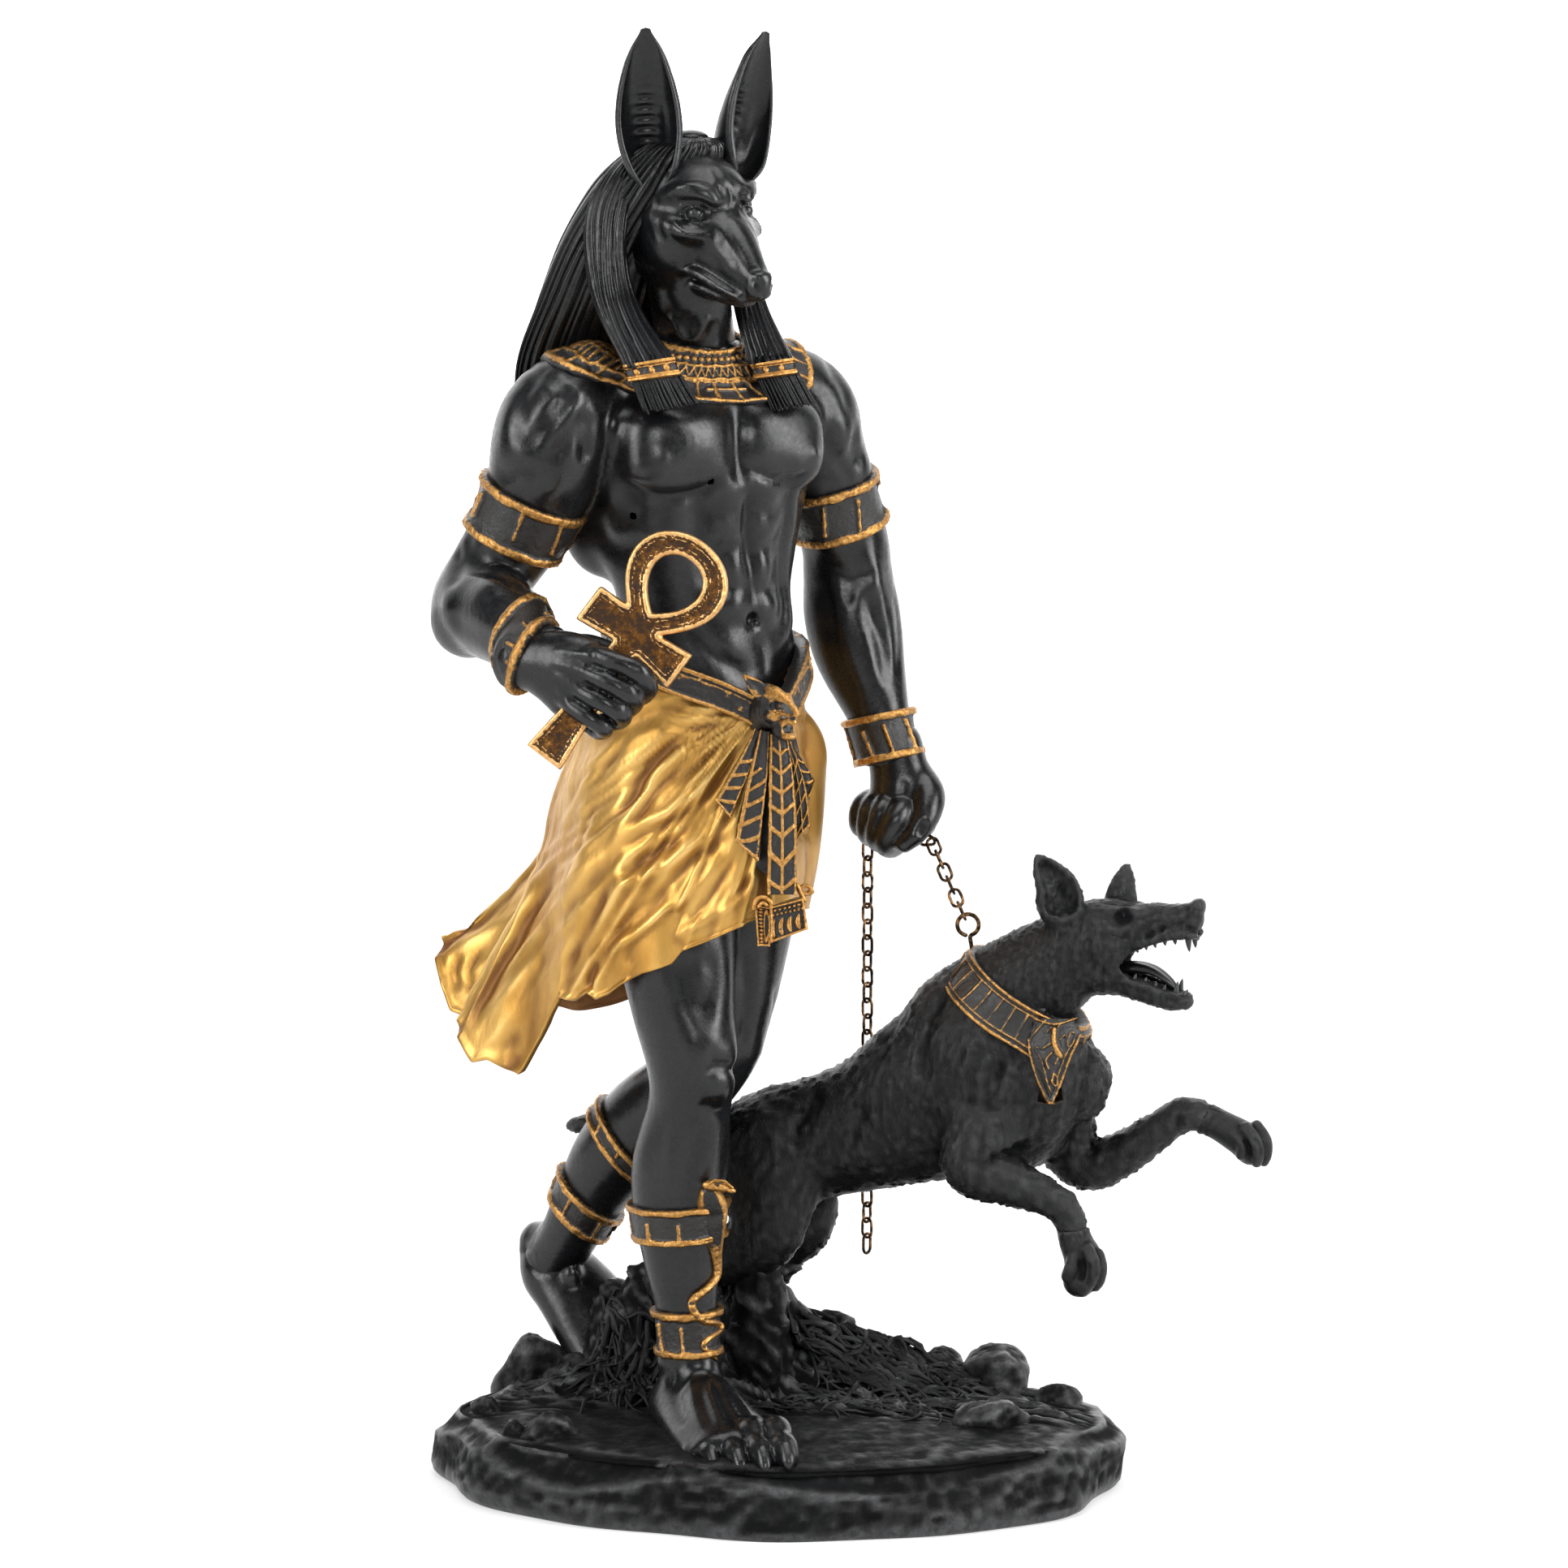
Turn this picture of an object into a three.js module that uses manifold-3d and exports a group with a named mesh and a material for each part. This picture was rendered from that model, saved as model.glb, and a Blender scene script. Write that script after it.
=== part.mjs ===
// A standing jackal-headed figure with a hound on a chain, cast as one piece with its rocky ground.
// Millimetres, +Z up, origin at the centre of the flat underside, -Y towards the viewer.
import * as THREE from "three";
import { mergeVertices } from "three/addons/utils/BufferGeometryUtils.js";
import Module from "manifold-3d";

const wasm = await Module();
wasm.setup();

// ---------------------------------------------------------------- driving dimensions
const GROUND_A = 67.4; // half length of the ground slab, along X
const GROUND_B = 47.5; // half depth of the ground slab, along Y
const GROUND_TURN = -5; // degrees the slab's long axis turns towards the viewer at the right
const RIM_Z = 12.6; // height of the slab's broken edge
const BODY_YAW = 32; // degrees the trunk turns to the viewer's right
const HEAD_YAW = 37;
const HOUND_YAW = 71;
const CLOTH = 2.2; // thickness of the kilt's cloth
const WIRE = 0.58; // chain wire diameter
const LINK_L = 3.9; // link length on the wire's centreline
const LINK_W = 2.2; // link width on the wire's centreline
const LINK_GAP = 0.2; // clearance between linked wires
const PITCH = LINK_L - WIRE - LINK_GAP;
const EYE_R = 2.06; // ring radius of the eye screw, on the wire's centreline
const EYE_WIRE = 0.8;
const FIT = 0.3; // gap between separate pieces
const REACH = 5; // longest edge that may be drawn together
const DRIFT = 0.12; // how far the surface may move when it is

const rad = (d) => (d * Math.PI) / 180;
const V = (x, y, z) => new THREE.Vector3(x, y, z);
const forward = (yaw) => V(Math.sin(rad(yaw)), -Math.cos(rad(yaw)), 0);
const left = (yaw) => V(Math.cos(rad(yaw)), Math.sin(rad(yaw)), 0);

// ---------------------------------------------------------------- solids
function closed(positions, index) {
  const g = new THREE.BufferGeometry();
  g.setAttribute("position", new THREE.Float32BufferAttribute(positions, 3));
  g.setIndex(index);
  return g;
}

function solid(geometry) {
  let g = geometry.clone();
  g.deleteAttribute("normal");
  g.deleteAttribute("uv");
  g = mergeVertices(g, 1e-4);
  const make = (tri) =>
    new wasm.Manifold(
      new wasm.Mesh({
        numProp: 3,
        vertProperties: new Float32Array(g.attributes.position.array),
        triVerts: tri,
      }),
    );
  const tri = new Uint32Array(g.index.array);
  let s = make(tri);
  if (s.volume() < 0) {
    for (let i = 0; i < tri.length; i += 3)
      [tri[i + 1], tri[i + 2]] = [tri[i + 2], tri[i + 1]];
    s = make(tri);
  }
  return s;
}

// A closed skin over a grid of points: rows x cols, cols run round a closed ring, both ends capped with a fan.
function skin(rows) {
  const n = rows[0].length,
    pos = [],
    idx = [];
  rows.forEach((r) => r.forEach((p) => pos.push(p.x, p.y, p.z)));
  for (let i = 0; i + 1 < rows.length; i++)
    for (let j = 0; j < n; j++) {
      const a = i * n + j,
        b = i * n + ((j + 1) % n);
      idx.push(a, b, b + n, a, b + n, a + n);
    }
  const cap = (row, flip) => {
    const c = row.reduce((s, p) => s.add(p), V(0, 0, 0)).divideScalar(n);
    const k = pos.length / 3;
    pos.push(c.x, c.y, c.z);
    const o = flip ? 0 : (rows.length - 1) * n;
    for (let j = 0; j < n; j++)
      flip
        ? idx.push(k, o + ((j + 1) % n), o + j)
        : idx.push(k, o + j, o + ((j + 1) % n));
  };
  cap(rows[0], true);
  cap(rows[rows.length - 1], false);
  return closed(pos, idx);
}

// A limb: stations [x, y, z, half-width along side, half-width across it], in order along the limb.
// across2, where a sixth number is given, is the half-width on the other side, such as a flat back.
function limb(stations, side, segs = 10, axis = null) {
  const c = stations.map((s) => V(s[0], s[1], s[2]));
  const rows = stations.map((s, i) => {
    const t = axis
      ? axis.clone()
      : c[Math.min(i + 1, c.length - 1)]
          .clone()
          .sub(c[Math.max(i - 1, 0)])
          .normalize();
    const u = side.clone().sub(t.clone().multiplyScalar(side.dot(t))).normalize();
    const w = t.clone().cross(u);
    const ring = [];
    for (let j = 0; j < segs; j++) {
      const q = (2 * Math.PI * j) / segs,
        across = Math.sin(q) < 0 && s[5] !== undefined ? s[5] : s[4];
      ring.push(
        c[i]
          .clone()
          .addScaledVector(u, s[3] * Math.cos(q))
          .addScaledVector(w, across * Math.sin(q)),
      );
    }
    return ring;
  });
  return solid(skin(rows));
}

function blob(c, r, yaw = 0, tilt = 0, ws = 8, hs = 6) {
  const g = new THREE.SphereGeometry(1, ws, hs);
  g.scale(...r);
  g.rotateX(rad(tilt));
  g.rotateZ(rad(yaw));
  g.translate(...c);
  return solid(g);
}

const join = (list) => list.reduce((a, b) => a.add(b));

// ---------------------------------------------------------------- the figure
const F = forward(BODY_YAW),
  L = left(BODY_YAW),
  UP = V(0, 0, 1);
const HEAD = V(-16.5, -1.5, 0),
  HF = forward(HEAD_YAW),
  HL = left(HEAD_YAW);
// a point given as forward, left and height from an upright axis
const from = (o, f, l, fw, lf, z) =>
  V(o.x + f.x * fw + l.x * lf, o.y + f.y * fw + l.y * lf, z);
const trunk = (fw, lf, z, o = V(-16.5, 3, 0)) => from(o, F, L, fw, lf, z);
const head = (fw, lf, z) => from(HEAD, HF, HL, fw, lf, z);
const st = (p, a, b, b2) => [p.x, p.y, p.z, a, b, b2];

function figure() {
  const o = [];
  // trunk: height, forward shift, half-width, half-depth in front and behind
  const trunkRows = [
    [138, 1, 18.5, 14, 14, 3.6],
    [150, 0.5, 19, 14, 14, 3.0],
    [160, 0, 18, 13.2, 12.5, 2.4],
    [171, 0, 17.6, 12.8, 11.5, 1.6],
    [181, 0, 20, 13.5, 12.5, 1],
    [191, 0, 22.5, 15, 14, 0.4],
    [200, 0, 25.5, 16.5, 15.5, 0],
    [207, -0.5, 26.5, 15.5, 15.5, 0],
    [213, -1, 21, 11.5, 12.5, 0],
    [218, -0.5, 11.5, 9, 9.5, 0],
  ];
  o.push(
    limb(
      trunkRows.map(([z, f, a, b, b2, x]) => {
        const p = trunk(f, 0, z);
        p.x += x;
        return st(p, a, b2, b);
      }),
      L,
      12,
      UP,
    ),
  );
  for (const s of [-1, 1]) {
    o.push(
      blob(trunk(10.5, s * 10.5, 200.5).toArray(), [12.5, 7.5, 9.5], BODY_YAW, -8),
    );
    o.push(blob(trunk(-8, s * 15, 193).toArray(), [10, 8, 16], BODY_YAW, 0));
  }
  // neck and throat
  o.push(
    limb(
      [
        st(trunk(-0.5, 0, 212), 10.5, 9.5),
        st(trunk(0.5, 0.5, 222), 9, 9),
        st(head(-0.5, 0, 232), 8.8, 9),
        st(head(-1, 0, 240), 9, 9),
      ],
      L,
      8,
      UP,
    ),
  );
  // right arm, bent with the fist in front of the hip
  o.push(
    limb(
      [
        [-35, -9, 213, 7, 8],
        [-41, -11, 208.5, 11, 10.4],
        [-44, -11, 200, 10.8, 10.2],
        [-48, -9.5, 189, 9.4, 9.4],
        [-54, -7, 179, 8.6, 8.4],
        [-58, -6, 173, 8.3, 7.8],
        [-59, -9, 169, 7.6, 7.4],
      ],
      V(0, 1, 0),
      8,
    ),
  );
  o.push(
    limb(
      [
        [-60.5, -3, 171.5, 5.5, 5],
        [-58, -8, 172, 9, 8.4],
        [-53.8, -17, 171, 9, 8.4],
        [-49.6, -27, 169, 7.4, 7],
        [-46.5, -35, 167, 5.6, 5],
        [-43, -39, 166, 6, 4.6],
      ],
      V(0, 0, 1),
      8,
    ),
  );
  // right fist: back of the hand, knuckles, thumb
  o.push(
    limb(
      [
        [-45, -38, 166.3, 5, 4],
        [-40.5, -42, 165, 7.4, 4.6],
        [-35, -45.5, 163.5, 7.6, 5.6],
        [-30.5, -46.5, 163, 6.4, 5],
      ],
      V(0.25, 0, 1),
      8,
    ),
  );
  for (let k = 0; k < 4; k++)
    o.push(
      blob(
        [-29.6 - k * 2.5, -48.2 + k * 0.3, 167.2 - k * 3.6],
        [5.2 - k * 0.2, 3.4, 2.3],
        20,
        0,
        6,
        4,
      ),
    );
  // left arm, hanging beside the hip
  o.push(
    limb(
      [
        [-3, 13, 213, 6.5, 8],
        [3.5, 18, 207.5, 9.6, 10],
        [6.2, 21.5, 200, 9.4, 9.8],
        [9.4, 24.5, 189, 8.8, 9],
        [12.2, 26.5, 180, 8.8, 8.6],
        [12.8, 26.8, 174, 8.8, 8.6],
        [13.6, 26.3, 166, 9.4, 8.8],
        [15.2, 25, 158, 8.8, 8.2],
        [18.4, 22.4, 148, 6.4, 6.2],
        [19.8, 20.6, 142, 5.6, 5.4],
      ],
      V(1, 0, 0),
      8,
    ),
  );
  o.push(
    limb(
      [
        [19.8, 20.8, 143.5, 5.4, 5],
        [21.8, 19, 137, 6.4, 5.4],
        [22.6, 17.5, 130.5, 8.2, 7],
        [22.6, 16.8, 124.5, 7.8, 6.4],
        [22.2, 16.6, 120.4, 5, 4.4],
      ],
      V(1, 0, 0),
      8,
    ),
  );
  // right leg, planted
  const legSide = V(0.86, 0.5, 0);
  o.push(
    limb(
      [
        [-21, 0, 140, 12, 13],
        [-21.5, -3, 126, 12.6, 13],
        [-20.5, -6, 110, 11.8, 12.2],
        [-19, -8.5, 96, 10, 10.6],
        [-17.2, -9.8, 84, 8.6, 9.2],
        [-17.6, -8, 75, 8, 8.6],
        [-19.4, -5.6, 64, 9.2, 9.6],
        [-19.8, -5, 56, 9, 9.2],
        [-19.2, -5.2, 46, 7.6, 7.8],
        [-18.2, -5.8, 35, 5.8, 6.4],
        [-17.8, -6, 26, 5.4, 6.6],
        [-17.5, -7, 19, 6, 7.6],
      ],
      legSide,
      8,
      null,
    ),
  );
  o.push(
    limb(
      [
        [-20, 0.5, 17, 4.6, 5],
        [-18, -5, 17.6, 5.6, 6.4],
        [-14.5, -14, 17, 6, 6],
        [-10.5, -23, 15.6, 7.4, 4.4],
        [-7.5, -30, 14.4, 8.4, 3.2],
        [-6, -35, 13.6, 7.6, 2.4],
      ],
      V(0.9, 0.42, 0),
      8,
    ),
  );
  for (let k = 0; k < 4; k++)
    o.push(
      blob([-12 + k * 4.1, -36.6 + k * 1.3, 14.6 + k * 0.2], [2.1, 4.4, 2.5], 22, 0, 6, 4),
    );
  // left leg, trailing with the heel lifted
  o.push(
    limb(
      [
        [-5.5, 9, 140, 12, 13],
        [-6.5, 8, 124, 12, 12.4],
        [-8.5, 6.5, 108, 10.8, 11.4],
        [-10.2, 4.5, 94, 9.2, 9.8],
        [-12.5, 4.5, 84.5, 8.4, 8.6],
        [-18, 10, 76, 8.4, 8.6],
        [-25.5, 16, 68, 9.4, 9.2],
        [-32.5, 21, 59.5, 8.6, 8.6],
        [-38, 25.5, 50, 6.8, 7],
        [-42, 29, 42, 5.8, 6.2],
        [-45.5, 33, 36, 5.8, 6.4],
      ],
      V(0.9, -0.2, 0.4),
      8,
    ),
  );
  o.push(
    limb(
      [
        [-48.6, 35.5, 42.5, 3.4, 3.4],
        [-47.4, 34.5, 37.6, 5.8, 5.4],
        [-42.6, 31, 30, 6.4, 6],
        [-37, 27.4, 23, 7, 5],
        [-32.4, 23.6, 18.6, 7, 3.8],
        [-29, 20, 16.6, 5.6, 2.8],
      ],
      V(0.9, 0.42, 0),
      8,
    ),
  );
  return o;
}

// ---------------------------------------------------------------- head, ears and wig
function headAndWig() {
  const o = [];
  const muzzle = [
    [head(-3, 0, 246), 10.5, 10.5],
    [head(3, 0, 244.5), 10.2, 10.6],
    [head(8, 0, 242.6), 8.2, 8.8],
    [head(12.5, 0, 239.8), 5.6, 6.4],
    [head(17, 0, 237), 4, 4.6],
    [head(20.6, 0, 234.8), 3.4, 3.8],
    [head(22.2, 0, 234.6), 2.2, 2.4],
  ];
  o.push(limb(muzzle.map(([p, a, b]) => st(p, a, b)), HL, 10));
  o.push(blob(head(-2.6, -0.6, 248).toArray(), [10, 12, 9.6], HEAD_YAW));
  for (const s of [-1, 1]) {
    o.push(blob(head(8.6, s * 5.4, 249.2).toArray(), [3.6, 3.4, 2.2], HEAD_YAW, 0, 6, 4));
    o.push(blob(head(1.5, s * 6.6, 238.5).toArray(), [4.2, 8, 6], HEAD_YAW, 0, 6, 4));
    // ear: a pointed leaf, hollowed in front
    const base = head(-1, s * 8.6 + (s > 0 ? 0.6 : 0), 250),
      mid = head(0.5, s * 11.2 + (s > 0 ? 1.4 : 0), 266),
      tip = head(3.5, s * 14 + (s > 0 ? 0.8 : 0), 280);
    const along = tip.clone().sub(base).normalize();
    const open = forward(HEAD_YAW + s * 34);
    const wide = along.clone().cross(open).normalize();
    const deep = wide.clone().cross(along).normalize();
    const outer = [],
      inner = [];
    for (const [t, w, d] of [
      [0, 4.2, 4.2],
      [0.16, 5.4, 4.2],
      [0.38, 6, 3.4],
      [0.6, 5.2, 2.6],
      [0.82, 2.9, 1.6],
      [1, 0.5, 0.5],
    ]) {
      const p = base
        .clone()
        .multiplyScalar((1 - t) * (1 - t))
        .addScaledVector(mid, 2 * t * (1 - t))
        .addScaledVector(tip, t * t);
      outer.push(st(p, w, d));
      if (t > 0.1 && t < 0.9)
        inner.push(
          st(p.clone().addScaledVector(deep, -d * 0.95), w - 1.5, d * 0.9),
        );
    }
    o.push(limb(outer, wide, 8).subtract(limb(inner, wide, 6)));
  }
  // hair down the back: height, distance behind the head's axis, half-width, half-depth
  const hair = [
    [258.8, 2, 3, 3, 0],
    [257, 2.6, 9, 7, -1],
    [250, 4.5, 13.8, 9.4, -3.6],
    [240, 8, 17.4, 8.4, -4.4],
    [228, 12, 21, 7, -4.6],
    [217, 16, 23.6, 5.4, -4.2],
    [205, 18.6, 23.6, 4, -3],
    [197, 19, 22, 3, -2],
  ];
  o.push(
    limb(
      hair.map(([z, b, a, d, x]) => {
        const p = from(HEAD, forward(35), left(35), -b, 0, z);
        p.x += x;
        return st(p, a, d);
      }),
      left(35),
      12,
      UP,
    ),
  );
  // two lappets in front, each ending in a clip and a fringe
  const lappet = (rows, clip, fringe) => {
    for (const part of [rows, clip, fringe]) o.push(limb(part, L, 6, UP));
  };
  lappet(
    [
      [-29.5, -5, 254, 3, 3.2],
      [-31.6, -7, 246, 3.6, 4],
      [-31.6, -9, 236, 4.2, 3.8],
      [-29.6, -12.5, 226, 4.6, 3.2],
      [-24.6, -17, 217, 5.2, 2.8],
    ],
    [
      [-24.6, -17.4, 219.6, 5.6, 3.2],
      [-23.8, -18.4, 215.2, 5.8, 3.2],
    ],
    [
      [-23.6, -18.4, 215.4, 5.2, 2.6],
      [-21.8, -19.6, 209, 6.2, 2.6],
    ],
  );
  lappet(
    [
      [-10.5, 9, 246, 3, 4],
      [-10.5, 6, 236, 3.6, 3.6],
      [-7.4, 2.4, 227, 4, 3],
      [-3.2, -1.4, 218, 4.4, 2.8],
    ],
    [
      [-1.8, -2.6, 219, 4.8, 3.2],
      [-0.8, -3.4, 214.6, 5, 3.2],
    ],
    [
      [-0.8, -3.4, 214.8, 4.4, 2.6],
      [1.6, -4, 208.4, 5, 2.6],
    ],
  );
  // broad collar, a shallow cone lying on the shoulders
  const rows = [];
  for (const [r, dz, lift] of [
    [8.5, 0, 2.4],
    [13, -4.4, 1.4],
    [19.5, -8.6, 1.2],
    [19.5, -11, -2],
    [8.5, -8, -2],
  ])
    rows.push([r, 217.5 + dz + lift]);
  const prof = [];
  for (let j = 0; j < 18; j++) {
    const q = (2 * Math.PI * j) / 18,
      c = Math.cos(q),
      s = Math.sin(q);
    prof.push(
      rows.map(([r, z]) => {
        const drop = ((r - 8.5) / 11) * (Math.abs(c) > 0 ? -1.5 - 1.2 * s * s : 0);
        return trunk(s * r * 0.82 + 0.5, c * r * 1.12, z + drop);
      }),
    );
  }
  const pos = [],
    idx = [],
    m = rows.length;
  prof.forEach((r) => r.forEach((p) => pos.push(p.x, p.y, p.z)));
  for (let j = 0; j < prof.length; j++)
    for (let i = 0; i < m; i++) {
      const a = j * m + i,
        b = j * m + ((i + 1) % m),
        k = ((j + 1) % prof.length) * m;
      idx.push(a, b, k + ((i + 1) % m), a, k + ((i + 1) % m), k + i);
    }
  o.push(solid(closed(pos, idx)));
  return o;
}

// ---------------------------------------------------------------- kilt
// Ribs round the hips, each from the belt to the hem: belt, upper, lower and hem points.
const RIBS = [
  [[-2, -17, 152], [-2.6, -20.5, 138], [-4, -21.5, 124], [-6.5, -21.5, 112.5]],
  [[-11, -15.5, 156], [-13, -19, 138], [-15, -20.5, 122], [-16, -19.5, 108.5]],
  [[-21.5, -13, 160], [-24, -17.5, 140], [-27, -18.5, 120], [-28, -15.5, 101.5]],
  [[-29, -7.5, 164], [-33, -10.5, 142], [-37, -12, 118], [-38, -9.5, 94]],
  [[-32, 1, 165.5], [-38, -1, 142], [-43, 0, 114], [-50, 3, 80]],
  [[-31, 9, 166], [-39.6, 9, 142], [-46.5, 12, 114], [-59.6, 15, 76]],
  [[-27, 15.5, 165.5], [-39.2, 18, 142], [-49.5, 22, 116], [-67.2, 25, 97]],
  [[-20, 19, 165], [-33, 27, 138], [-43, 33, 112], [-59, 40, 92]],
  [[-11, 20, 164], [-21, 27.5, 138], [-29, 33, 112], [-38, 38, 86]],
  [[-2, 17.5, 162.5], [-5, 22.5, 138], [-8, 27, 116], [-12, 31, 98]],
  [[2.6, 11, 161], [3.2, 14.5, 140], [3.2, 17, 122], [2, 19, 108]],
  [[3.4, 3, 160], [4.8, 4, 140], [5, 5, 124], [4.2, 5.5, 111.5]],
  [[2.4, -6.5, 157], [3.8, -6.5, 140], [4, -6.5, 125], [3.2, -6.5, 113]],
  [[0.5, -13.5, 153.5], [1.8, -14.5, 140], [1.8, -15, 126], [0.6, -15, 113]],
];
const KILT_AXIS = V(-13.5, 4, 0);

function kiltPoint(u, t, inset) {
  const n = RIBS.length,
    k = Math.floor(u * n),
    f = u * n - k;
  const cr = (a, b, c, d, x) =>
    0.5 * (2 * b + (c - a) * x + (2 * a - 5 * b + 4 * c - d) * x * x + (3 * b - a - 3 * c + d) * x * x * x);
  const at = (rib) => {
    const seg = Math.min(2, Math.floor(t * 3)),
      x = t * 3 - seg;
    const q = (i) => rib[Math.min(3, Math.max(0, i))];
    return [0, 1, 2].map((c) =>
      cr(q(seg - 1)[c], q(seg)[c], q(seg + 1)[c], q(seg + 2)[c], x),
    );
  };
  const p = [-1, 0, 1, 2].map((i) => at(RIBS[(k + i + n) % n]));
  const c = [0, 1, 2].map((a) => cr(p[0][a], p[1][a], p[2][a], p[3][a], f));
  const out = V(c[0] - KILT_AXIS.x, c[1] - KILT_AXIS.y, 0).normalize();
  const pleat = 0.9 * t * Math.cos(2 * Math.PI * u * 14 + 1.2 * t * 6);
  return V(c[0], c[1], c[2]).addScaledVector(out, pleat - inset);
}

function kilt() {
  const cols = 42,
    rows = 6,
    back = [1, 0.5, 0],
    all = rows + back.length,
    pos = [],
    idx = [];
  const at = (i, j) => (i % cols) * all + j;
  for (let i = 0; i < cols; i++) {
    for (let j = 0; j < rows; j++)
      pos.push(...kiltPoint(i / cols, j / (rows - 1), 0).toArray());
    for (const t of back) pos.push(...kiltPoint(i / cols, t, CLOTH).toArray());
  }
  for (let i = 0; i < cols; i++)
    for (let j = 0; j < all; j++) {
      const k = (j + 1) % all;
      const a = at(i, j),
        b = at(i + 1, j),
        c = at(i + 1, k),
        d = at(i, k);
      idx.push(a, b, c, a, c, d);
    }
  const o = [solid(closed(pos, idx))];
  // the solid core between the cloth and the thighs
  o.push(
    limb(
      [
        [-15, 4, 160, 17, 14],
        [-17, 4.5, 145, 20, 16],
        [-18, 6, 130, 21, 17.5],
        [-18, 7, 120, 20, 17],
        [-17, 7, 114, 15, 13],
      ],
      L,
      10,
      UP,
    ),
  );
  return o;
}

// belt, mask and the apron's hanging strips
function trimmings() {
  const o = [];
  const ring = (rows, side, segs = 14, axis = null) => limb(rows, side, segs, axis);
  const belt = [];
  const bn = 20;
  for (const [dz, g] of [
    [4.6, -2.5],
    [4.2, 1.3],
    [0, 1.7],
    [-1, -2.5],
  ]) {
    const r = [];
    for (let j = 0; j < bn; j++) {
      const p = kiltPoint((j + 0.5) / bn, 0, -g);
      r.push(V(p.x, p.y, p.z + dz - 2.6));
    }
    belt.push(r);
  }
  {
    const pos = [],
      idx = [];
    belt.forEach((r) => r.forEach((p) => pos.push(p.x, p.y, p.z)));
    for (let i = 0; i < 4; i++)
      for (let j = 0; j < bn; j++) {
        const k = ((i + 1) % 4) * bn,
          a = i * bn + j,
          b = i * bn + ((j + 1) % bn);
        idx.push(a, b, k + ((j + 1) % bn), a, k + ((j + 1) % bn), k + j);
      }
    o.push(solid(closed(pos, idx)));
  }
  o.push(blob([-0.4, -19.5, 153.4], [4.4, 4.2, 5.6], 32, 0, 8, 5));
  for (const s of [-1, 1])
    o.push(blob([-1 + s * 3.6, -18.6 + s * 2, 158.4], [1.4, 1.2, 2.6], 32, s * 10, 5, 3));
  // hanging strips: root near the mask, foot lower down, half-width and half-depth
  const strip = (a, b, w0, w1, d) =>
    o.push(limb([[...a, w0, d], [...b, w1, d]], V(0.95, 0.25, 0), 4));
  strip([-0.6, -19.5, 150], [0.6, -21.5, 116], 1.9, 2.6, 1.2);
  strip([-1.8, -19.5, 149], [-8.2, -22.6, 133], 1.3, 2.6, 1.1);
  strip([-1.4, -19.5, 149], [-4.6, -22.8, 128], 1.3, 2.6, 1.1);
  strip([0.4, -18.5, 149], [4.2, -15.6, 133], 1.3, 2.2, 1.1);
  strip([0.4, -18.8, 149], [2.8, -17.4, 128], 1.3, 2.2, 1.1);
  o.push(limb([[-4.6, -23.2, 113.6, 1.5, 4], [0.2, -21.8, 113.4, 1.8, 3.6], [4, -19.2, 114.6, 1.4, 4]], V(0.2, 1, 0), 6));
  // flat rings round the limbs: the stations of each are a little wider than the limb there
  const band = (a, b, r1, r2, side) =>
    o.push(
      ring(
        [
          [...a, r1[0], r1[1]],
          [...b, r2[0], r2[1]],
        ],
        side,
        8,
      ),
    );
  const X = V(1, 0, 0),
    legSide = V(0.86, 0.5, 0);
  band([-46.8, -10, 192.5], [-50.4, -8.6, 185], [10.6, 10.6], [10.1, 10.1], V(0, 1, 0));
  band([-50.6, -25.4, 168.8], [-46.6, -34.6, 167.2], [7.9, 7.6], [6.6, 6.2], V(0, 0, 1));
  band([8.8, 24, 191], [10.6, 26, 183.2], [10, 10.2], [9.8, 9.8], X);
  band([17.8, 22.8, 149.4], [20, 20.4, 140.4], [7.1, 7], [6.8, 6.5], X);
  band([-19.7, -5.1, 55.8], [-19.3, -5.1, 49.6], [10, 10.2], [9.2, 9.4], legSide);
  band([-18.6, -5.5, 38], [-18, -5.9, 29.6], [6.9, 7.6], [6.4, 7.4], legSide);
  band([-29.6, 19, 62.8], [-33.4, 21.8, 58], [9.8, 9.8], [9.4, 9.2], V(0.9, -0.2, 0.4));
  band([-37.2, 24.6, 51.4], [-40.8, 27.8, 44.6], [7.9, 8], [7.1, 7.4], V(0.9, -0.2, 0.4));
  // the cobra on the shin
  o.push(
    limb(
      [
        [-11.2, -11.6, 58.6, 1.7, 1.4],
        [-11.4, -13.2, 60.6, 2, 1.8],
        [-12, -13.4, 57, 1.9, 1.4],
        [-12, -13.6, 52.6, 2.4, 1.3],
        [-12.6, -13.2, 47, 1.5, 1.2],
        [-13.6, -12.8, 42, 1.1, 1.1],
        [-15.2, -12.6, 38.4, 1, 1],
        [-12.4, -12.4, 34, 1, 1],
        [-13.6, -12.8, 29.6, 0.8, 0.9],
      ],
      V(0.9, 0.3, 0),
      6,
    ),
  );
  return o;
}

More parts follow.
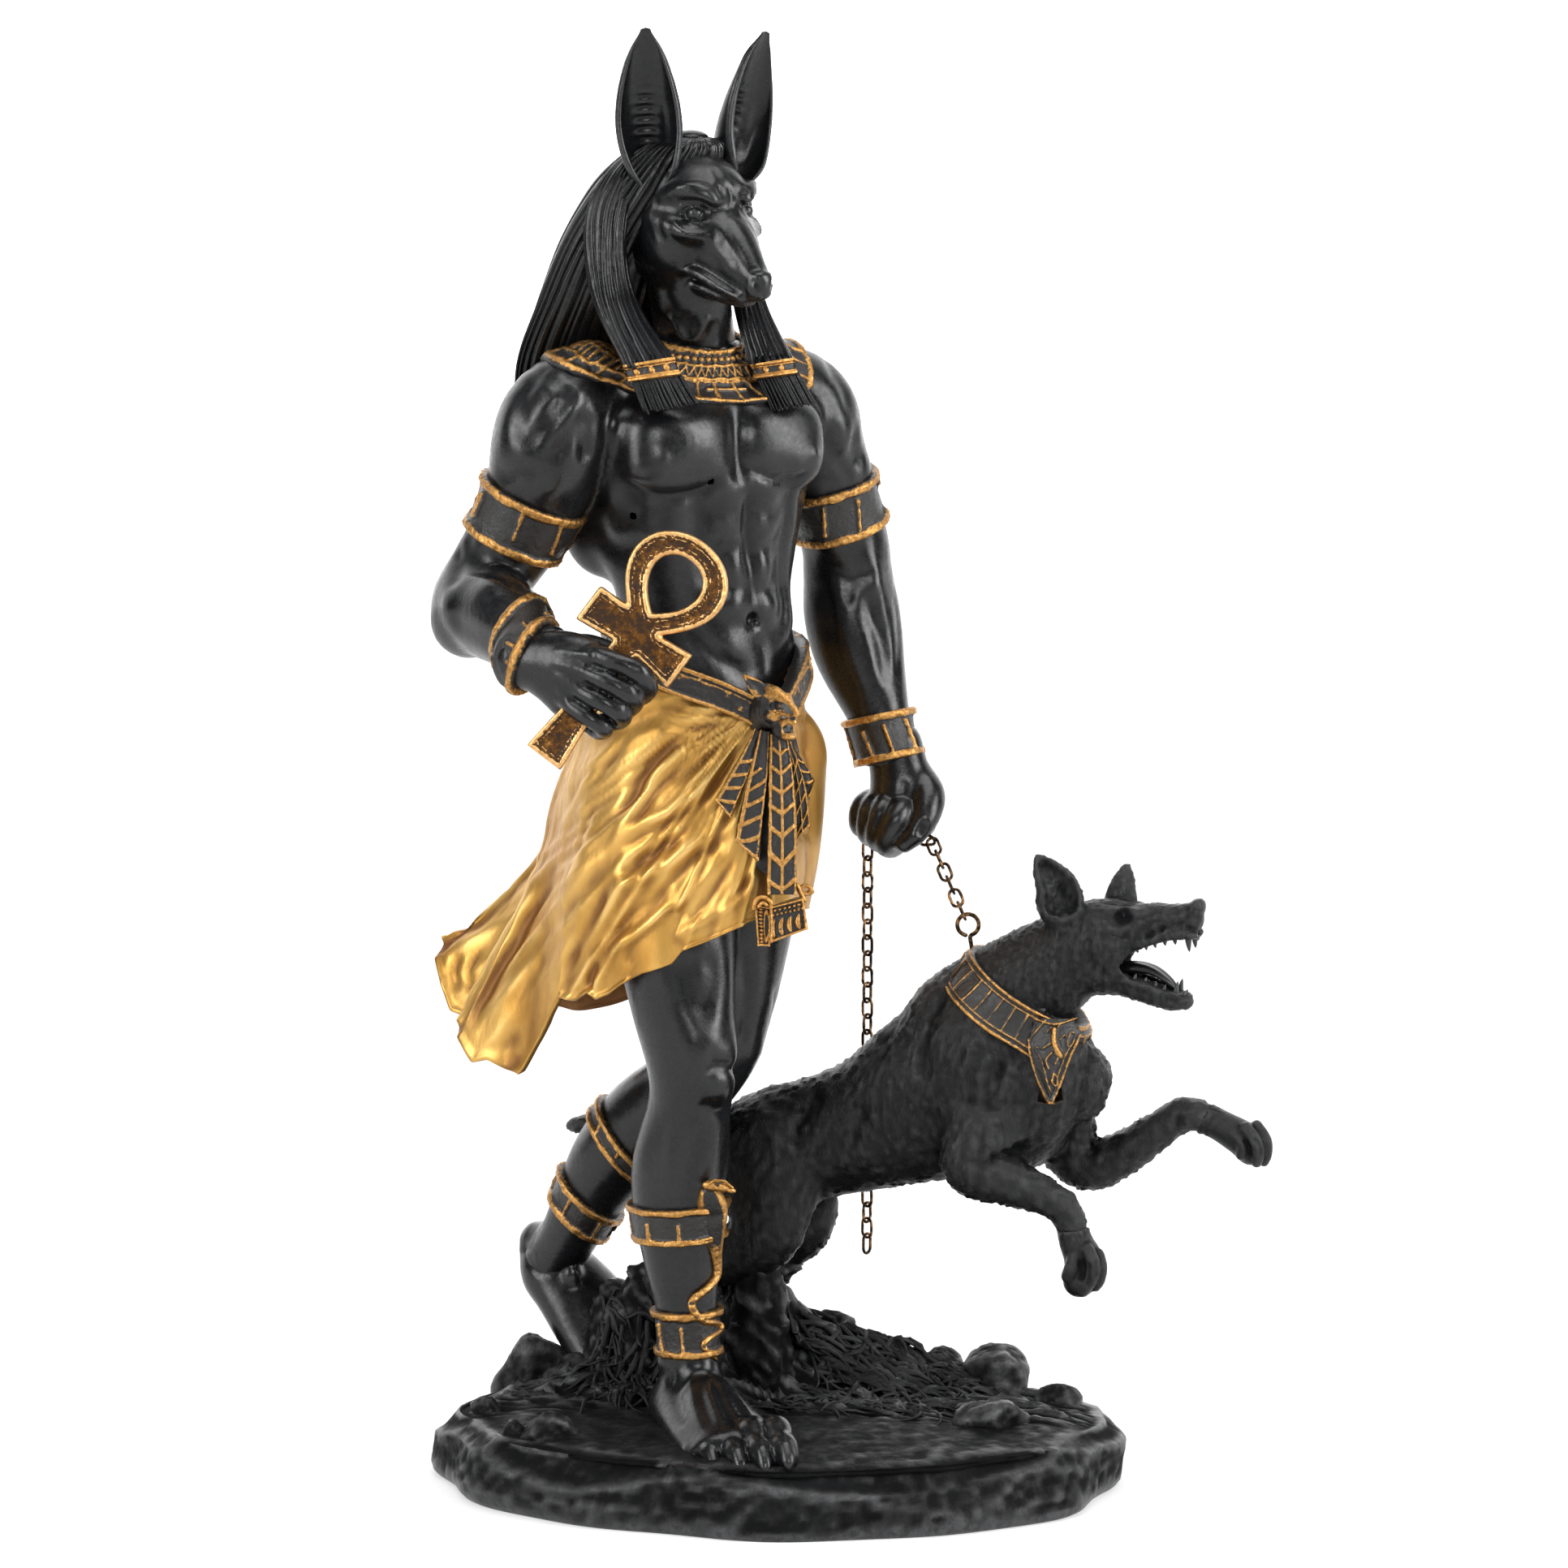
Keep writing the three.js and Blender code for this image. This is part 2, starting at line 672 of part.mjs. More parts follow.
// ---------------------------------------------------------------- ankh
const ANKH_T = 3;
function ankh() {
  const s = new THREE.Shape();
  // long axis is +Y, crossing at the origin
  s.moveTo(-3.9, -28);
  s.lineTo(3.9, -28);
  s.lineTo(2.6, -12);
  s.lineTo(2.5, -2.8);
  s.lineTo(9.5, -3.8);
  s.lineTo(9.5, 3.6);
  s.lineTo(3.2, 2.8);
  s.bezierCurveTo(6.5, 7, 8.8, 10, 8.4, 14.2);
  s.bezierCurveTo(7.8, 18.4, 4, 20.6, 0, 20.6);
  s.bezierCurveTo(-4, 20.6, -7.8, 18.4, -8.4, 14.2);
  s.bezierCurveTo(-8.8, 10, -6.5, 7, -3.2, 2.8);
  s.lineTo(-9.5, 3.6);
  s.lineTo(-9.5, -3.8);
  s.lineTo(-2.5, -2.8);
  s.lineTo(-2.6, -12);
  s.closePath();
  const h = new THREE.Path();
  h.moveTo(0, 4.6);
  h.bezierCurveTo(-2, 6.4, -4.6, 9.6, -4.4, 13);
  h.bezierCurveTo(-4, 15.8, -2, 16.9, 0, 16.9);
  h.bezierCurveTo(2, 16.9, 4, 15.8, 4.4, 13);
  h.bezierCurveTo(4.6, 9.6, 2, 6.4, 0, 4.6);
  s.holes.push(h);
  const g = new THREE.ExtrudeGeometry(s, {
    depth: ANKH_T,
    bevelEnabled: false,
    curveSegments: 5,
  });
  g.translate(0, 0, -ANKH_T / 2);
  const y = V(0.6, 0.03, 0.8).normalize(),
    n = V(-0.16, -0.98, -0.02);
  const x = y.clone().cross(n).normalize();
  const z = x.clone().cross(y).normalize();
  g.applyMatrix4(new THREE.Matrix4().makeBasis(x, y, z).setPosition(-25.6, -44.5, 170.6));
  return [solid(g)];
}

// ---------------------------------------------------------------- hound
function hound() {
  const o = [];
  const D = forward(HOUND_YAW),
    S = left(HOUND_YAW);
  const side = S;
  o.push(
    limb(
      [
        [-12.5, 16.5, 61.6, 4, 5],
        [-8.5, 15, 62, 8, 9.5],
        [-1, 12.5, 63.2, 9.6, 11.8],
        [8, 10, 65.8, 9.2, 12],
        [18, 7, 69.4, 9.6, 13.4],
        [29, 3.6, 74.8, 11, 17],
        [39, 0.4, 78, 12, 18.4],
        [48, -2.2, 79.4, 11.2, 17],
        [54.4, -4, 79.6, 8.8, 13],
        [58.4, -5, 79, 4.6, 7.4],
      ],
      side,
      10,
    ),
  );
  o.push(
    limb(
      [
        [35, 1, 87.6, 9.6, 13],
        [43, -1.4, 94, 9.4, 11.8],
        [50, -4, 100.4, 8.2, 10],
        [56, -6, 104.8, 7.4, 8.6],
        [61, -7.6, 107, 7, 7.8],
      ],
      side,
      8,
    ),
  );
  o.push(
    limb(
      [
        [57, -6.4, 107, 6.4, 7],
        [62.5, -8, 108.8, 6.8, 6.6],
        [67, -9.4, 110, 5.6, 5],
        [71.5, -11, 111.2, 3.9, 3.6],
        [76.4, -13, 112.4, 3.3, 3],
        [80.4, -14.3, 112.6, 2.4, 2.8],
      ],
      side,
      8,
    ),
  );
  o.push(
    limb(
      [
        [58, -6.6, 102, 5.4, 5],
        [64, -8.6, 101.4, 4.8, 4.4],
        [69, -10.6, 99.2, 3.8, 3.4],
        [74, -12.2, 96.8, 3.2, 2.6],
        [77, -13, 97, 2, 2],
      ],
      side,
      8,
    ),
  );
  for (const [b, t, w] of [
    [[56.4, -9.4, 109], [48.6, -9, 122.6], 4.2],
    [[61.4, -1, 111], [64.6, 0.4, 120.6], 3.6],
  ])
    o.push(
      limb(
        [
          [...b, w * 0.9, 2.4],
          [b[0] * 0.6 + t[0] * 0.4, b[1] * 0.6 + t[1] * 0.4, b[2] * 0.6 + t[2] * 0.4, w, 1.6],
          [b[0] * 0.25 + t[0] * 0.75, b[1] * 0.25 + t[1] * 0.75, b[2] * 0.25 + t[2] * 0.75, w * 0.6, 1.1],
          [...t, 0.5, 0.4],
        ],
        V(0.9, -0.4, 0.2),
        6,
      ),
    );
  const leg = (rows, sd = side, n = 7) => o.push(limb(rows, sd, n));
  // near foreleg: shoulder, elbow, wrist, paw
  leg([
    [41, -8, 78, 5, 9],
    [37.8, -10.4, 70, 5, 7.4],
    [36.2, -11.4, 64, 4.8, 6],
    [43, -12.2, 61.8, 4.4, 5],
    [49.6, -13, 59, 3.6, 4],
    [54.2, -13.6, 56, 3.2, 3.6],
    [56, -14, 50.6, 2.8, 2.9],
    [57, -14.4, 46, 3.4, 3.2],
    [56.4, -14.6, 41.4, 3.4, 3],
    [54.8, -14.6, 39.4, 1.8, 1.6],
  ]);
  // far foreleg
  leg([
    [50, 4, 78, 5, 9],
    [54.4, 4.4, 67, 5, 7],
    [58.6, 4, 60.6, 4.4, 5],
    [65.4, 2.4, 63.6, 4, 4.6],
    [72, 0.6, 68.6, 3.4, 3.8],
    [77.4, -0.8, 72.6, 3, 3.6],
    [82.8, -2.4, 71.4, 2.8, 3],
    [87.6, -3.8, 68.6, 3.4, 3.4],
    [91.2, -5, 65.2, 3.2, 3],
    [91.8, -5.2, 62.6, 1.8, 1.6],
  ]);
  // near hind leg: thigh, stifle, hock thrown back, foot on the mound
  leg([
    [-3.4, 8, 66, 5, 10],
    [-2.4, 6.4, 56, 5.6, 9.6],
    [-4, 6, 47, 5, 7.6],
    [-11, 8.6, 41.6, 4, 5.4],
    [-20, 12, 38.6, 3.2, 3.8],
    [-25, 14, 36, 3.2, 3.4],
    [-22.4, 13, 28, 3, 3],
    [-19, 11.6, 20, 3.6, 3.4],
  ]);
  // far hind leg
  leg([
    [1, 18, 64, 4.6, 9],
    [3.4, 17.6, 54, 5, 8],
    [3.6, 17.6, 46.6, 4.8, 6.6],
    [-2, 19, 40.6, 4, 4.6],
    [-10, 21, 37, 3.2, 3.6],
    [-15.4, 22.4, 34, 3, 3.2],
    [-13, 21.4, 27, 3, 3],
    [-9, 20, 19, 3.6, 3.4],
  ]);
  // tail
  leg(
    [
      [-10, 17, 66, 3, 3.6],
      [-17, 24, 67, 2.6, 2.8],
      [-26, 31.5, 66, 2.2, 2.4],
      [-35, 36.2, 63.6, 2, 2.2],
      [-41.4, 38, 62, 1.2, 1.4],
    ],
    V(0, 0, 1),
    6,
  );
  // collar with a pointed front
  o.push(
    limb(
      [
        [38.4, -0.2, 97.4, 10.6, 13.4],
        [41, -1, 92.4, 11.4, 14.4],
      ].map((s, i) => (i ? [43.4, -1.4, 93, 10.8, 15.2] : [47.4, -3, 98.2, 9.6, 12.6])),
      side,
      10,
    ),
  );
  o.push(
    limb(
      [
        [55.6, -9, 92, 4.6, 2.4],
        [54.6, -10.6, 87, 3.6, 2.2],
        [52.6, -11.6, 79.5, 0.6, 1],
      ],
      V(0.55, 0.83, 0),
      8,
    ),
  );
  return o;
}

// ---------------------------------------------------------------- ground
// Height of the ground's top: a low crown with a mound under the hound's hind feet.
function groundHeight(x, y) {
  const bump = (cx, cy, sx, sy, h) =>
    h * Math.exp(-(((x - cx) / sx) ** 2) - ((y - cy) / sy) ** 2);
  const r = Math.hypot(x / GROUND_A, y / GROUND_B);
  return (
    RIM_Z +
    1.6 * (1 - r * r) +
    bump(-12, 17, 15, 10, 17) +
    bump(4, 18, 22, 12, 6) +
    bump(-34, 18, 14, 13, 6) +
    bump(24, 24, 18, 9, 3.4)
  );
}

function rimRadius(q) {
  return 1 - 0.018 * Math.cos(3 * q + 0.6) - 0.016 * Math.cos(7 * q + 1.3) + 0.01 * Math.cos(12 * q);
}

function ground() {
  const n = 32,
    rows = [];
  const ring = (k, z) => {
    const r = [];
    for (let j = 0; j < n; j++) {
      const q = (2 * Math.PI * j) / n,
        m = rimRadius(q) * k;
      const a = GROUND_A * m * Math.cos(q),
        b = GROUND_B * m * Math.sin(q),
        c = Math.cos(rad(GROUND_TURN)),
        d = Math.sin(rad(GROUND_TURN));
      const x = a * c - b * d,
        y = a * d + b * c;
      r.push(V(x, y, z === null ? groundHeight(x, y) : z));
    }
    rows.push(r);
  };
  ring(0.97, 0);
  ring(1, 2.5);
  ring(0.95, RIM_Z - 0.6);
  for (const k of [0.8, 0.6, 0.4, 0.18]) ring(k, null);
  const o = [solid(skin(rows))];
  const rock = (c, r, yaw) => {
    const g = new THREE.IcosahedronGeometry(1, 1);
    g.scale(...r);
    g.rotateZ(rad(yaw));
    g.translate(...c);
    o.push(solid(g));
  };
  rock([-48.5, 24, 14.6], [8, 7, 6.2], 20);
  rock([41.5, 20, 14.6], [7.4, 6.4, 6.6], -15);
  rock([39.5, -8, 13.8], [6.6, 5, 3.4], 10);
  rock([52, 10, 12.8], [4.4, 3.6, 2.8], 0);
  rock([9.6, 31, 17], [4.6, 3.6, 4.2], 0);
  rock([-45, -18, 14.4], [5.6, 4.6, 3.2], 12);
  // tufts of bent grass
  const tuft = (x, y, lean, yaw, h, w) => {
    const d = forward(yaw),
      z = groundHeight(x, y) - 2;
    o.push(
      limb(
        [
          [x, y, z, w, w * 0.8],
          [x + d.x * lean * 0.35, y + d.y * lean * 0.35, z + h * 0.7, w * 0.8, w * 0.5],
          [x + d.x * lean, y + d.y * lean, z + h, 0.5, 0.4],
        ],
        left(yaw),
        4,
      ),
    );
  };
  for (let k = 0; k < 8; k++) {
    const a = k * 2.4,
      rr = 9 + 2.2 * k;
    tuft(4 + rr * Math.cos(a), 15 + 0.55 * rr * Math.sin(a), 6, 60 + 40 * Math.sin(a), 5.4 - 0.2 * k, 2.6);
  }
  for (let k = 0; k < 4; k++) {
    tuft(-34 + 3.4 * k, 12 + 3 * Math.sin(k * 2.1), 3, 200 + 40 * k, 20 - 2 * k, 3.6);
    tuft(-9 + 3.4 * k, 7 + 2 * Math.sin(k * 2.1), 2, 40 + 50 * k, 15 - 3 * k, 3.4);
  }
  return o;
}

// ---------------------------------------------------------------- chain and eye screw
const FIST_IN = V(28.3, 13.6, 124.6), // where the chain enters, thumb side
  FIST_OUT = V(17.6, 21.6, 121.6); // where it leaves, little-finger side
const EYE = V(35.7, 1, 108.9); // centre of the eye screw's ring
const EYE_DIR = V(-0.16, 0, 1).normalize();

// A link: wire along a stadium, its long axis along `along`, its flat across `flat`.
function link(centre, along, flat) {
  // eight corners: a flat bar at each end, so that the wires meet square
  const e = LINK_L / 2,
    w = LINK_W / 2,
    s = e - 0.62 * w,
    h = 0.42 * w;
  const corner = [[-s, w], [s, w], [e, h], [e, -h], [s, -w], [-s, -w], [-e, -h], [-e, h]];
  class Link extends THREE.Curve {
    getPoint(t) {
      const k = (((t % 1) + 1) % 1) * 8,
        i = Math.floor(k),
        f = k - i;
      const p = corner[i % 8],
        q = corner[(i + 1) % 8];
      return V(p[0] * (1 - f) + q[0] * f, p[1] * (1 - f) + q[1] * f, 0);
    }
  }
  const g = wire(new Link(), 8, 4, WIRE / 2, true);
  const x = along.clone().normalize(),
    z = x.clone().cross(flat).normalize(),
    y = z.clone().cross(x);
  g.applyMatrix4(new THREE.Matrix4().makeBasis(x, z, y).setPosition(centre));
  return g;
}

// A round wire along a flat curve, closed on itself or capped.
function wire(curve, steps, segs, r, ring) {
  const pos = [],
    idx = [],
    n = ring ? steps : steps + 1;
  for (let i = 0; i < n; i++) {
    const p = curve.getPoint(i / steps),
      a = curve.getPoint((i + 0.01) / steps),
      b = curve.getPoint((i - 0.01) / steps + (ring ? 1 : 0));
    const t = ring || i > 0 ? a.sub(b).normalize() : a.sub(p).normalize();
    const s = V(-t.y, t.x, 0);
    for (let j = 0; j < segs; j++) {
      const q = (2 * Math.PI * j) / segs;
      pos.push(
        p.x + r * Math.cos(q) * s.x,
        p.y + r * Math.cos(q) * s.y,
        p.z + r * Math.sin(q),
      );
    }
  }
  for (let i = 0; i < (ring ? n : n - 1); i++)
    for (let j = 0; j < segs; j++) {
      const k = ((i + 1) % n) * segs,
        a = i * segs + j,
        b = i * segs + ((j + 1) % segs),
        c = k + ((j + 1) % segs),
        d = k + j;
      idx.push(a, c, b, a, d, c);
    }
  return closed(pos, idx);
}

function chainLinks() {
  const list = [];
  // links in a straight run from `a`, the first wire's own place, with `flat` the first link's normal
  const run = (a, dir, count, flat, level = false) => {
    const d = dir.clone().normalize();
    const p = flat.clone().addScaledVector(d, -flat.dot(d)).normalize(),
      q = d.clone().cross(p);
    // a level run twists a little from link to link, so that its last link lies flat
    let twist = 0;
    if (level) {
      const end = Math.atan2(V(0, 0, 1).dot(q), V(0, 0, 1).dot(p));
      const off = (end - ((count - 1) * Math.PI) / 2) / Math.PI;
      twist = ((off - Math.round(off)) * Math.PI) / (count - 1);
    }
    for (let k = 0; k < count; k++)
      list.push([
        a.clone().addScaledVector(d, LINK_L / 2 + k * PITCH),
        d,
        p.clone().applyAxisAngle(d, k * (Math.PI / 2 + twist)),
      ]);
    const last = list[list.length - 1];
    return { tip: last[0].clone().addScaledVector(d, LINK_L / 2), flat: d.clone().cross(last[2]) };
  };
  const step = WIRE + LINK_GAP;
  // from the eye screw up to the thumb
  const pull = FIST_IN.clone().sub(EYE);
  const pullIn = V(pull.x, 0, pull.z).normalize();
  const hook = EYE.clone().addScaledVector(pullIn, EYE_R);
  const up = FIST_IN.clone().sub(hook).normalize();
  const start = hook.addScaledVector(up, -EYE_WIRE / 2 - WIRE / 2 - LINK_GAP);
  const nUp = Math.round((FIST_IN.distanceTo(start) - LINK_L) / PITCH) + 1;
  const a = run(start, up, nUp, V(-pullIn.z, 0, pullIn.x));
  // through the fist
  const across = FIST_OUT.clone().sub(a.tip).normalize();
  const inA = a.tip.clone().addScaledVector(across, -step).addScaledVector(up, -0.35);
  const nIn = Math.ceil((FIST_OUT.distanceTo(inA) - LINK_L) / PITCH) + 1;
  const b = run(inA, across, nIn, a.flat, true);
  // straight down behind the hound
  const down = V(0, 0, -1);
  const n = Math.round((b.tip.z - CHAIN_END) / PITCH);
  run(b.tip.clone().addScaledVector(down, -step), down, n, b.flat);
  return { list, inA, tipIn: b.tip };
}
const CHAIN_END = 40.5;
const chain = chainLinks();

function eyeScrew() {
  class Ring extends THREE.Curve {
    getPoint(t) {
      return V(EYE_R * Math.cos(2 * Math.PI * t), EYE_R * Math.sin(2 * Math.PI * t), 0);
    }
  }
  const g = wire(new Ring(), 16, 6, EYE_WIRE / 2, true);
  const stem = new THREE.CylinderGeometry(EYE_WIRE / 2, EYE_WIRE / 2, 6, 8);
  stem.translate(0, -EYE_R - 2.9, 0);
  const s = solid(g).add(solid(stem));
  return s;
}

function placedEye(s) {
  const x = V(1, 0, 0.16).normalize(),
    y = EYE_DIR,
    z = x.clone().cross(y);
  return new THREE.Matrix4().makeBasis(x, y, z).setPosition(EYE);
}

// ---------------------------------------------------------------- assembly
const material = {
  resin: new THREE.MeshStandardMaterial({ color: 0x1d1e20, roughness: 0.45, metalness: 0 }),
  bronze: new THREE.MeshStandardMaterial({ color: 0x6b4a2a, roughness: 0.4, metalness: 0.8 }),
};

function toGeometry(s) {
  const m = s.getMesh(),
    n = m.numProp,
    v = new Float32Array(m.numVert * 3);
  for (let i = 0; i < m.numVert; i++)
    v.set(m.vertProperties.subarray(i * n, i * n + 3), i * 3);
  const g = closed(v, Array.from(m.triVerts));
  g.computeVertexNormals();
  return g;
}

function between(a, b, r, extra) {
  const d = b.clone().sub(a),
    n = d.clone().normalize();
  const g = new THREE.CylinderGeometry(r, r, d.length() + 2 * extra, 8);
  g.applyQuaternion(new THREE.Quaternion().setFromUnitVectors(V(0, 1, 0), n));
  g.translate(...a.clone().add(b).multiplyScalar(0.5).toArray());
  return solid(g);
}

// Draws short or idle edges together where the surface moves less than `drift`.
function tidy(geometry, reach, drift) {
  const p = geometry.attributes.position,
    P = [],
    T = [];
  for (let i = 0; i < p.count; i++) P.push(V(p.getX(i), p.getY(i), p.getZ(i)));
  const ix = geometry.index.array;
  for (let i = 0; i < ix.length; i += 3) T.push([ix[i], ix[i + 1], ix[i + 2]]);
  const at = P.map(() => new Set());
  T.forEach((t, i) => t.forEach((v) => at[v].add(i)));
  const normal = (a, b, c) => b.clone().sub(a).cross(c.clone().sub(a));
  const ring = (v) => {
    const s = new Set();
    for (const t of at[v]) for (const w of T[t]) if (w !== v) s.add(w);
    return s;
  };
  for (let pass = 0; pass < 12; pass++) {
    const edges = [];
    T.forEach((t, i) => {
      if (t)
        for (let k = 0; k < 3; k++) {
          const a = t[k],
            b = t[(k + 1) % 3];
          if (a < b && P[a].distanceTo(P[b]) < reach) edges.push([P[a].distanceTo(P[b]), a, b]);
        }
    });
    edges.sort((x, y) => x[0] - y[0]);
    const locked = new Set();
    let done = 0;
    for (const [, a, b] of edges) {
      if (locked.has(a) || locked.has(b)) continue;
      const ra = ring(a),
        rb = ring(b);
      if ([...ra].filter((v) => rb.has(v)).length !== 2) continue;
      let best = null;
      for (const [keep, q] of [[a, P[a]], [b, P[b]], [a, P[a].clone().add(P[b]).multiplyScalar(0.5)]]) {
        let worst = 0,
          ok = true;
        for (const v of [a, b])
          for (const t of at[v]) {
            const w = T[t];
            const n0 = normal(...w.map((x) => P[x]));
            const area = n0.length();
            if (area > 1e-7) worst = Math.max(worst, Math.abs(q.clone().sub(P[w[0]]).dot(n0)) / area);
            if (w.includes(a) && w.includes(b)) continue;
            const n1 = normal(...w.map((x) => (x === a || x === b ? q : P[x])));
            const l1 = n1.length();
            if (l1 < 1e-4 || (area > 1e-5 && n1.dot(n0) < 0.55 * l1 * area)) ok = false;
          }
        if (ok && worst < drift && (!best || worst < best[0])) best = [worst, keep, q.clone()];
      }
      if (!best) continue;
      const [, keep, q] = best,
        gone = keep === a ? b : a;
      for (const v of [...ra, ...rb]) locked.add(v);
      for (const t of [...at[gone]]) {
        if (T[t].includes(keep)) {
          T[t].forEach((v) => at[v].delete(t));
          T[t] = null;
        } else {
          T[t] = T[t].map((v) => (v === gone ? keep : v));
          at[keep].add(t);
        }
      }
      at[gone].clear();
      P[keep] = q;
      done++;
    }
    if (!done) break;
  }
  const used = new Map(),
    pos = [],
    idx = [];
  for (const t of T)
    if (t)
      for (const v of t) {
        if (!used.has(v)) {
          used.set(v, used.size);
          pos.push(P[v].x, P[v].y, P[v].z);
        }
        idx.push(used.get(v));
      }
  return closed(pos, idx);
}

const eyeSolid = eyeScrew();
let statue = join([
  ...figure(),
  ...headAndWig(),
  ...kilt(),
  ...trimmings(),
  ...ankh(),
  ...hound(),
  ...ground(),
]);
// the fist's tunnel for the chain, open at both ends, and the socket of the eye screw
statue = statue.subtract(between(chain.inA, chain.tipIn, 2.1, 2.4));
const p0 = EYE.clone().addScaledVector(EYE_DIR, -EYE_R + 0.4),
  p1 = EYE.clone().addScaledVector(EYE_DIR, -EYE_R - 6.2);
statue = statue.subtract(between(p0, p1, EYE_WIRE / 2 + FIT, 0));
// nothing of the casting reaches under the flat underside
const under = new THREE.BoxGeometry(400, 400, 50);
under.translate(0, 0, -25);
statue = statue.subtract(solid(under));

const root = new THREE.Group();
const add = (name, geometry, mat) => {
  const m = new THREE.Mesh(geometry, mat);
  m.name = name;
  root.add(m);
  return m;
};
const bodies = statue.decompose().sort((a, b) => b.volume() - a.volume());
const skinOfStatue = tidy(toGeometry(bodies[0]), REACH, DRIFT);
skinOfStatue.computeVertexNormals();
add("statue", skinOfStatue, material.resin);
const eye = add("collar_eye_screw", toGeometry(eyeSolid), material.bronze);
eye.applyMatrix4(placedEye(eye));
chain.list.forEach(([c, d, f], i) =>
  add("chain_link_" + String(i + 1).padStart(2, "0"), link(c, d, f), material.bronze),
);

export default root;
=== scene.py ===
import math

import bpy
import numpy as np
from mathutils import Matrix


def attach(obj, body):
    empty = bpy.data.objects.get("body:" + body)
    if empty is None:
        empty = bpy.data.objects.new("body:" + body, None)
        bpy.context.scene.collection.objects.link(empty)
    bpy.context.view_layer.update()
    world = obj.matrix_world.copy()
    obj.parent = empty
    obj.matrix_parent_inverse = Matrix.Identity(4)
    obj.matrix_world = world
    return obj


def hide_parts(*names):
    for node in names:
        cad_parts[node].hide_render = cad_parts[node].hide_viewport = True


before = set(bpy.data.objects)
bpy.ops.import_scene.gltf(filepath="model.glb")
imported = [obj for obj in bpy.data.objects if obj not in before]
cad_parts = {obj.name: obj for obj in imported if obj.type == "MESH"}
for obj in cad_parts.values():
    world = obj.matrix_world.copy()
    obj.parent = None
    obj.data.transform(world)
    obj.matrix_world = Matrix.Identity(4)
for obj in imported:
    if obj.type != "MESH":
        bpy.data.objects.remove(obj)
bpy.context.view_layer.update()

COARSE = 1.23
MM = 0.001


def vec(*c):
    return np.array(c, float)


def unit(v):
    v = np.asarray(v, float)
    return v / np.maximum(np.linalg.norm(v, axis=-1, keepdims=True), 1e-12)


# ---------------------------------------------------------------- seeded noise
def _hash(i, j, k, seed):
    with np.errstate(over="ignore"):
        n = (
            i.astype(np.int64) * 374761393
            + j.astype(np.int64) * 668265263
            + k.astype(np.int64) * 2147483647
            + seed * 1274126177
        ) & 0xFFFFFFFF
        n = ((n ^ (n >> 13)) * 1274126177) & 0xFFFFFFFF
        n = ((n ^ (n >> 15)) * 2246822519) & 0xFFFFFFFF
        n = n ^ (n >> 16)
    return (n & 0xFFFFFF).astype(float) / float(0xFFFFFF)


def noise(p, scale=1.0, seed=0):
    """Smooth value noise in -1..1 at points p."""
    q = np.asarray(p, float) * scale
    i = np.floor(q).astype(np.int64)
    f = q - i
    f = f * f * (3 - 2 * f)
    out = 0
    for dx in (0, 1):
        for dy in (0, 1):
            for dz in (0, 1):
                w = (
                    (f[:, 0] if dx else 1 - f[:, 0])
                    * (f[:, 1] if dy else 1 - f[:, 1])
                    * (f[:, 2] if dz else 1 - f[:, 2])
                )
                out = out + w * _hash(i[:, 0] + dx, i[:, 1] + dy, i[:, 2] + dz, seed)
    return 2 * out - 1


def fbm(p, scale=1.0, octaves=3, seed=0, gain=0.5):
    out, amp, tot = 0, 1.0, 0.0
    for o in range(octaves):
        out = out + amp * noise(p, scale * 2.03**o, seed + 17 * o)
        tot += amp
        amp *= gain
    return out / tot


def cells(p, scale=1.0, seed=0):
    """Distance to the nearest and second nearest of one jittered point per cell, and that point's number."""
    q = np.asarray(p, float) * scale
    i = np.floor(q).astype(np.int64)
    f1 = np.full(len(q), 9.0)
    f2 = np.full(len(q), 9.0)
    tag = np.zeros(len(q))
    for dx in (-1, 0, 1):
        for dy in (-1, 0, 1):
            for dz in (-1, 0, 1):
                a, b, c = i[:, 0] + dx, i[:, 1] + dy, i[:, 2] + dz
                px = a + _hash(a, b, c, seed)
                py = b + _hash(a, b, c, seed + 1)
                pz = c + _hash(a, b, c, seed + 2)
                d = np.sqrt((px - q[:, 0]) ** 2 + (py - q[:, 1]) ** 2 + (pz - q[:, 2]) ** 2)
                near = d < f1
                f2 = np.where(near, f1, np.minimum(f2, d))
                tag = np.where(near, _hash(a, b, c, seed + 3), tag)
                f1 = np.where(near, d, f1)
    return f1, f2, tag


# ---------------------------------------------------------------- smooth curves through stations
def spline(table, t):
    """Catmull-Rom through the rows of a table, at t in 0..rows-1."""
    a = np.asarray(table, float)
    n = len(a)
    t = np.clip(np.asarray(t, float), 0, n - 1)
    i = np.minimum(t.astype(int), n - 2)
    x = (t - i)[..., None]
    p0, p1, p2, p3 = (a[np.clip(i + k, 0, n - 1)] for k in (-1, 0, 1, 2))
    return 0.5 * (
        2 * p1
        + (p2 - p0) * x
        + (2 * p0 - 5 * p1 + 4 * p2 - p3) * x * x
        + (3 * p1 - p0 - 3 * p2 + p3) * x**3
    )


def smooth(a, b, x):
    s = np.clip((x - a) / (b - a), 0, 1)
    return s * s * (3 - 2 * s)


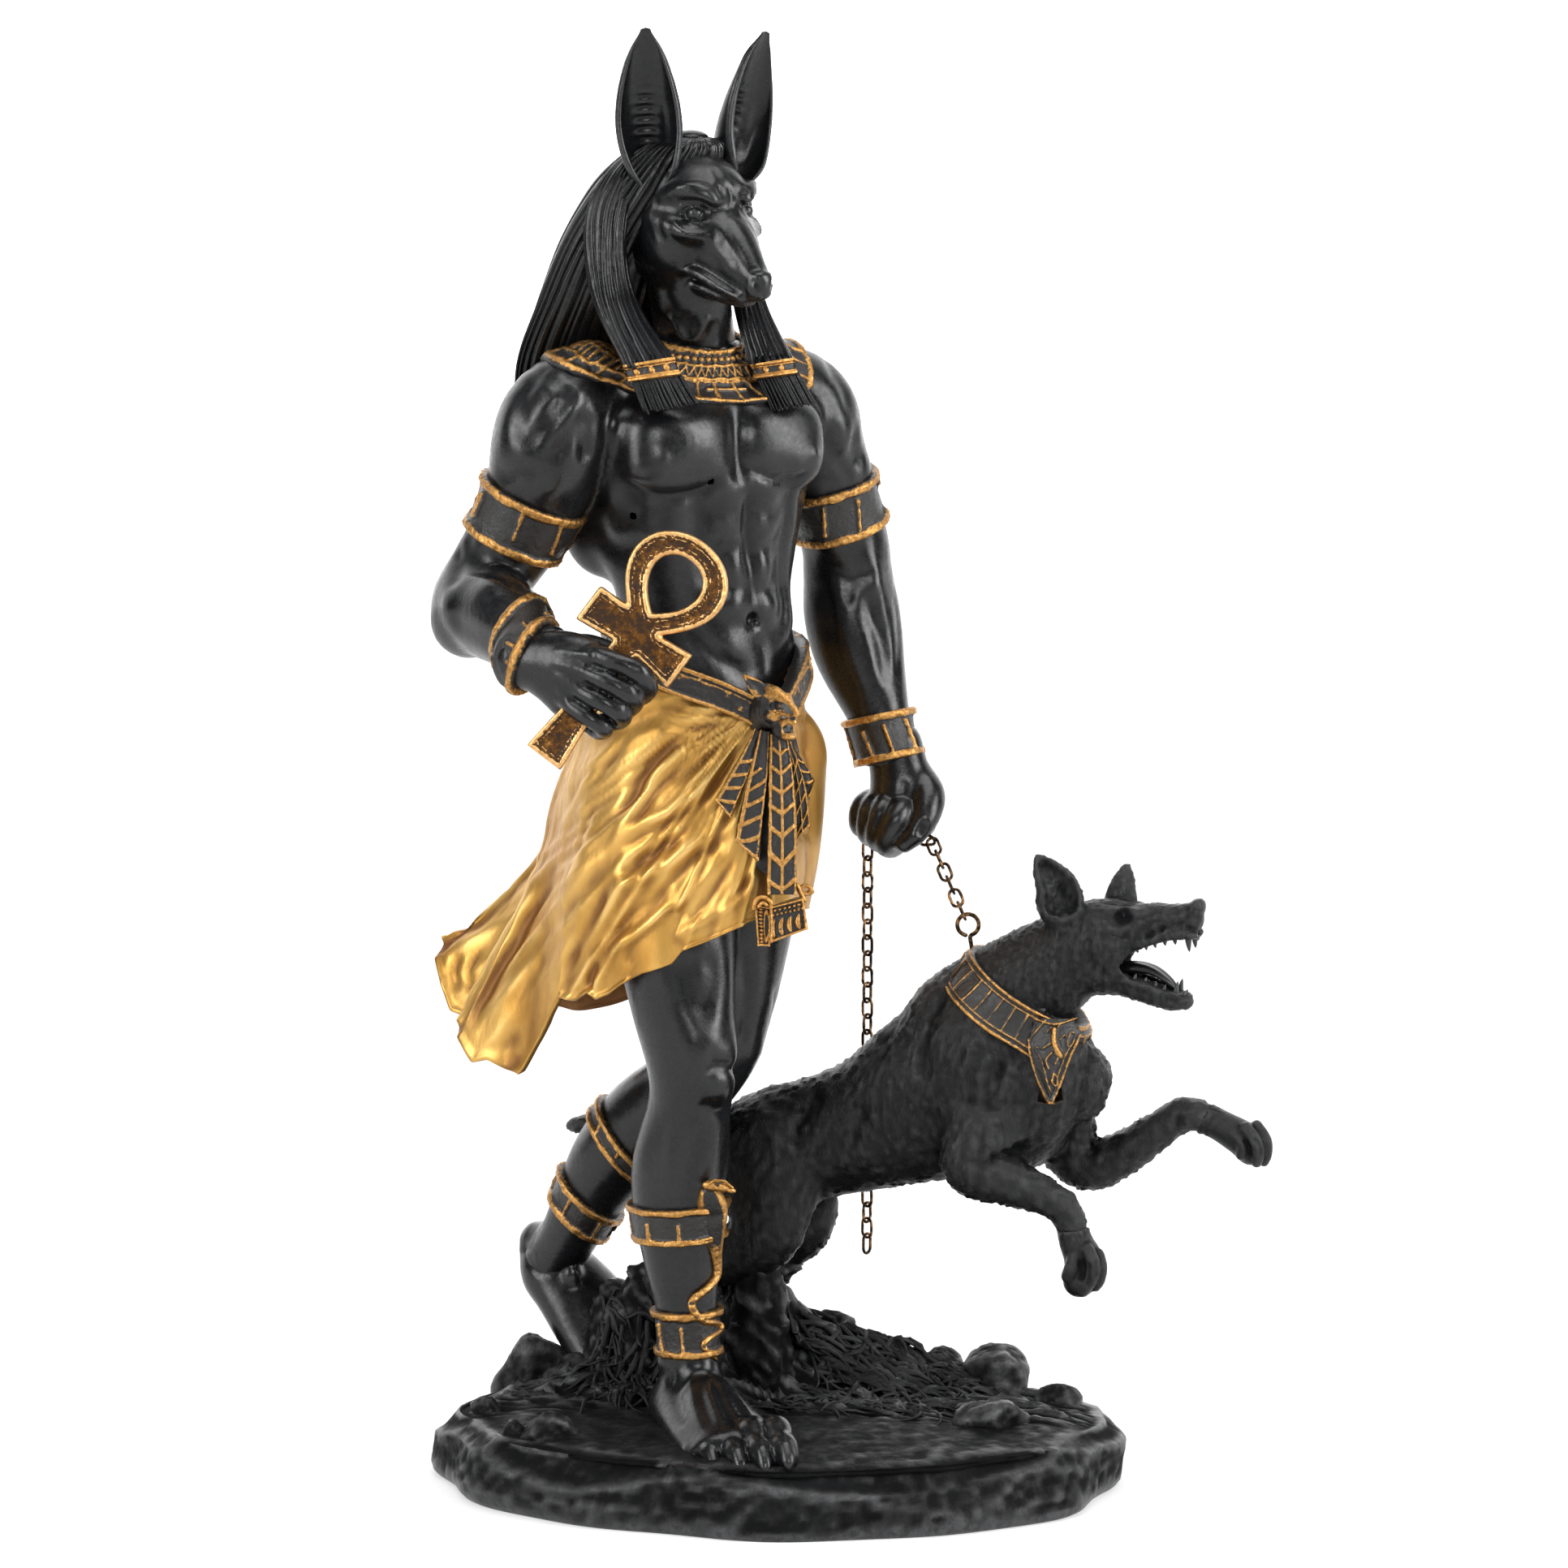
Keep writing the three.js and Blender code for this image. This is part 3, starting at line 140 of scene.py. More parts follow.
# ---------------------------------------------------------------- fields
class Limb:
    """A body along a curve: stations [x, y, z, half-width along side, half-width across, (back half-width)]."""

    DENSE = 8

    def __init__(self, rows, side, power=2.0, cap=1.0):
        rows = [list(r) + ([r[4]] if len(r) == 5 else []) for r in rows]
        self.t = np.array(rows, float)
        self.side = unit(side)
        self.power = power
        self.cap = cap
        n = len(rows) - 1
        s = np.linspace(0, n, self.DENSE * n + 1)
        self.c = spline(self.t, s)
        tg = np.gradient(self.c[:, :3], axis=0)
        self.tg = unit(tg)
        self.step = np.maximum(np.linalg.norm(tg, axis=1), 1e-6)
        self.u = unit(self.side - (self.tg @ self.side)[:, None] * self.tg)
        r = self.t[:, 3:].max()
        self.lo = self.c[:, :3].min(0) - r
        self.hi = self.c[:, :3].max(0) + r

    def locate(self, P):
        """Stations nearest to the points, with their tangents and sides."""
        c = self.c[:, :3].astype(np.float32)
        Q = P.astype(np.float32)
        best = np.full(len(P), 1e18, np.float32)
        arg = np.zeros(len(P), np.int32)
        skip = 2 if len(c) > 20 else 1
        for j in list(range(0, len(c), skip)):
            d = (Q[:, 0] - c[j, 0]) ** 2 + (Q[:, 1] - c[j, 1]) ** 2 + (Q[:, 2] - c[j, 2]) ** 2
            m = d < best
            best[m] = d[m]
            arg[m] = j
        n = len(c) - 1
        x = arg.astype(float)
        for _ in range(2):
            i = np.clip(np.round(x).astype(int), 0, n)
            along = ((P - self.c[i, :3]) * self.tg[i]).sum(1) / self.step[i]
            x = np.clip(i + np.clip(along, -1.5, 1.5), 0, n)
        i = np.minimum(x.astype(int), n - 1)
        f = (x - i)[:, None]
        row = self.c[i] * (1 - f) + self.c[i + 1] * f
        tg = unit(self.tg[i] * (1 - f) + self.tg[i + 1] * f)
        u = unit(self.u[i] * (1 - f) + self.u[i + 1] * f)
        w = np.cross(tg, u)
        return x / self.DENSE, row, tg, u, w, P - row[:, :3]

    def __call__(self, P):
        t, row, tg, u, w, v = self.locate(P)
        x, y, z = (v * u).sum(1), (v * w).sum(1), (v * tg).sum(1)
        a = np.maximum(row[:, 3], 0.05)
        b = np.maximum(np.where(y < 0, row[:, 5], row[:, 4]), 0.05)
        m = self.cap * np.minimum(a, b)
        n = self.power
        r = (np.abs(x / a) ** n + np.abs(y / b) ** n + np.abs(z / m) ** n) ** (1 / n)
        d = np.sqrt((v * v).sum(1))
        return np.where(r > 1e-6, d * (r - 1) / np.maximum(r, 1e-6), -np.minimum(a, b))


class Tower:
    """A body of level sections: rows [z, cx, cy, half-width, front depth, back depth] facing a yaw."""

    def __init__(self, rows, yaw, power=2.3):
        self.t = np.array(sorted(rows), float)
        self.f = vec(math.sin(math.radians(yaw)), -math.cos(math.radians(yaw)))
        self.l = vec(math.cos(math.radians(yaw)), math.sin(math.radians(yaw)))
        self.power = power
        r = self.t[:, 3:].max() + 2
        self.lo = vec(self.t[:, 1].min() - r, self.t[:, 2].min() - r, self.t[0, 0])
        self.hi = vec(self.t[:, 1].max() + r, self.t[:, 2].max() + r, self.t[-1, 0])

    def __call__(self, P):
        z = self.t[:, 0]
        k = np.interp(P[:, 2], z, np.arange(len(z)))
        row = spline(self.t, k)
        v = P[:, :2] - row[:, 1:3]
        x, y = v @ self.l, v @ self.f
        a = row[:, 3]
        b = np.where(y > 0, row[:, 4], row[:, 5])
        n = self.power
        r = (np.abs(x / a) ** n + np.abs(y / b) ** n) ** (1 / n)
        d = np.sqrt((v * v).sum(1))
        d = np.where(r > 1e-6, d * (r - 1) / np.maximum(r, 1e-6), -8.0)
        return np.maximum(d, np.maximum(z[0] - P[:, 2], P[:, 2] - z[-1]))


def turn(yaw=0.0, pitch=0.0, roll=0.0):
    """Rows are the local axes: side, forward, up, after a yaw about Z, a pitch about side and a roll about forward."""
    y, p, r = (math.radians(q) for q in (yaw, pitch, roll))
    rz = np.array([[math.cos(y), -math.sin(y), 0], [math.sin(y), math.cos(y), 0], [0, 0, 1]])
    rx = np.array([[1, 0, 0], [0, math.cos(p), -math.sin(p)], [0, math.sin(p), math.cos(p)]])
    ry = np.array([[math.cos(r), 0, math.sin(r)], [0, 1, 0], [-math.sin(r), 0, math.cos(r)]])
    return (rz @ rx @ ry).T


class Blob:
    """An ellipsoid with its own axes."""

    def __init__(self, c, r, axes=None, power=2.0):
        self.c, self.r, self.power = np.array(c, float), np.array(r, float), power
        self.m = turn() if axes is None else np.array(axes, float)
        e = self.r.max()
        self.lo, self.hi = self.c - e, self.c + e

    def __call__(self, P):
        v = P - self.c
        q = np.abs((v @ self.m.T) / self.r)
        r = (q**self.power).sum(1) ** (1 / self.power)
        d = np.sqrt((v * v).sum(1))
        return np.where(r > 1e-6, d * (r - 1) / np.maximum(r, 1e-6), -self.r.min())


class Crease:
    """Adds height to the field near a curve: above 0 cuts a groove, below 0 raises a ridge."""

    def __init__(self, pts, width, height, ends=1.0, sharp=2.0):
        p = np.array(pts, float)
        n = max(2, 8 * (len(p) - 1) + 1) if len(p) > 1 else 1
        self.p = spline(p, np.linspace(0, len(p) - 1, n)) if len(p) > 1 else p
        self.w, self.h, self.ends, self.sharp = width, height, ends, sharp
        e = 2.6 * width
        self.lo, self.hi = self.p.min(0) - e, self.p.max(0) + e

    def __call__(self, P):
        if len(self.p) == 1:
            d = np.sqrt(((P - self.p[0]) ** 2).sum(1))
            return self.h * np.exp(-((d / self.w) ** self.sharp))
        best = np.full(len(P), 1e18)
        at = np.zeros(len(P))
        n = len(self.p) - 1
        for j in range(n):
            a, b = self.p[j], self.p[j + 1]
            e = b - a
            s = np.clip(((P - a) @ e) / max(e @ e, 1e-12), 0, 1)
            d = ((P - a - s[:, None] * e) ** 2).sum(1)
            m = d < best
            best[m] = d[m]
            at[m] = (j + s[m]) / n
        fade = smooth(0, 0.25, at) * smooth(0, 0.25, 1 - at) if self.ends else 1.0
        return self.h * fade * np.exp(-((np.sqrt(best) / self.w) ** self.sharp))


class Form:
    """A list of fields, joined in order: smooth union, smooth cut, or added height."""

    FAR = 12.0

    def __init__(self):
        self.ops = []

    def add(self, f, k=2.0):
        self.ops.append(("add", f, k))
        return self

    def cut(self, f, k=1.0):
        self.ops.append(("cut", f, k))
        return self

    def crease(self, *a, **kw):
        self.ops.append(("mod", Crease(*a, **kw), 0.0))
        return self

    def box(self):
        f = [o[1] for o in self.ops if o[0] == "add"]
        return np.min([g.lo for g in f], 0) - 1.5, np.max([g.hi for g in f], 0) + 1.5

    @staticmethod
    def _mix(kind, d, e, k):
        if kind == "add":
            h = np.maximum(k - np.abs(d - e), 0) / max(k, 1e-9)
            return np.minimum(d, e) - h * h * k * 0.25
        if kind == "cut":
            e = -e
            h = np.maximum(k - np.abs(d - e), 0) / max(k, 1e-9)
            return np.maximum(d, e) + h * h * k * 0.25
        return d + e

    def at(self, P):
        """The field at loose points."""
        d = np.full(len(P), self.FAR)
        for kind, f, k in self.ops:
            pad = (self.FAR if kind == "add" else k) + 0.01
            m = np.all((P > f.lo - pad) & (P < f.hi + pad), axis=1)
            if m.any():
                d[m] = self._mix(kind, d[m], f(P[m]), k)
        return d

    def normal(self, P, h=0.15):
        g = np.stack(
            [self.at(P + h * e) - self.at(P - h * e) for e in np.eye(3)],
            axis=1,
        )
        return unit(g)

    def outward(self, origin, direction, far=24.0, steps=60, first=False):
        """Along each ray, the last place (or the first) where the field changes sign."""
        s = np.linspace(0, far, steps)
        P = origin[:, None, :] + direction[:, None, :] * s[None, :, None]
        d = self.at(P.reshape(-1, 3)).reshape(len(origin), steps)
        inside = d < 0
        out = np.zeros(len(origin))
        cross = inside[:, :-1] & ~inside[:, 1:]
        j = np.argmax(cross, axis=1) if first else steps - 2 - np.argmax(cross[:, ::-1], axis=1)
        i = np.arange(len(origin))
        a, b = d[i, j], d[i, j + 1]
        out = s[j] + (s[j + 1] - s[j]) * np.clip(a / np.where(np.abs(a - b) < 1e-9, 1, a - b), 0, 1)
        return np.where(cross.any(axis=1), out, 0.0)

    def mesh(self, cell, keep=None, lo=None, hi=None):
        """Surface net of the field: vertices and quads."""
        cell = cell * COARSE
        a, b = self.box()
        lo = a if lo is None else np.maximum(a, lo)
        hi = b if hi is None else np.minimum(b, hi)
        n = 8
        size = n * cell
        nb = np.ceil((hi - lo) / size).astype(int) + 1
        gi = np.stack(np.meshgrid(*[np.arange(k) for k in nb], indexing="ij"), -1).reshape(-1, 3)
        centre = lo + (gi + 0.5) * size
        rough = self.at(centre)
        gi = gi[np.abs(rough) < size * 1.05 + 1.7]
        corner = np.stack(np.meshgrid(*[np.arange(n + 1)] * 3, indexing="ij"), -1).reshape(-1, 3)
        base = gi * n
        P = lo + (base[:, None, :] + corner[None]) * cell
        D = np.full(P.shape[:2], self.FAR)
        blo, bhi = lo + gi * size, lo + (gi + 1) * size
        for kind, f, k in self.ops:
            pad = (min(self.FAR, k + 3.0) if kind == "add" else k) + 0.01
            m = np.nonzero(np.all((bhi > f.lo - pad) & (blo < f.hi + pad), axis=1))[0]
            if len(m):
                Q = P[m].reshape(-1, 3)
                D[m] = self._mix(kind, D[m], f(Q).reshape(len(m), -1), k)
        D = D.reshape(-1, n + 1, n + 1, n + 1)
        if keep is not None:
            D = np.maximum(D, keep(P.reshape(-1, 3)).reshape(D.shape))
        S = D < 0
        C = [(x, y, z) for x in (0, 1) for y in (0, 1) for z in (0, 1)]
        sub = lambda A, c: A[:, c[0] : n + c[0], c[1] : n + c[1], c[2] : n + c[2]]
        cnt = sum(sub(S, c).astype(np.int8) for c in C)
        act = np.nonzero((cnt > 0) & (cnt < 8))
        cellid = base[act[0]] + np.stack(act[1:], 1)
        vals = np.stack([sub(D, c)[act] for c in C], 1)
        pos = np.zeros((len(vals), 3))
        num = np.zeros(len(vals))
        for i in range(8):
            for j in range(i + 1, 8):
                ca, cb = np.array(C[i]), np.array(C[j])
                if np.abs(ca - cb).sum() != 1:
                    continue
                va, vb = vals[:, i], vals[:, j]
                x = (va < 0) != (vb < 0)
                t = np.where(x, va / np.where(x, va - vb, 1), 0)
                pos += x[:, None] * (ca + (cb - ca) * t[:, None])
                num += x
        V = lo + (cellid + pos / num[:, None]) * cell
        dim = nb * n + 2
        key = (cellid[:, 0] * dim[1] + cellid[:, 1]) * dim[2] + cellid[:, 2]
        order = np.argsort(key)
        skey = key[order]
        faces = []
        for ax in range(3):
            e = np.eye(3, dtype=int)[ax]
            A = sub(S, (0, 0, 0))
            B = sub(S, tuple(e))
            idx = np.nonzero(A != B)
            g = base[idx[0]] + np.stack(idx[1:], 1)
            flip = A[idx]
            o1, o2 = np.eye(3, dtype=int)[(ax + 1) % 3], np.eye(3, dtype=int)[(ax + 2) % 3]
            quad = []
            ok = np.ones(len(g), bool)
            for q in (-o1 - o2, -o2, 0 * o1, -o1):
                c = g + q
                kk = (c[:, 0] * dim[1] + c[:, 1]) * dim[2] + c[:, 2]
                at = np.searchsorted(skey, kk)
                at = np.minimum(at, len(skey) - 1)
                ok &= (skey[at] == kk) & np.all(c >= 0, axis=1)
                quad.append(order[at])
            quad = np.stack(quad, 1)[ok]
            flip = flip[ok]
            quad[~flip] = quad[~flip][:, ::-1]
            faces.append(quad)
        return V, np.concatenate(faces)


# ---------------------------------------------------------------- meshes
def vnormals(V, F):
    """Area-weighted vertex normals of triangles or quads."""
    a, b, c = V[F[:, 0]], V[F[:, 1]], V[F[:, 2]]
    if F.shape[1] == 4:
        n = np.cross(V[F[:, 2]] - V[F[:, 0]], V[F[:, 3]] - V[F[:, 1]])
    else:
        n = np.cross(b - a, c - a)
    N = np.zeros_like(V)
    for k in range(F.shape[1]):
        for ax in range(3):
            N[:, ax] += np.bincount(F[:, k], n[:, ax], len(V))
    return unit(N)


def neighbours(V, F):
    """Mean of each vertex's neighbours."""
    S = np.zeros_like(V)
    c = np.zeros(len(V))
    k = F.shape[1]
    for i in range(k):
        a, b = F[:, i], F[:, (i + 1) % k]
        for ax in range(3):
            S[:, ax] += np.bincount(a, V[b, ax], len(V)) + np.bincount(b, V[a, ax], len(V))
        c += np.bincount(a, minlength=len(V)) + np.bincount(b, minlength=len(V))
    return S / np.maximum(c, 1)[:, None]


def relax(V, F, times=1, amount=0.5):
    for _ in range(times):
        V = V + amount * (neighbours(V, F) - V)
    return V


def hollow(V, F, rounds=2):
    """How far each vertex lies below (above 0) or above (below 0) its surroundings, blurred."""
    N = vnormals(V, F)
    L = ((neighbours(V, F) - V) * N).sum(1)
    for _ in range(rounds):
        S = np.zeros(len(V))
        c = np.zeros(len(V))
        k = F.shape[1]
        for i in range(k):
            a, b = F[:, i], F[:, (i + 1) % k]
            S += np.bincount(a, L[b], len(V)) + np.bincount(b, L[a], len(V))
            c += np.bincount(a, minlength=len(V)) + np.bincount(b, minlength=len(V))
        L = 0.5 * L + 0.5 * S / np.maximum(c, 1)
    return L


TOTAL = {"tris": 0}


def piece(name, V, F, mat, slot, node="statue", attrs=None, flat=False):
    """A closed mesh in millimetres becomes a piece of the scene."""
    me = bpy.data.meshes.new(name)
    F = F if isinstance(F, list) else [F]
    F = [f for f in F if len(f)]
    loops = np.concatenate([f.reshape(-1) for f in F]).astype(np.int32)
    sizes = np.concatenate([np.full(len(f), f.shape[1]) for f in F]).astype(np.int32)
    me.vertices.add(len(V))
    me.vertices.foreach_set("co", (np.asarray(V) * MM).astype(np.float32).reshape(-1))
    me.loops.add(len(loops))
    me.loops.foreach_set("vertex_index", loops)
    me.polygons.add(len(sizes))
    me.polygons.foreach_set("loop_start", np.concatenate([[0], np.cumsum(sizes)[:-1]]).astype(np.int32))
    me.polygons.foreach_set("loop_total", sizes)
    me.polygons.foreach_set("use_smooth", np.full(len(sizes), not flat))
    me.update(calc_edges=True)
    for k, a in (attrs or {}).items():
        at = me.attributes.new(k, "FLOAT", "POINT")
        at.data.foreach_set("value", np.asarray(a, np.float32))
    me.materials.append(mat)
    ob = bpy.data.objects.new(name, me)
    bpy.context.scene.collection.objects.link(ob)
    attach(ob, "root")
    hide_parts(node)
    n = int((sizes - 2).sum())
    TOTAL["tris"] += n
    print("PIECE", name, n)
    return ob


def merged(parts):
    """Several (V, F) meshes as one, F being quads or triangles."""
    V, Q, T, at = [], [], [], 0
    for v, f in parts:
        V.append(v)
        for g in f if isinstance(f, list) else [f]:
            if len(g):
                (Q if g.shape[1] == 4 else T).append(g + at)
        at += len(v)
    return np.concatenate(V), [np.concatenate(x) for x in (Q, T) if x]


def grid_faces(rows, cols, ring=True, flip=False):
    i, j = np.meshgrid(np.arange(rows - 1), np.arange(cols if ring else cols - 1), indexing="ij")
    a = i * cols + j
    b = i * cols + (j + 1) % cols
    q = np.stack([a, b, b + cols, a + cols], -1).reshape(-1, 4)
    return q[:, ::-1] if flip else q


def tube(pts, r, segs=6, side=None, ring=False, flatten=1.0, power=2.0):
    """A round or oval wire along points, closed on itself or with round ends. r is one radius or one per point."""
    p = np.asarray(pts, float)
    n = len(p)
    r = np.broadcast_to(np.asarray(r, float), (n,)).copy()
    if ring:
        t = unit(np.roll(p, -1, 0) - np.roll(p, 1, 0))
    else:
        t = unit(np.gradient(p, axis=0))
    if side is None:
        side = np.zeros((n, 3))
        ref = vec(0, 0, 1) if abs(t[0] @ vec(0, 0, 1)) < 0.9 else vec(1, 0, 0)
        for i in range(n):
            s = ref - (ref @ t[i]) * t[i]
            ref = s / max(np.linalg.norm(s), 1e-9)
            side[i] = ref
    else:
        side = np.broadcast_to(np.asarray(side, float), (n, 3))
        side = unit(side - (side * t).sum(1)[:, None] * t)
    w = np.cross(t, side)
    q = np.linspace(0, 2 * math.pi, segs, endpoint=False)
    c, s = np.cos(q), np.sin(q)
    if power != 2.0:
        k = (np.abs(c) ** power + np.abs(s) ** power) ** (-1 / power)
        c, s = c * k, s * k
    ringpts = lambda P, R, sd, ww: P[:, None] + R[:, None, None] * (
        sd[:, None] * c[None, :, None] * flatten + ww[:, None] * s[None, :, None]
    )
    if ring:
        V = ringpts(p, r, side, w).reshape(-1, 3)
        i, j = np.meshgrid(np.arange(n), np.arange(segs), indexing="ij")
        k = (i + 1) % n
        F = np.stack([i * segs + j, i * segs + (j + 1) % segs, k * segs + (j + 1) % segs, k * segs + j], -1)
        return V, F.reshape(-1, 4)
    # round ends: one smaller ring beyond each end, then a point
    P = np.concatenate([p[:1] - t[:1] * r[0] * 0.6, p, p[-1:] + t[-1:] * r[-1] * 0.6])
    R = np.concatenate([r[:1] * 0.72, r, r[-1:] * 0.72])
    sd = np.concatenate([side[:1], side, side[-1:]])
    ww = np.concatenate([w[:1], w, w[-1:]])
    V = ringpts(P, R, sd, ww).reshape(-1, 3)
    F = grid_faces(n + 2, segs)
    a, b = len(V), len(V) + 1
    V = np.concatenate([V, p[:1] - t[:1] * r[0] * 0.9, p[-1:] + t[-1:] * r[-1] * 0.9])
    j = np.arange(segs)
    o = (n + 1) * segs
    T = np.concatenate(
        [
            np.stack([np.full(segs, a), (j + 1) % segs, j], 1),
            np.stack([np.full(segs, b), o + j, o + (j + 1) % segs], 1),
        ]
    )
    return V, [F, T]


def ball(c, r, axes=None, nu=10, nv=7):
    """A closed ellipsoid."""
    th = np.linspace(0, math.pi, nv)[1:-1]
    ph = np.linspace(0, 2 * math.pi, nu, endpoint=False)
    g = np.stack(
        [
            np.sin(th)[:, None] * np.cos(ph)[None],
            np.sin(th)[:, None] * np.sin(ph)[None],
            np.cos(th)[:, None] * np.ones(nu)[None],
        ],
        -1,
    ).reshape(-1, 3)
    g = np.concatenate([g, [[0, 0, 1], [0, 0, -1]]])
    m = np.eye(3) if axes is None else np.array(axes, float)
    V = np.array(c, float) + (g * np.array(r, float)) @ m
    k = nv - 2
    F = grid_faces(k, nu, flip=True)
    j = np.arange(nu)
    o = (k - 1) * nu
    T = np.concatenate(
        [
            np.stack([np.full(nu, k * nu), j, (j + 1) % nu], 1),
            np.stack([np.full(nu, k * nu + 1), o + (j + 1) % nu, o + j], 1),
        ]
    )
    return V, [F, T]


def slab(corners, normal, thick):
    """A flat plate with the corners given in order, raised along a normal."""
    c = np.asarray(corners, float)
    n = len(c)
    d = unit(normal) * thick
    area = np.cross(c[1] - c[0], c[2] - c[0]) @ d
    if area < 0:
        c = c[::-1]
    V = np.concatenate([c, c + d])
    j = np.arange(n)
    k = (j + 1) % n
    Q = np.stack([j, k, k + n, j + n], 1)
    T = np.concatenate(
        [np.stack([np.full(n - 2, n), n + j[1:-1], n + j[2:]], 1), np.stack([np.full(n - 2, 0), j[2:], j[1:-1]], 1)]
    )
    return V, [Q, T]


def loft(rows, side, cols, height=None, steps=None, power=2.0, axis=None, close=3):
    """A closed skin through stations, with an added height f(turn, along, points) and rounded ends."""
    rows = [list(r) + ([r[4]] if len(r) == 5 else []) for r in rows]
    tab = np.array(rows, float)
    steps = steps or 4 * len(rows)
    t = np.linspace(0, len(rows) - 1, steps)
    row = spline(tab, t)
    tg = unit(np.gradient(row[:, :3], axis=0)) if axis is None else np.tile(unit(axis), (steps, 1))
    u = unit(np.asarray(side, float) - (tg @ np.asarray(side, float))[:, None] * tg)
    w = np.cross(tg, u)
    q = np.linspace(0, 2 * math.pi, cols, endpoint=False)
    c, s = np.cos(q), np.sin(q)
    k = (np.abs(c) ** power + np.abs(s) ** power) ** (-1 / power)
    c, s = c * k, s * k
    across = np.where(s[None] < 0, row[:, 5:6], row[:, 4:5])
    V = (
        row[:, None, :3]
        + u[:, None] * (row[:, 3:4] * c[None])[..., None]
        + w[:, None] * (across * s[None])[..., None]
    )
    if height is not None:
        n = unit(u[:, None] * (c[None] / np.maximum(row[:, 3:4], 0.1))[..., None] + w[:, None] * (s[None] / np.maximum(across, 0.1))[..., None])
        T, Q = np.meshgrid(t / (len(rows) - 1), q / (2 * math.pi), indexing="ij")
        h = height(Q, T, V.reshape(-1, 3)).reshape(T.shape) if height.__code__.co_argcount == 3 else height(Q, T)
        V = V + n * h[..., None]
    # rounded ends
    ends = []
    for end, sgn in ((0, -1), (steps - 1, 1)):
        ring = V[end]
        mid = ring.mean(0)
        r = min(row[end, 3], row[end, 4])
        ext = [
            mid + (ring - mid) * math.cos(a) + sgn * tg[end] * r * math.sin(a)
            for a in np.linspace(0, math.pi / 2, close + 1)[1:-1]
        ]
        ends.append((ext, mid + sgn * tg[end] * r))
    V = np.concatenate([np.array(ends[0][0][::-1]).reshape(-1, cols, 3), V, np.array(ends[1][0]).reshape(-1, cols, 3)])
    nrow = len(V)
    V = V.reshape(-1, 3)
    F = grid_faces(nrow, cols)
    a, b = len(V), len(V) + 1
    V = np.concatenate([V, [ends[0][1]], [ends[1][1]]])
    j = np.arange(cols)
    o = (nrow - 1) * cols
    Tt = np.concatenate(
        [
            np.stack([np.full(cols, a), (j + 1) % cols, j], 1),
            np.stack([np.full(cols, b), o + j, o + (j + 1) % cols], 1),
        ]
    )
    return V, [F, Tt]


def outside(V, F):
    """The same mesh with its faces turned out."""
    Fs = F if isinstance(F, list) else [F]
    vol = 0.0
    for f in Fs:
        for k in range(1, f.shape[1] - 1):
            vol += np.einsum("ij,ij->i", V[f[:, 0]], np.cross(V[f[:, k]], V[f[:, k + 1]])).sum()
    Fs = [f[:, ::-1] for f in Fs] if vol < 0 else Fs
    return V, Fs


BODY_YAW = 32.0  # degrees the trunk turns to the viewer's right
HEAD_YAW = 37.0
HOUND_YAW = 71.0


# ---------------------------------------------------------------- the front view
# Places on the figure are read in the front view, on a frame 1932 wide, and laid on a form along the line of sight.
VIEW_TILT = math.radians(8.5)
VIEW_DIST = 1300.0
VIEW_AT = vec(0.47, 0.0, 136.3)
VIEW_F = 8400.0
VIEW_AHEAD = vec(0, math.cos(VIEW_TILT), -math.sin(VIEW_TILT))
VIEW_UP = vec(0, math.sin(VIEW_TILT), math.cos(VIEW_TILT))
VIEW_FROM = VIEW_AT - VIEW_DIST * VIEW_AHEAD


def window(x0, y0, scale):
    """A magnified window of the front view: its points in the frame."""
    return lambda pts: [(x0 + x / scale, y0 + y / scale) for x, y in pts]


W_HEAD = window(500, 0, 2.613)
W_CHEST = window(600, 380, 3.136)
W_HAND = window(500, 560, 3.136)
W_ARM = window(900, 500, 2.613)
W_KILT = window(520, 780, 2.8)


def sight(uv):
    uv = np.asarray(uv, float).reshape(-1, 2)
    return unit(
        VIEW_AHEAD * VIEW_F
        + np.outer(uv[:, 0] - 966, vec(1, 0, 0))
        + np.outer(966 - uv[:, 1], VIEW_UP)
    )


def at_depth(uv, y):
    """Points seen at uv whose Y is y."""
    d = sight(uv)
    return VIEW_FROM + d * ((y - VIEW_FROM[1]) / d[:, 1])[:, None]


def seen(form, uv, near=1215.0, far=1385.0, sink=0.0):
    """The first place of a form along each line of sight, or the closest one where it is missed."""
    d = sight(uv)
    s = np.full(len(d), near)
    best, at = np.full(len(d), 1e9), s.copy()
    live = np.ones(len(d), bool)
    for _ in range(90):
        i = np.nonzero(live)[0]
        if not len(i):
            break
        D = form.at(VIEW_FROM + d[i] * s[i, None])
        m = D < best[i]
        best[i[m]], at[i[m]] = D[m], s[i[m]]
        live[i[(D < 0.03) | (s[i] > far)]] = False
        s[i] += np.clip(D * 0.7, 0.05, 9.0)
    return VIEW_FROM + d * (at + sink)[:, None]


class Swell:
    """Adds height to the field inside an oval: above 0 raises the surface, below 0 sinks it."""

    def __init__(self, c, r, axes, height, sharp=2.0):
        self.c, self.r = np.array(c, float), np.array(r, float)
        self.m = np.array(axes, float)
        self.h, self.sharp = height, sharp
        e = self.r.max() * 1.9
        self.lo, self.hi = self.c - e, self.c + e

    def __call__(self, P):
        q = ((((P - self.c) @ self.m.T) / self.r) ** 2).sum(1)
        return -self.h * np.exp(-(q ** (self.sharp / 2)))


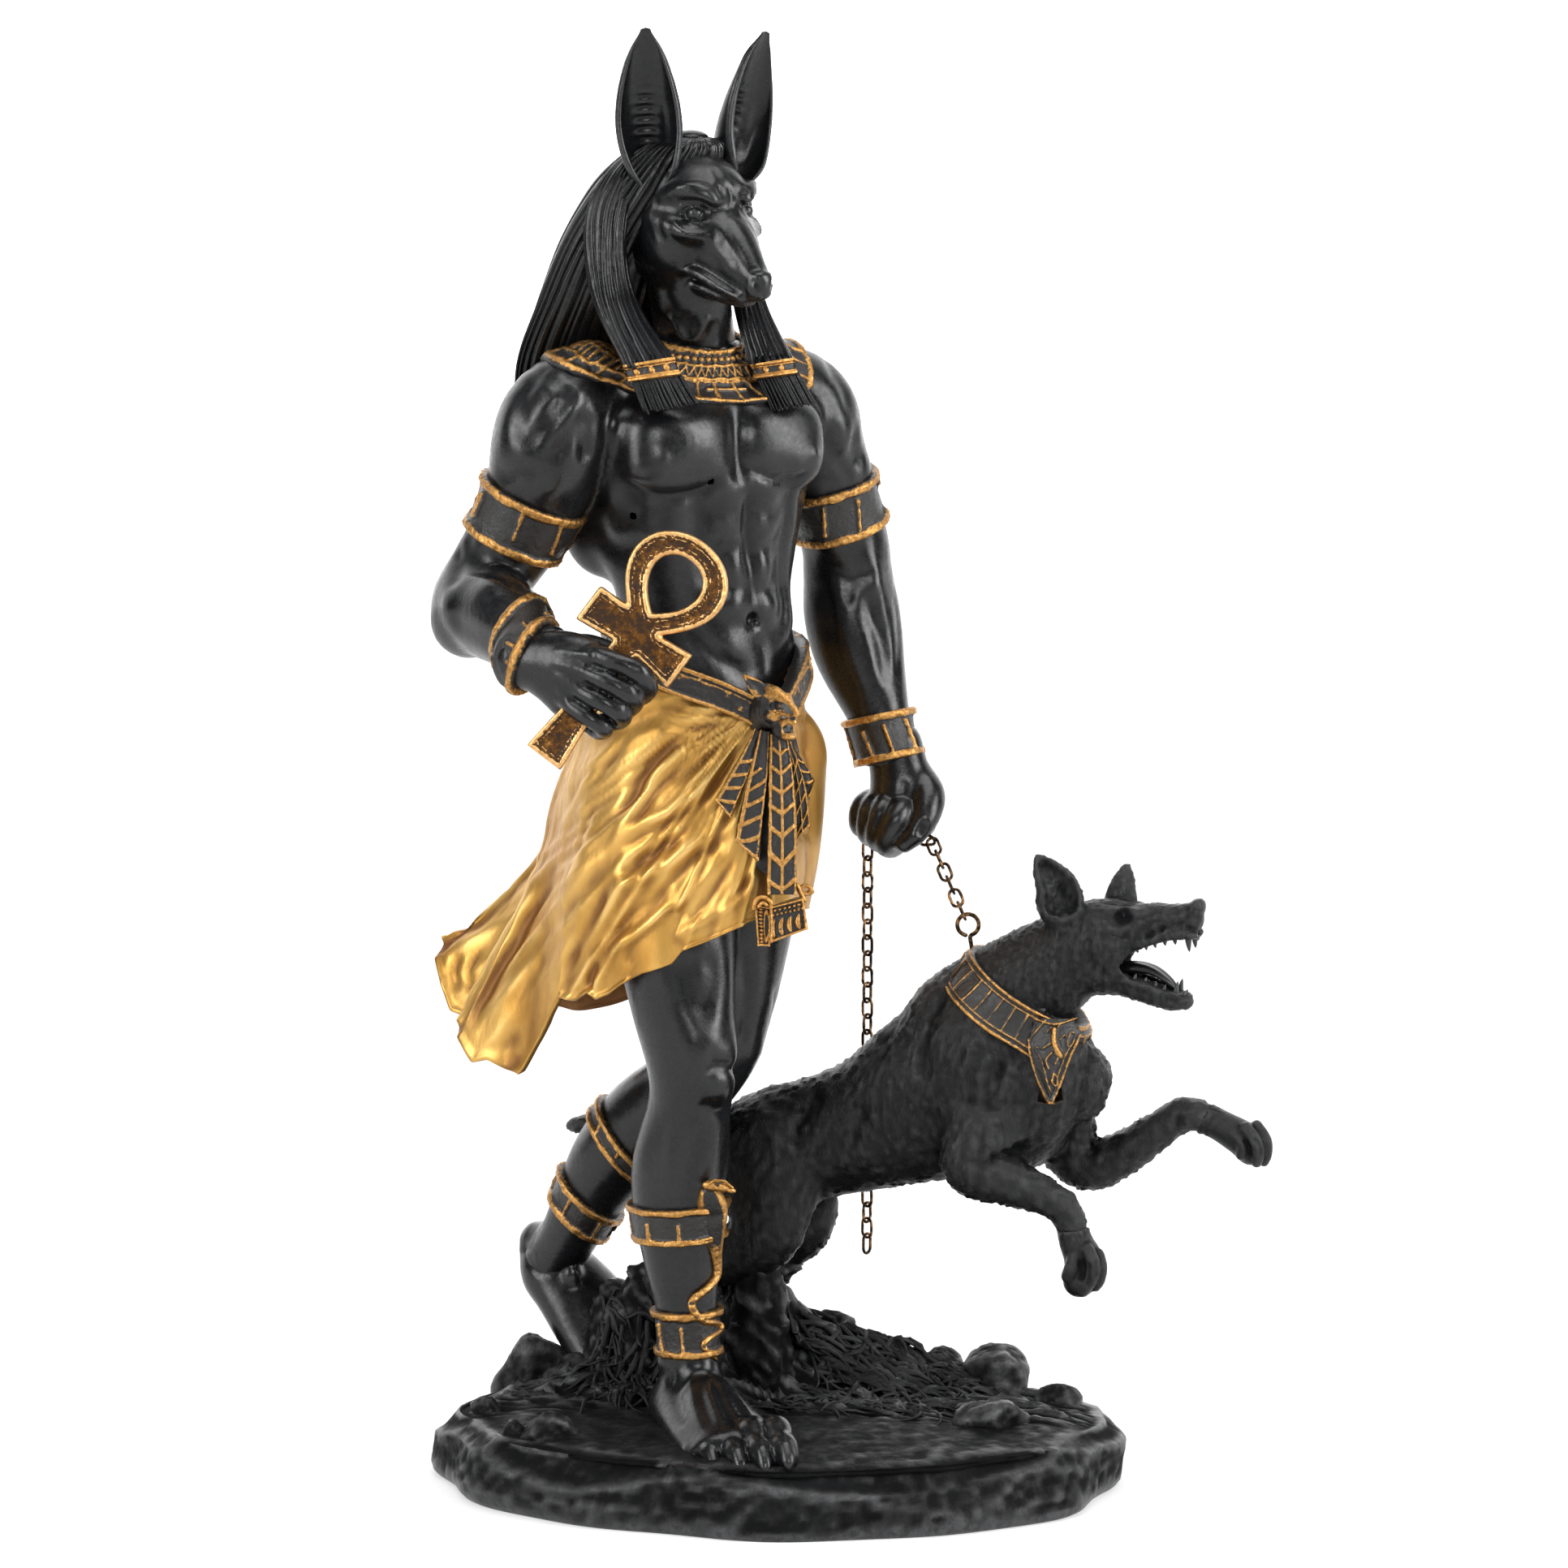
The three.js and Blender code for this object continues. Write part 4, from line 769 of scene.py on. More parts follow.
class Marks:
    """Grooves, ridges and swellings placed in the front view on a form, all laid on at once."""

    def __init__(self, form, win, mirror=None):
        self.form, self.win, self.mirror = form, win, mirror
        self.base = Form()
        self.base.ops = list(form.ops)
        self.todo = []

    def line(self, pts, width, height, win=None, both=False, sink=0.0, **kw):
        self.todo.append(("line", (win or self.win)(pts), width, height, both, sink, kw))

    def mass(self, x, y, r, height, roll=0.0, yaw=BODY_YAW, sharp=2.0, win=None, both=False):
        self.todo.append(("mass", (win or self.win)([(x, y)]), r, height, both, 0.0, (roll, yaw, sharp)))

    def lay(self):
        P = seen(self.base, [q for t in self.todo for q in t[1]])
        at = 0
        for kind, pts, size, height, both, sink, kw in self.todo:
            p = P[at : at + len(pts)] + sink * sight(pts)
            at += len(pts)
            sides = [p]
            if both:
                o, n = self.mirror
                sides.append(p - 2 * ((p - o) @ n)[:, None] * n)
            for k, q in enumerate(sides):
                if kind == "line":
                    self.form.ops.append(("mod", Crease(q, size, height, **kw), 0.0))
                else:
                    roll, yaw, sharp = kw
                    if k:
                        roll, yaw = -roll, 2 * HEAD_YAW - yaw
                    self.form.ops.append(("mod", Swell(q[0], size, turn(yaw, -8.5, roll), height, sharp), 0.0))
        self.todo = []


# ---------------------------------------------------------------- materials
class Mat:
    """A node material put together from named parts."""

    def __init__(self, name):
        self.m = bpy.data.materials.new(name)
        self.m.use_nodes = True
        self.t = self.m.node_tree
        for n in list(self.t.nodes):
            self.t.nodes.remove(n)
        self.out = self.t.nodes.new("ShaderNodeOutputMaterial")
        self.bsdf = self.t.nodes.new("ShaderNodeBsdfPrincipled")
        self.t.links.new(self.bsdf.outputs[0], self.out.inputs[0])
        self.co = self.t.nodes.new("ShaderNodeTexCoord").outputs["Object"]

    def node(self, kind, **kw):
        n = self.t.nodes.new(kind)
        for k, v in kw.items():
            setattr(n, k, v)
        return n

    def link(self, a, b):
        self.t.links.new(a, b)

    def noise(self, scale, detail=3.0, rough=0.55, distort=0.0, stretch=None):
        """Noise with `scale` waves a millimetre, as a value of about 0.3 to 0.7."""
        n = self.node("ShaderNodeTexNoise")
        n.inputs["Scale"].default_value = scale * 1000
        n.inputs["Detail"].default_value = detail
        n.inputs["Roughness"].default_value = rough
        n.inputs["Distortion"].default_value = distort
        co = self.co
        if stretch is not None:
            mp = self.node("ShaderNodeMapping")
            mp.inputs["Scale"].default_value = stretch
            self.link(co, mp.inputs[0])
            co = mp.outputs[0]
        self.link(co, n.inputs["Vector"])
        return n.outputs["Fac"]

    def voronoi(self, scale, feature="F1"):
        n = self.node("ShaderNodeTexVoronoi", feature=feature)
        n.inputs["Scale"].default_value = scale * 1000
        self.link(self.co, n.inputs["Vector"])
        return n.outputs["Distance"]

    def attr(self, name):
        n = self.node("ShaderNodeAttribute", attribute_name=name)
        return n.outputs["Fac"]

    def remap(self, value, a, b, c=0.0, d=1.0, soft=True):
        n = self.node("ShaderNodeMapRange", clamp=True)
        if soft:
            n.interpolation_type = "SMOOTHSTEP"
        self.link(value, n.inputs[0])
        for i, v in enumerate((a, b, c, d)):
            n.inputs[1 + i].default_value = v
        return n.outputs[0]

    def math(self, op, a, b=None):
        n = self.node("ShaderNodeMath", operation=op)
        for i, v in enumerate((a, b)):
            if v is None:
                continue
            if isinstance(v, (int, float)):
                n.inputs[i].default_value = v
            else:
                self.link(v, n.inputs[i])
        return n.outputs[0]

    def ramp(self, value, stops):
        n = self.node("ShaderNodeValToRGB")
        e = n.color_ramp.elements
        e[0].position, e[0].color = stops[0][0], (*stops[0][1], 1)
        e[1].position, e[1].color = stops[-1][0], (*stops[-1][1], 1)
        for p, c in stops[1:-1]:
            k = e.new(p)
            k.color = (*c, 1)
        self.link(value, n.inputs[0])
        return n.outputs[0]

    def mix(self, fac, a, b):
        n = self.node("ShaderNodeMix", data_type="RGBA")
        self.link(fac, n.inputs[0])
        for i, v in ((6, a), (7, b)):
            if isinstance(v, tuple):
                n.inputs[i].default_value = (*v, 1)
            else:
                self.link(v, n.inputs[i])
        return n.outputs[2]

    def bump(self, parts):
        """Parts are (value, depth in millimetres)."""
        last = None
        for v, depth in parts:
            n = self.node("ShaderNodeBump")
            n.inputs["Strength"].default_value = 1.0
            n.inputs["Distance"].default_value = depth * MM
            self.link(v, n.inputs["Height"])
            if last is not None:
                self.link(last, n.inputs["Normal"])
            last = n.outputs[0]
        self.link(last, self.bsdf.inputs["Normal"])

    def set(self, **kw):
        for k, v in kw.items():
            s = self.bsdf.inputs[k.replace("_", " ")]
            if isinstance(v, (int, float)):
                s.default_value = v
            elif isinstance(v, tuple):
                s.default_value = (*v, 1)
            else:
                self.link(v, s)


def black_resin(name="black resin", lift=1.0, rough=(0.34, 0.5), grain=0.02, streak=None, spec=(0.46, 0.2), pitch=0.9):
    """Black satin resin, a little bluish, finely pitted; its raised ridges are lightened towards grey as a painted
    highlight, patchy with noise.
    """
    m = Mat(name)
    a = m.noise(0.06, 4.0, 0.6)
    b = m.noise(pitch, 4.0, 0.65, stretch=streak)
    c = m.noise(5.0, 3.0, 0.6)
    col = m.ramp(
        m.remap(a, 0.32, 0.68),
        [(0.0, (0.0028 * lift, 0.0030 * lift, 0.0034 * lift)), (1.0, (0.0056 * lift, 0.0059 * lift, 0.0067 * lift))],
    )
    # painted highlight: where the surface is raised (cav below 0) the colour is lifted towards grey, patchy with noise
    # b
    wear = m.remap(m.attr("cav"), -0.12, -0.6)
    col = m.mix(m.math("MULTIPLY", wear, m.remap(b, 0.35, 0.65, 0.25, 0.8)), col, (0.022, 0.023, 0.025))
    dull = m.math("ADD", m.attr("cav"), m.math("MULTIPLY", m.math("SUBTRACT", b, 0.5), 0.25))
    m.set(Base_Color=col, Metallic=0.0, IOR=1.5, Specular_IOR_Level=m.remap(dull, -0.3, 0.3, spec[0], spec[1]))
    m.set(Roughness=m.remap(m.math("ADD", m.math("MULTIPLY", a, 0.5), m.math("MULTIPLY", b, 0.5)), 0.36, 0.64, rough[0], rough[1]))
    m.bump([(b, grain * 3.0), (c, grain)])
    return m.m


def gold_paint(name="gold paint"):
    """Bright gold paint, thin and coppery in patches; darkened to brown in its hollows as painted shade and lightened
    on its ridges as a painted highlight.
    """
    m = Mat(name)
    a = m.noise(0.045, 4.0, 0.6)
    b = m.noise(0.5, 5.0, 0.6, stretch=(1.0, 1.0, 0.45))
    c = m.noise(3.2, 3.0, 0.6)
    cav = m.attr("cav")
    # painted shade: deep grows in the hollows (cav above 0), patchy with noise, and darkens the gold to brown
    deep = m.remap(m.math("ADD", cav, m.math("MULTIPLY", m.math("SUBTRACT", b, 0.5), 0.3)), -0.25, 1.0)
    base = m.ramp(
        m.remap(a, 0.34, 0.66), [(0.0, (0.42, 0.215, 0.042)), (0.55, (0.50, 0.275, 0.062)), (1.0, (0.58, 0.34, 0.09))]
    )
    col = m.mix(deep, base, (0.14, 0.05, 0.008))
    # painted highlight: raised places (cav below 0) are lightened to pale gold
    hi = m.remap(cav, -0.1, -0.9)
    col = m.mix(hi, col, (0.72, 0.46, 0.15))
    m.set(Base_Color=col, Metallic=m.remap(deep, 0.0, 1.0, 0.82, 0.55))
    m.set(Roughness=m.remap(m.math("ADD", m.math("MULTIPLY", b, 0.6), m.math("MULTIPLY", deep, 0.25)), 0.25, 0.6, 0.40, 0.56))
    m.bump([(b, 0.09), (c, 0.03)])
    return m.m


def antique_gold(name="antique gold", wear=0.5, bright=1.0, dark=(0.0065, 0.0056, 0.0048)):
    """Gold rubbed over black: it stays on the ridges and is lost in hollows and in spots."""
    m = Mat(name)
    a = m.noise(0.35, 4.0, 0.65)
    b = m.noise(1.7, 4.0, 0.65)
    c = m.noise(5.5, 2.0, 0.6)
    cav = m.attr("cav")
    v = m.math("ADD", m.math("MULTIPLY", cav, -1.0), m.math("MULTIPLY", m.math("ADD", a, b), 0.9))
    on = m.remap(v, 0.9 * wear + 0.2, 0.9 * wear + 0.62)
    gold = m.ramp(
        m.remap(b, 0.3, 0.7),
        [(0.0, (0.30 * bright, 0.14 * bright, 0.034 * bright)), (1.0, (0.56 * bright, 0.31 * bright, 0.10 * bright))],
    )
    m.set(Base_Color=m.mix(on, dark, gold), Metallic=on)
    m.set(Roughness=m.remap(b, 0.3, 0.7, 0.42, 0.28))
    m.bump([(a, 0.2), (b, 0.16), (c, 0.03)])
    return m.m


def bronze_field(name="mottled bronze"):
    """Dark mottled bronze; the rim and the inner line are rubbed bright."""
    m = Mat(name)
    a = m.noise(0.22, 5.0, 0.7)
    b = m.noise(1.1, 5.0, 0.72)
    c = m.noise(3.5, 3.0, 0.6)
    rim = m.attr("rim")
    v = m.math("ADD", m.math("MULTIPLY", a, 0.55), m.math("MULTIPLY", b, 0.45))
    col = m.ramp(
        m.remap(v, 0.36, 0.64, soft=False),
        [(0.0, (0.010, 0.0048, 0.002)), (0.42, (0.038, 0.016, 0.0045)), (0.75, (0.14, 0.06, 0.014)), (1.0, (0.34, 0.16, 0.045))],
    )
    line = m.ramp(m.remap(b, 0.3, 0.7), [(0.0, (0.55, 0.29, 0.095)), (1.0, (0.82, 0.51, 0.22))])
    on = m.remap(m.math("ADD", rim, m.math("MULTIPLY", m.math("SUBTRACT", b, 0.5), 0.8)), 0.42, 0.62)
    m.set(
        Base_Color=m.mix(on, col, line),
        Metallic=m.math("MAXIMUM", on, m.remap(v, 0.4, 0.6, 0.55, 0.95)),
        Roughness=m.remap(m.math("SUBTRACT", b, m.math("MULTIPLY", on, 0.3)), 0.1, 0.65, 0.3, 0.5),
    )
    m.bump([(b, 0.12), (c, 0.05)])
    return m.m


def bronze_line(name="bronze border"):
    m = Mat(name)
    a = m.noise(0.5, 4.0, 0.6)
    b = m.noise(2.2, 3.0, 0.6)
    cav = m.attr("cav")
    on = m.remap(m.math("ADD", m.math("MULTIPLY", cav, -0.6), a), 0.22, 0.5)
    col = m.mix(on, (0.10, 0.038, 0.009), m.ramp(m.remap(b, 0.3, 0.7), [(0.0, (0.66, 0.34, 0.115)), (1.0, (0.9, 0.56, 0.24))]))
    m.set(Base_Color=col, Metallic=0.95, Roughness=m.remap(b, 0.3, 0.7, 0.24, 0.36))
    m.bump([(a, 0.08), (b, 0.03)])
    return m.m


def ground_resin(name="ground resin"):
    m = Mat(name)
    a = m.noise(0.08, 5.0, 0.6)
    b = m.noise(0.7, 5.0, 0.66)
    c = m.noise(3.0, 4.0, 0.65)
    cav = m.attr("cav")
    col = m.ramp(m.remap(a, 0.32, 0.68), [(0.0, (0.0032, 0.0033, 0.0035)), (1.0, (0.0068, 0.0071, 0.0076))])
    # painted highlight: crisp raised edges (cav below 0) are lightened towards grey, patchy with noise
    edge = m.math("MULTIPLY", m.remap(cav, -0.03, -0.3), m.remap(b, 0.36, 0.62))
    col = m.mix(edge, col, (0.034, 0.035, 0.037))
    dull = m.math("ADD", cav, m.math("MULTIPLY", m.math("SUBTRACT", b, 0.5), 0.3))
    m.set(Base_Color=col, Metallic=0.0, IOR=1.45, Roughness=m.remap(dull, -0.3, 0.08, 0.34, 0.72), Specular_IOR_Level=m.remap(dull, -0.34, 0.1, 0.55, 0.05))
    m.bump([(b, 0.22), (c, 0.08)])
    return m.m


def bronzed_wire(name="bronzed wire"):
    m = Mat(name)
    a = m.noise(0.6, 4.0, 0.65)
    b = m.noise(3.0, 3.0, 0.6)
    cav = m.attr("cav")
    on = m.remap(m.math("ADD", m.math("MULTIPLY", cav, -0.5), a), 0.45, 0.68)
    col = m.mix(on, (0.022, 0.0125, 0.007), (0.34, 0.185, 0.075))
    m.set(Base_Color=col, Metallic=0.95, Roughness=m.remap(b, 0.3, 0.7, 0.26, 0.42))
    m.bump([(a, 0.03), (b, 0.015)])
    return m.m


def studio_floor(name="studio floor"):
    m = Mat(name)
    a = m.noise(0.004, 2.0, 0.5)
    m.set(
        Base_Color=m.ramp(m.remap(a, 0.3, 0.7), [(0.0, (0.93, 0.93, 0.932)), (1.0, (0.95, 0.95, 0.951))]),
        Roughness=m.remap(a, 0.3, 0.7, 0.72, 0.8),
    )
    return m.m


BLACK = black_resin("black resin", 1.0, (0.27, 0.42))
SKIN = black_resin("black resin skin", 1.0, (0.21, 0.35), 0.012, spec=(0.46, 0.26))
HAIR = black_resin("black resin hair", 0.8, (0.18, 0.32), 0.012, spec=(0.52, 0.01))
FUR = black_resin("black resin fur", 0.8, (0.26, 0.42), 0.06, (1.0, 1.0, 0.26), (0.46, 0.03), 3.4)
GOLD = gold_paint()
TRIM = antique_gold()
TRIM_BRIGHT = antique_gold("bright gold trim", 0.3, 1.08)
TRIM_DARK = antique_gold("dark gold trim", 0.62)
FIELD = bronze_field()
BORDER = bronze_line()
EARTH = ground_resin()
CHAIN = bronzed_wire()
FLOOR = studio_floor()


# ---------------------------------------------------------------- relief on grids
PX = 6.46  # frame points to a millimetre at the figure


def project(P):
    """Where points fall in the front view's frame."""
    Q = np.asarray(P) - VIEW_FROM
    d = Q @ VIEW_AHEAD
    return np.stack([966 + VIEW_F * Q[..., 0] / d, 966 - VIEW_F * (Q @ VIEW_UP) / d], -1)


def grid_normals(P, ring=False, away=None):
    """Normals of a grid of points, turned away from a point when one is given."""
    a = np.roll(P, -1, 1) - np.roll(P, 1, 1) if ring else np.gradient(P, axis=1)
    N = unit(np.cross(a, np.gradient(P, axis=0)))
    if away is not None:
        s = (N * (P - away)).sum(-1).mean()
        N = N if s > 0 else -N
    return N


def strokes(uv, marks, win, join="add"):
    """Heights of strokes drawn in the front view: each is (points, half-width, height, sharpness)."""
    flat = uv.reshape(-1, 2)
    out = np.zeros(len(flat))
    for pts, w, h, *sharp in marks:
        q = np.asarray(win(pts), float)
        if len(q) > 2:
            q = spline(q, np.linspace(0, len(q) - 1, 5 * (len(q) - 1) + 1))
        r = w * PX
        m = np.nonzero(np.all((flat > q.min(0) - 2.3 * r) & (flat < q.max(0) + 2.3 * r), axis=1))[0]
        if not len(m):
            continue
        f = flat[m]
        best = ((f - q[0]) ** 2).sum(1)
        along = np.zeros(len(f))
        for k, (a, b) in enumerate(zip(q[:-1], q[1:])):
            e = b - a
            s = np.clip(((f - a) @ e) / max(e @ e, 1e-9), 0, 1)
            d = ((f - a - s[:, None] * e) ** 2).sum(1)
            along = np.where(d < best, (k + s) / (len(q) - 1), along)
            best = np.minimum(best, d)
        v = h * np.exp(-((np.sqrt(best) / r) ** (sharp[0] if sharp else 2.0)))
        if join == "add" and len(q) > 2:
            v = v * smooth(0.0, 0.3, along) * smooth(1.0, 0.7, along)
        out[m] = out[m] + v if join == "add" else np.maximum(out[m], v)
    return out.reshape(uv.shape[:-1])


def relief(P, N, H, thick, ring=False, cav=None):
    """A closed shell: a grid raised by H along N, with a plain back `thick` below its edges; with its wear map."""
    rows, cols = P.shape[:2]
    thick = np.broadcast_to(np.asarray(thick, float), (cols,))[None, :, None]
    grid = np.concatenate([P[:1] - N[:1] * thick, P + N * H[..., None], P[-1:] - N[-1:] * thick])
    R = rows + 2
    i, j = np.meshgrid(np.arange(R), np.arange(cols if ring else cols - 1), indexing="ij")
    k, l = (i + 1) % R, (j + 1) % cols
    F = [np.stack([i * cols + j, i * cols + l, k * cols + l, k * cols + j], -1).reshape(-1, 4)]
    V = grid.reshape(-1, 3)
    c = np.full((R, cols), 0.5)
    c[1:-1] = (0.0 if cav is None else cav)
    c = c.reshape(-1)
    if not ring:
        a = len(V)
        V = np.concatenate([V, [grid[:, 0].mean(0)], [grid[:, -1].mean(0)]])
        c = np.concatenate([c, [0.5, 0.5]])
        i = np.arange(R)
        k = (i + 1) % R
        F.append(
            np.concatenate(
                [np.stack([np.full(R, a), i * cols, k * cols], 1), np.stack([np.full(R, a + 1), k * cols + cols - 1, i * cols + cols - 1], 1)]
            )
        )
    V, F = outside(V, F)
    return V, F, c


def relief_piece(name, parts, mat, slot="antique_gold_trim"):
    V, F = merged([(v, f) for v, f, _ in parts])
    return piece(name, V, F, mat, slot, attrs={"cav": np.concatenate([c for *_, c in parts])})


def gilded(h, low=0.5, span=0.95):
    """Wear map for a height from 0 to 1: the raised parts keep their gold."""
    return low - span * np.clip(h, 0, 1.2)


def bar(x, w, soft=0.35):
    """1 within w of 0, falling to 0."""
    return 1 - smooth(w * (1 - soft), w * (1 + soft), np.abs(x))


def panel(win, left, right, depth, cols, rows, belly=0.0):
    """A strip between two lines of the front view, at the depths given down its length."""
    t = np.linspace(0, 1, rows)
    L = spline(np.asarray(win(left), float), t * (len(left) - 1))
    R = spline(np.asarray(win(right), float), t * (len(right) - 1))
    y = spline([[d] for d in depth], t * (len(depth) - 1))[:, 0]
    s = np.linspace(0, 1, cols)
    uv = L[:, None] * (1 - s)[None, :, None] + R[:, None] * s[None, :, None]
    Y = y[:, None] - belly * 4 * (s * (1 - s))[None, :]
    d = sight(uv.reshape(-1, 2))
    P = VIEW_FROM + d * ((Y.reshape(-1) - VIEW_FROM[1]) / d[:, 1])[:, None]
    P = P.reshape(rows, cols, 3)
    N = grid_normals(P)
    N = N if N[..., 1].mean() < 0 else -N
    S, T = np.meshgrid(s, t)
    return P, N, S, T


def worn(P, amount=0.3, scale=0.9, seed=11):
    """Irregular height, for things formed by hand."""
    return amount * fbm(P.reshape(-1, 3), scale, 3, seed).reshape(P.shape[:-1])


# ---------------------------------------------------------------- the figure: axes
def ahead(yaw):
    return vec(math.sin(math.radians(yaw)), -math.cos(math.radians(yaw)), 0)


def beside(yaw):
    return vec(math.cos(math.radians(yaw)), math.sin(math.radians(yaw)), 0)


FW, LF = ahead(BODY_YAW), beside(BODY_YAW)
UP = vec(0, 0, 1)


def trunk(fw, lf, z, at=(-16.5, 3.0)):
    return vec(at[0], at[1], 0) + FW * fw + LF * lf + UP * z


def head(fw, lf, z):
    return vec(-16.5, -1.5, 0) + ahead(HEAD_YAW) * fw + beside(HEAD_YAW) * lf + UP * z


# ---------------------------------------------------------------- trunk and arms
# height, forward shift, half-width, half-depth in front and behind, shift along X
TRUNK = [
    [132, 1, 18.4, 13.6, 14, 3.8],
    [150, 0.5, 18.6, 13.4, 13.6, 3.0],
    [160, 0, 17.8, 12.8, 12.5, 2.4],
    [171, 0, 17.2, 12.4, 11.5, 1.6],
    [181, 0, 19.4, 12.9, 12.3, 1],
    [191, 0, 22.2, 14.2, 13.8, 0.4],
    [200, 0, 25.0, 15.6, 15.2, 0],
    [207, -0.5, 26.4, 15.3, 15.3, 0],
    [213, -1, 21, 11.5, 12.5, 0],
    [218, -0.5, 11.5, 9, 9.5, 0],
    [222, 0, 8, 7.4, 8, 0],
]
R_UPPER = [
    [-35, -9, 213, 7, 8],
    [-41, -11, 208.5, 11, 10.4],
    [-44, -11, 200, 10.8, 10.2],
    [-48, -9.5, 189, 9.2, 9.2],
    [-54, -7, 179, 8.4, 8.2],
    [-58, -6, 173, 8.1, 7.6],
    [-59, -9, 169, 7.4, 7.2],
]
R_FORE = [
    [-60.5, -3, 171.5, 5.5, 5],
    [-58, -8, 172, 8.6, 8.2],
    [-53.8, -17, 171, 8.9, 8.2],
    [-49.6, -27, 169, 7.2, 6.8],
    [-46.5, -35, 167, 5.5, 4.9],
    [-43, -39, 166, 6, 4.6],
]
L_ARM = [
    [-3, 13, 213, 6.5, 8],
    [3.5, 18, 207.5, 9.6, 10],
    [6.2, 21.5, 200, 9.4, 9.8],
    [9.4, 24.5, 189, 8.6, 8.8],
    [12.2, 26.5, 180, 8.5, 8.4],
    [12.8, 26.8, 174, 8.6, 8.5],
    [13.6, 26.3, 166, 9.3, 8.8],
    [15.2, 25, 158, 8.7, 8.1],
    [18.4, 22.4, 148, 6.3, 6.1],
    [19.8, 20.6, 142, 5.5, 5.3],
    [21, 19.4, 138, 5.6, 5.2],
]


def figure_upper():
    f = Form()
    rows = []
    for z, fw, a, front, back, x in TRUNK:
        p = trunk(fw, 0, z)
        rows.append([z, p[0] + x, p[1], a, front, back])
    f.add(Tower(rows, BODY_YAW, 2.25))
    for s in (-1, 1):
        f.add(Blob(trunk(-8, s * 15, 192), (9.4, 7.6, 16), turn(BODY_YAW)), 4.0)
        # breast: a broad plate with a squared lower edge
        f.add(Blob(trunk(8.0, s * 9.9, 201.6), (12.0, 8.3, 9.4), turn(BODY_YAW, -6, s * 4), 2.8), 1.4)
        # slope from neck to shoulder
        f.add(Blob(trunk(-5, s * 11, 213), (10.5, 6.5, 7), turn(BODY_YAW, 0, s * 24)), 4.0)
    f.add(Limb(R_UPPER, vec(0, 1, 0)), 2.4)
    f.add(Blob((-44.6, -12.2, 202.6), (9.6, 10.6, 13), turn(12, -4, 8)), 2.0)
    f.add(Limb(R_FORE, vec(0, 0, 1)), 1.6)
    f.add(Blob((-60, -3.8, 171.6), (4.4, 4.6, 4.6)), 3.0)
    f.add(Limb(L_ARM, vec(1, 0, 0)), 2.4)
    f.add(Blob((5.0, 19.4, 202.6), (8.6, 10.4, 12), turn(60, 0, -6)), 2.0)

    w, h, a = W_CHEST, W_HAND, W_ARM
    m = Marks(f, w)
    same = lambda pts: pts

    gain = [1.35, 1.3]

    def groove(pts, width, height, **kw):
        m.line(pts, width, height * gain[0], win=same, **kw)

    def mass(where, r, height, roll=0.0, yaw=BODY_YAW, sharp=2.0):
        m.mass(*where, r, height * gain[1], roll, yaw, sharp, win=same)

    # breast
    groove(w([(966, 360), (972, 470), (970, 600), (978, 690)]), 2.0, 1.0)
    groove(w([(500, 640), (590, 692), (700, 722), (800, 708), (880, 668), (950, 618)]), 1.1, 0.95)
    groove(w([(985, 600), (1060, 640), (1130, 662), (1200, 652), (1262, 590)]), 1.0, 0.95)
    groove(w([(395, 400), (378, 500), (392, 600)]), 1.7, 1.0)
    mass(w([(820, 500)])[0], (7.0, 5, 5.2), 0.7, roll=18)
    mass(w([(1110, 520)])[0], (6.0, 5, 5.0), 0.6, roll=-6)
    mass(w([(620, 640)])[0], (6.0, 5, 3.0), 0.5, roll=10)
    # hollow under the breastbone and the middle line
    groove(w([(975, 640), (1000, 730), (996, 830), (1008, 905), (1008, 960), (1020, 1040), (1026, 1150)]), 1.7, 0.9)
    groove(w([(1050, 1265), (1072, 1340), (1078, 1420)]), 1.2, 0.35)
    gain[:] = 1.15, 1.75
    # belly, two columns of blocks
    for row in (
        [((925, 690), 5.2, 4.6, -12), ((1068, 692), 4.6, 3.4, 14)],
        [((930, 838), 4.4, 5.4, 0), ((1070, 832), 3.7, 5.0, 4)],
        [((958, 1018), 3.3, 4.2, 0), ((1058, 1018), 2.9, 4.0, 4)],
        [((950, 1140), 3.6, 3.0, 0), ((1085, 1150), 3.2, 3.0, 0)],
    ):
        for (x, y), a1, b1, ro in row:
            mass(w([(x, y)])[0], (a1, 4.5, b1), 0.8, roll=ro, sharp=2.6)
    groove(w([(855, 760), (915, 780), (968, 772)]), 1.6, 0.55)
    groove(w([(1040, 768), (1080, 778), (1130, 792)]), 1.5, 0.5)
    groove(w([(862, 932), (920, 920), (972, 930)]), 1.7, 0.6)
    groove(w([(1046, 928), (1080, 918), (1128, 926)]), 1.6, 0.55)
    groove(w([(885, 1080), (945, 1092), (986, 1088)]), 1.6, 0.45)
    groove(w([(1052, 1085), (1085, 1087), (1118, 1080)]), 1.5, 0.4)
    # outer edges of the belly
    groove(w([(850, 690), (815, 790), (822, 900), (852, 1010), (862, 1130)]), 2.4, 1.0)
    groove(w([(1160, 690), (1160, 800), (1144, 900), (1136, 1010), (1142, 1120), (1142, 1260)]), 1.7, 0.9)
    groove(w([(760, 1180), (830, 1290), (930, 1370), (1020, 1420)]), 1.4, 0.7)
    groove(w([(1190, 1230), (1160, 1330), (1110, 1410)]), 1.3, 0.7)
    mass(w([(1160, 1180)])[0], (2.2, 3, 4.6), 0.7, roll=-4)
    mass(w([(940, 1300)])[0], (5.5, 4, 6.0), 0.5)
    gain[:] = 1.0, 1.6
    # navel
    groove(w([(1016, 1203)]), 1.15, 2.6, sink=0.6, sharp=3.0)
    groove(w([(985, 1180), (1012, 1158), (1045, 1172)]), 0.5, -0.5)
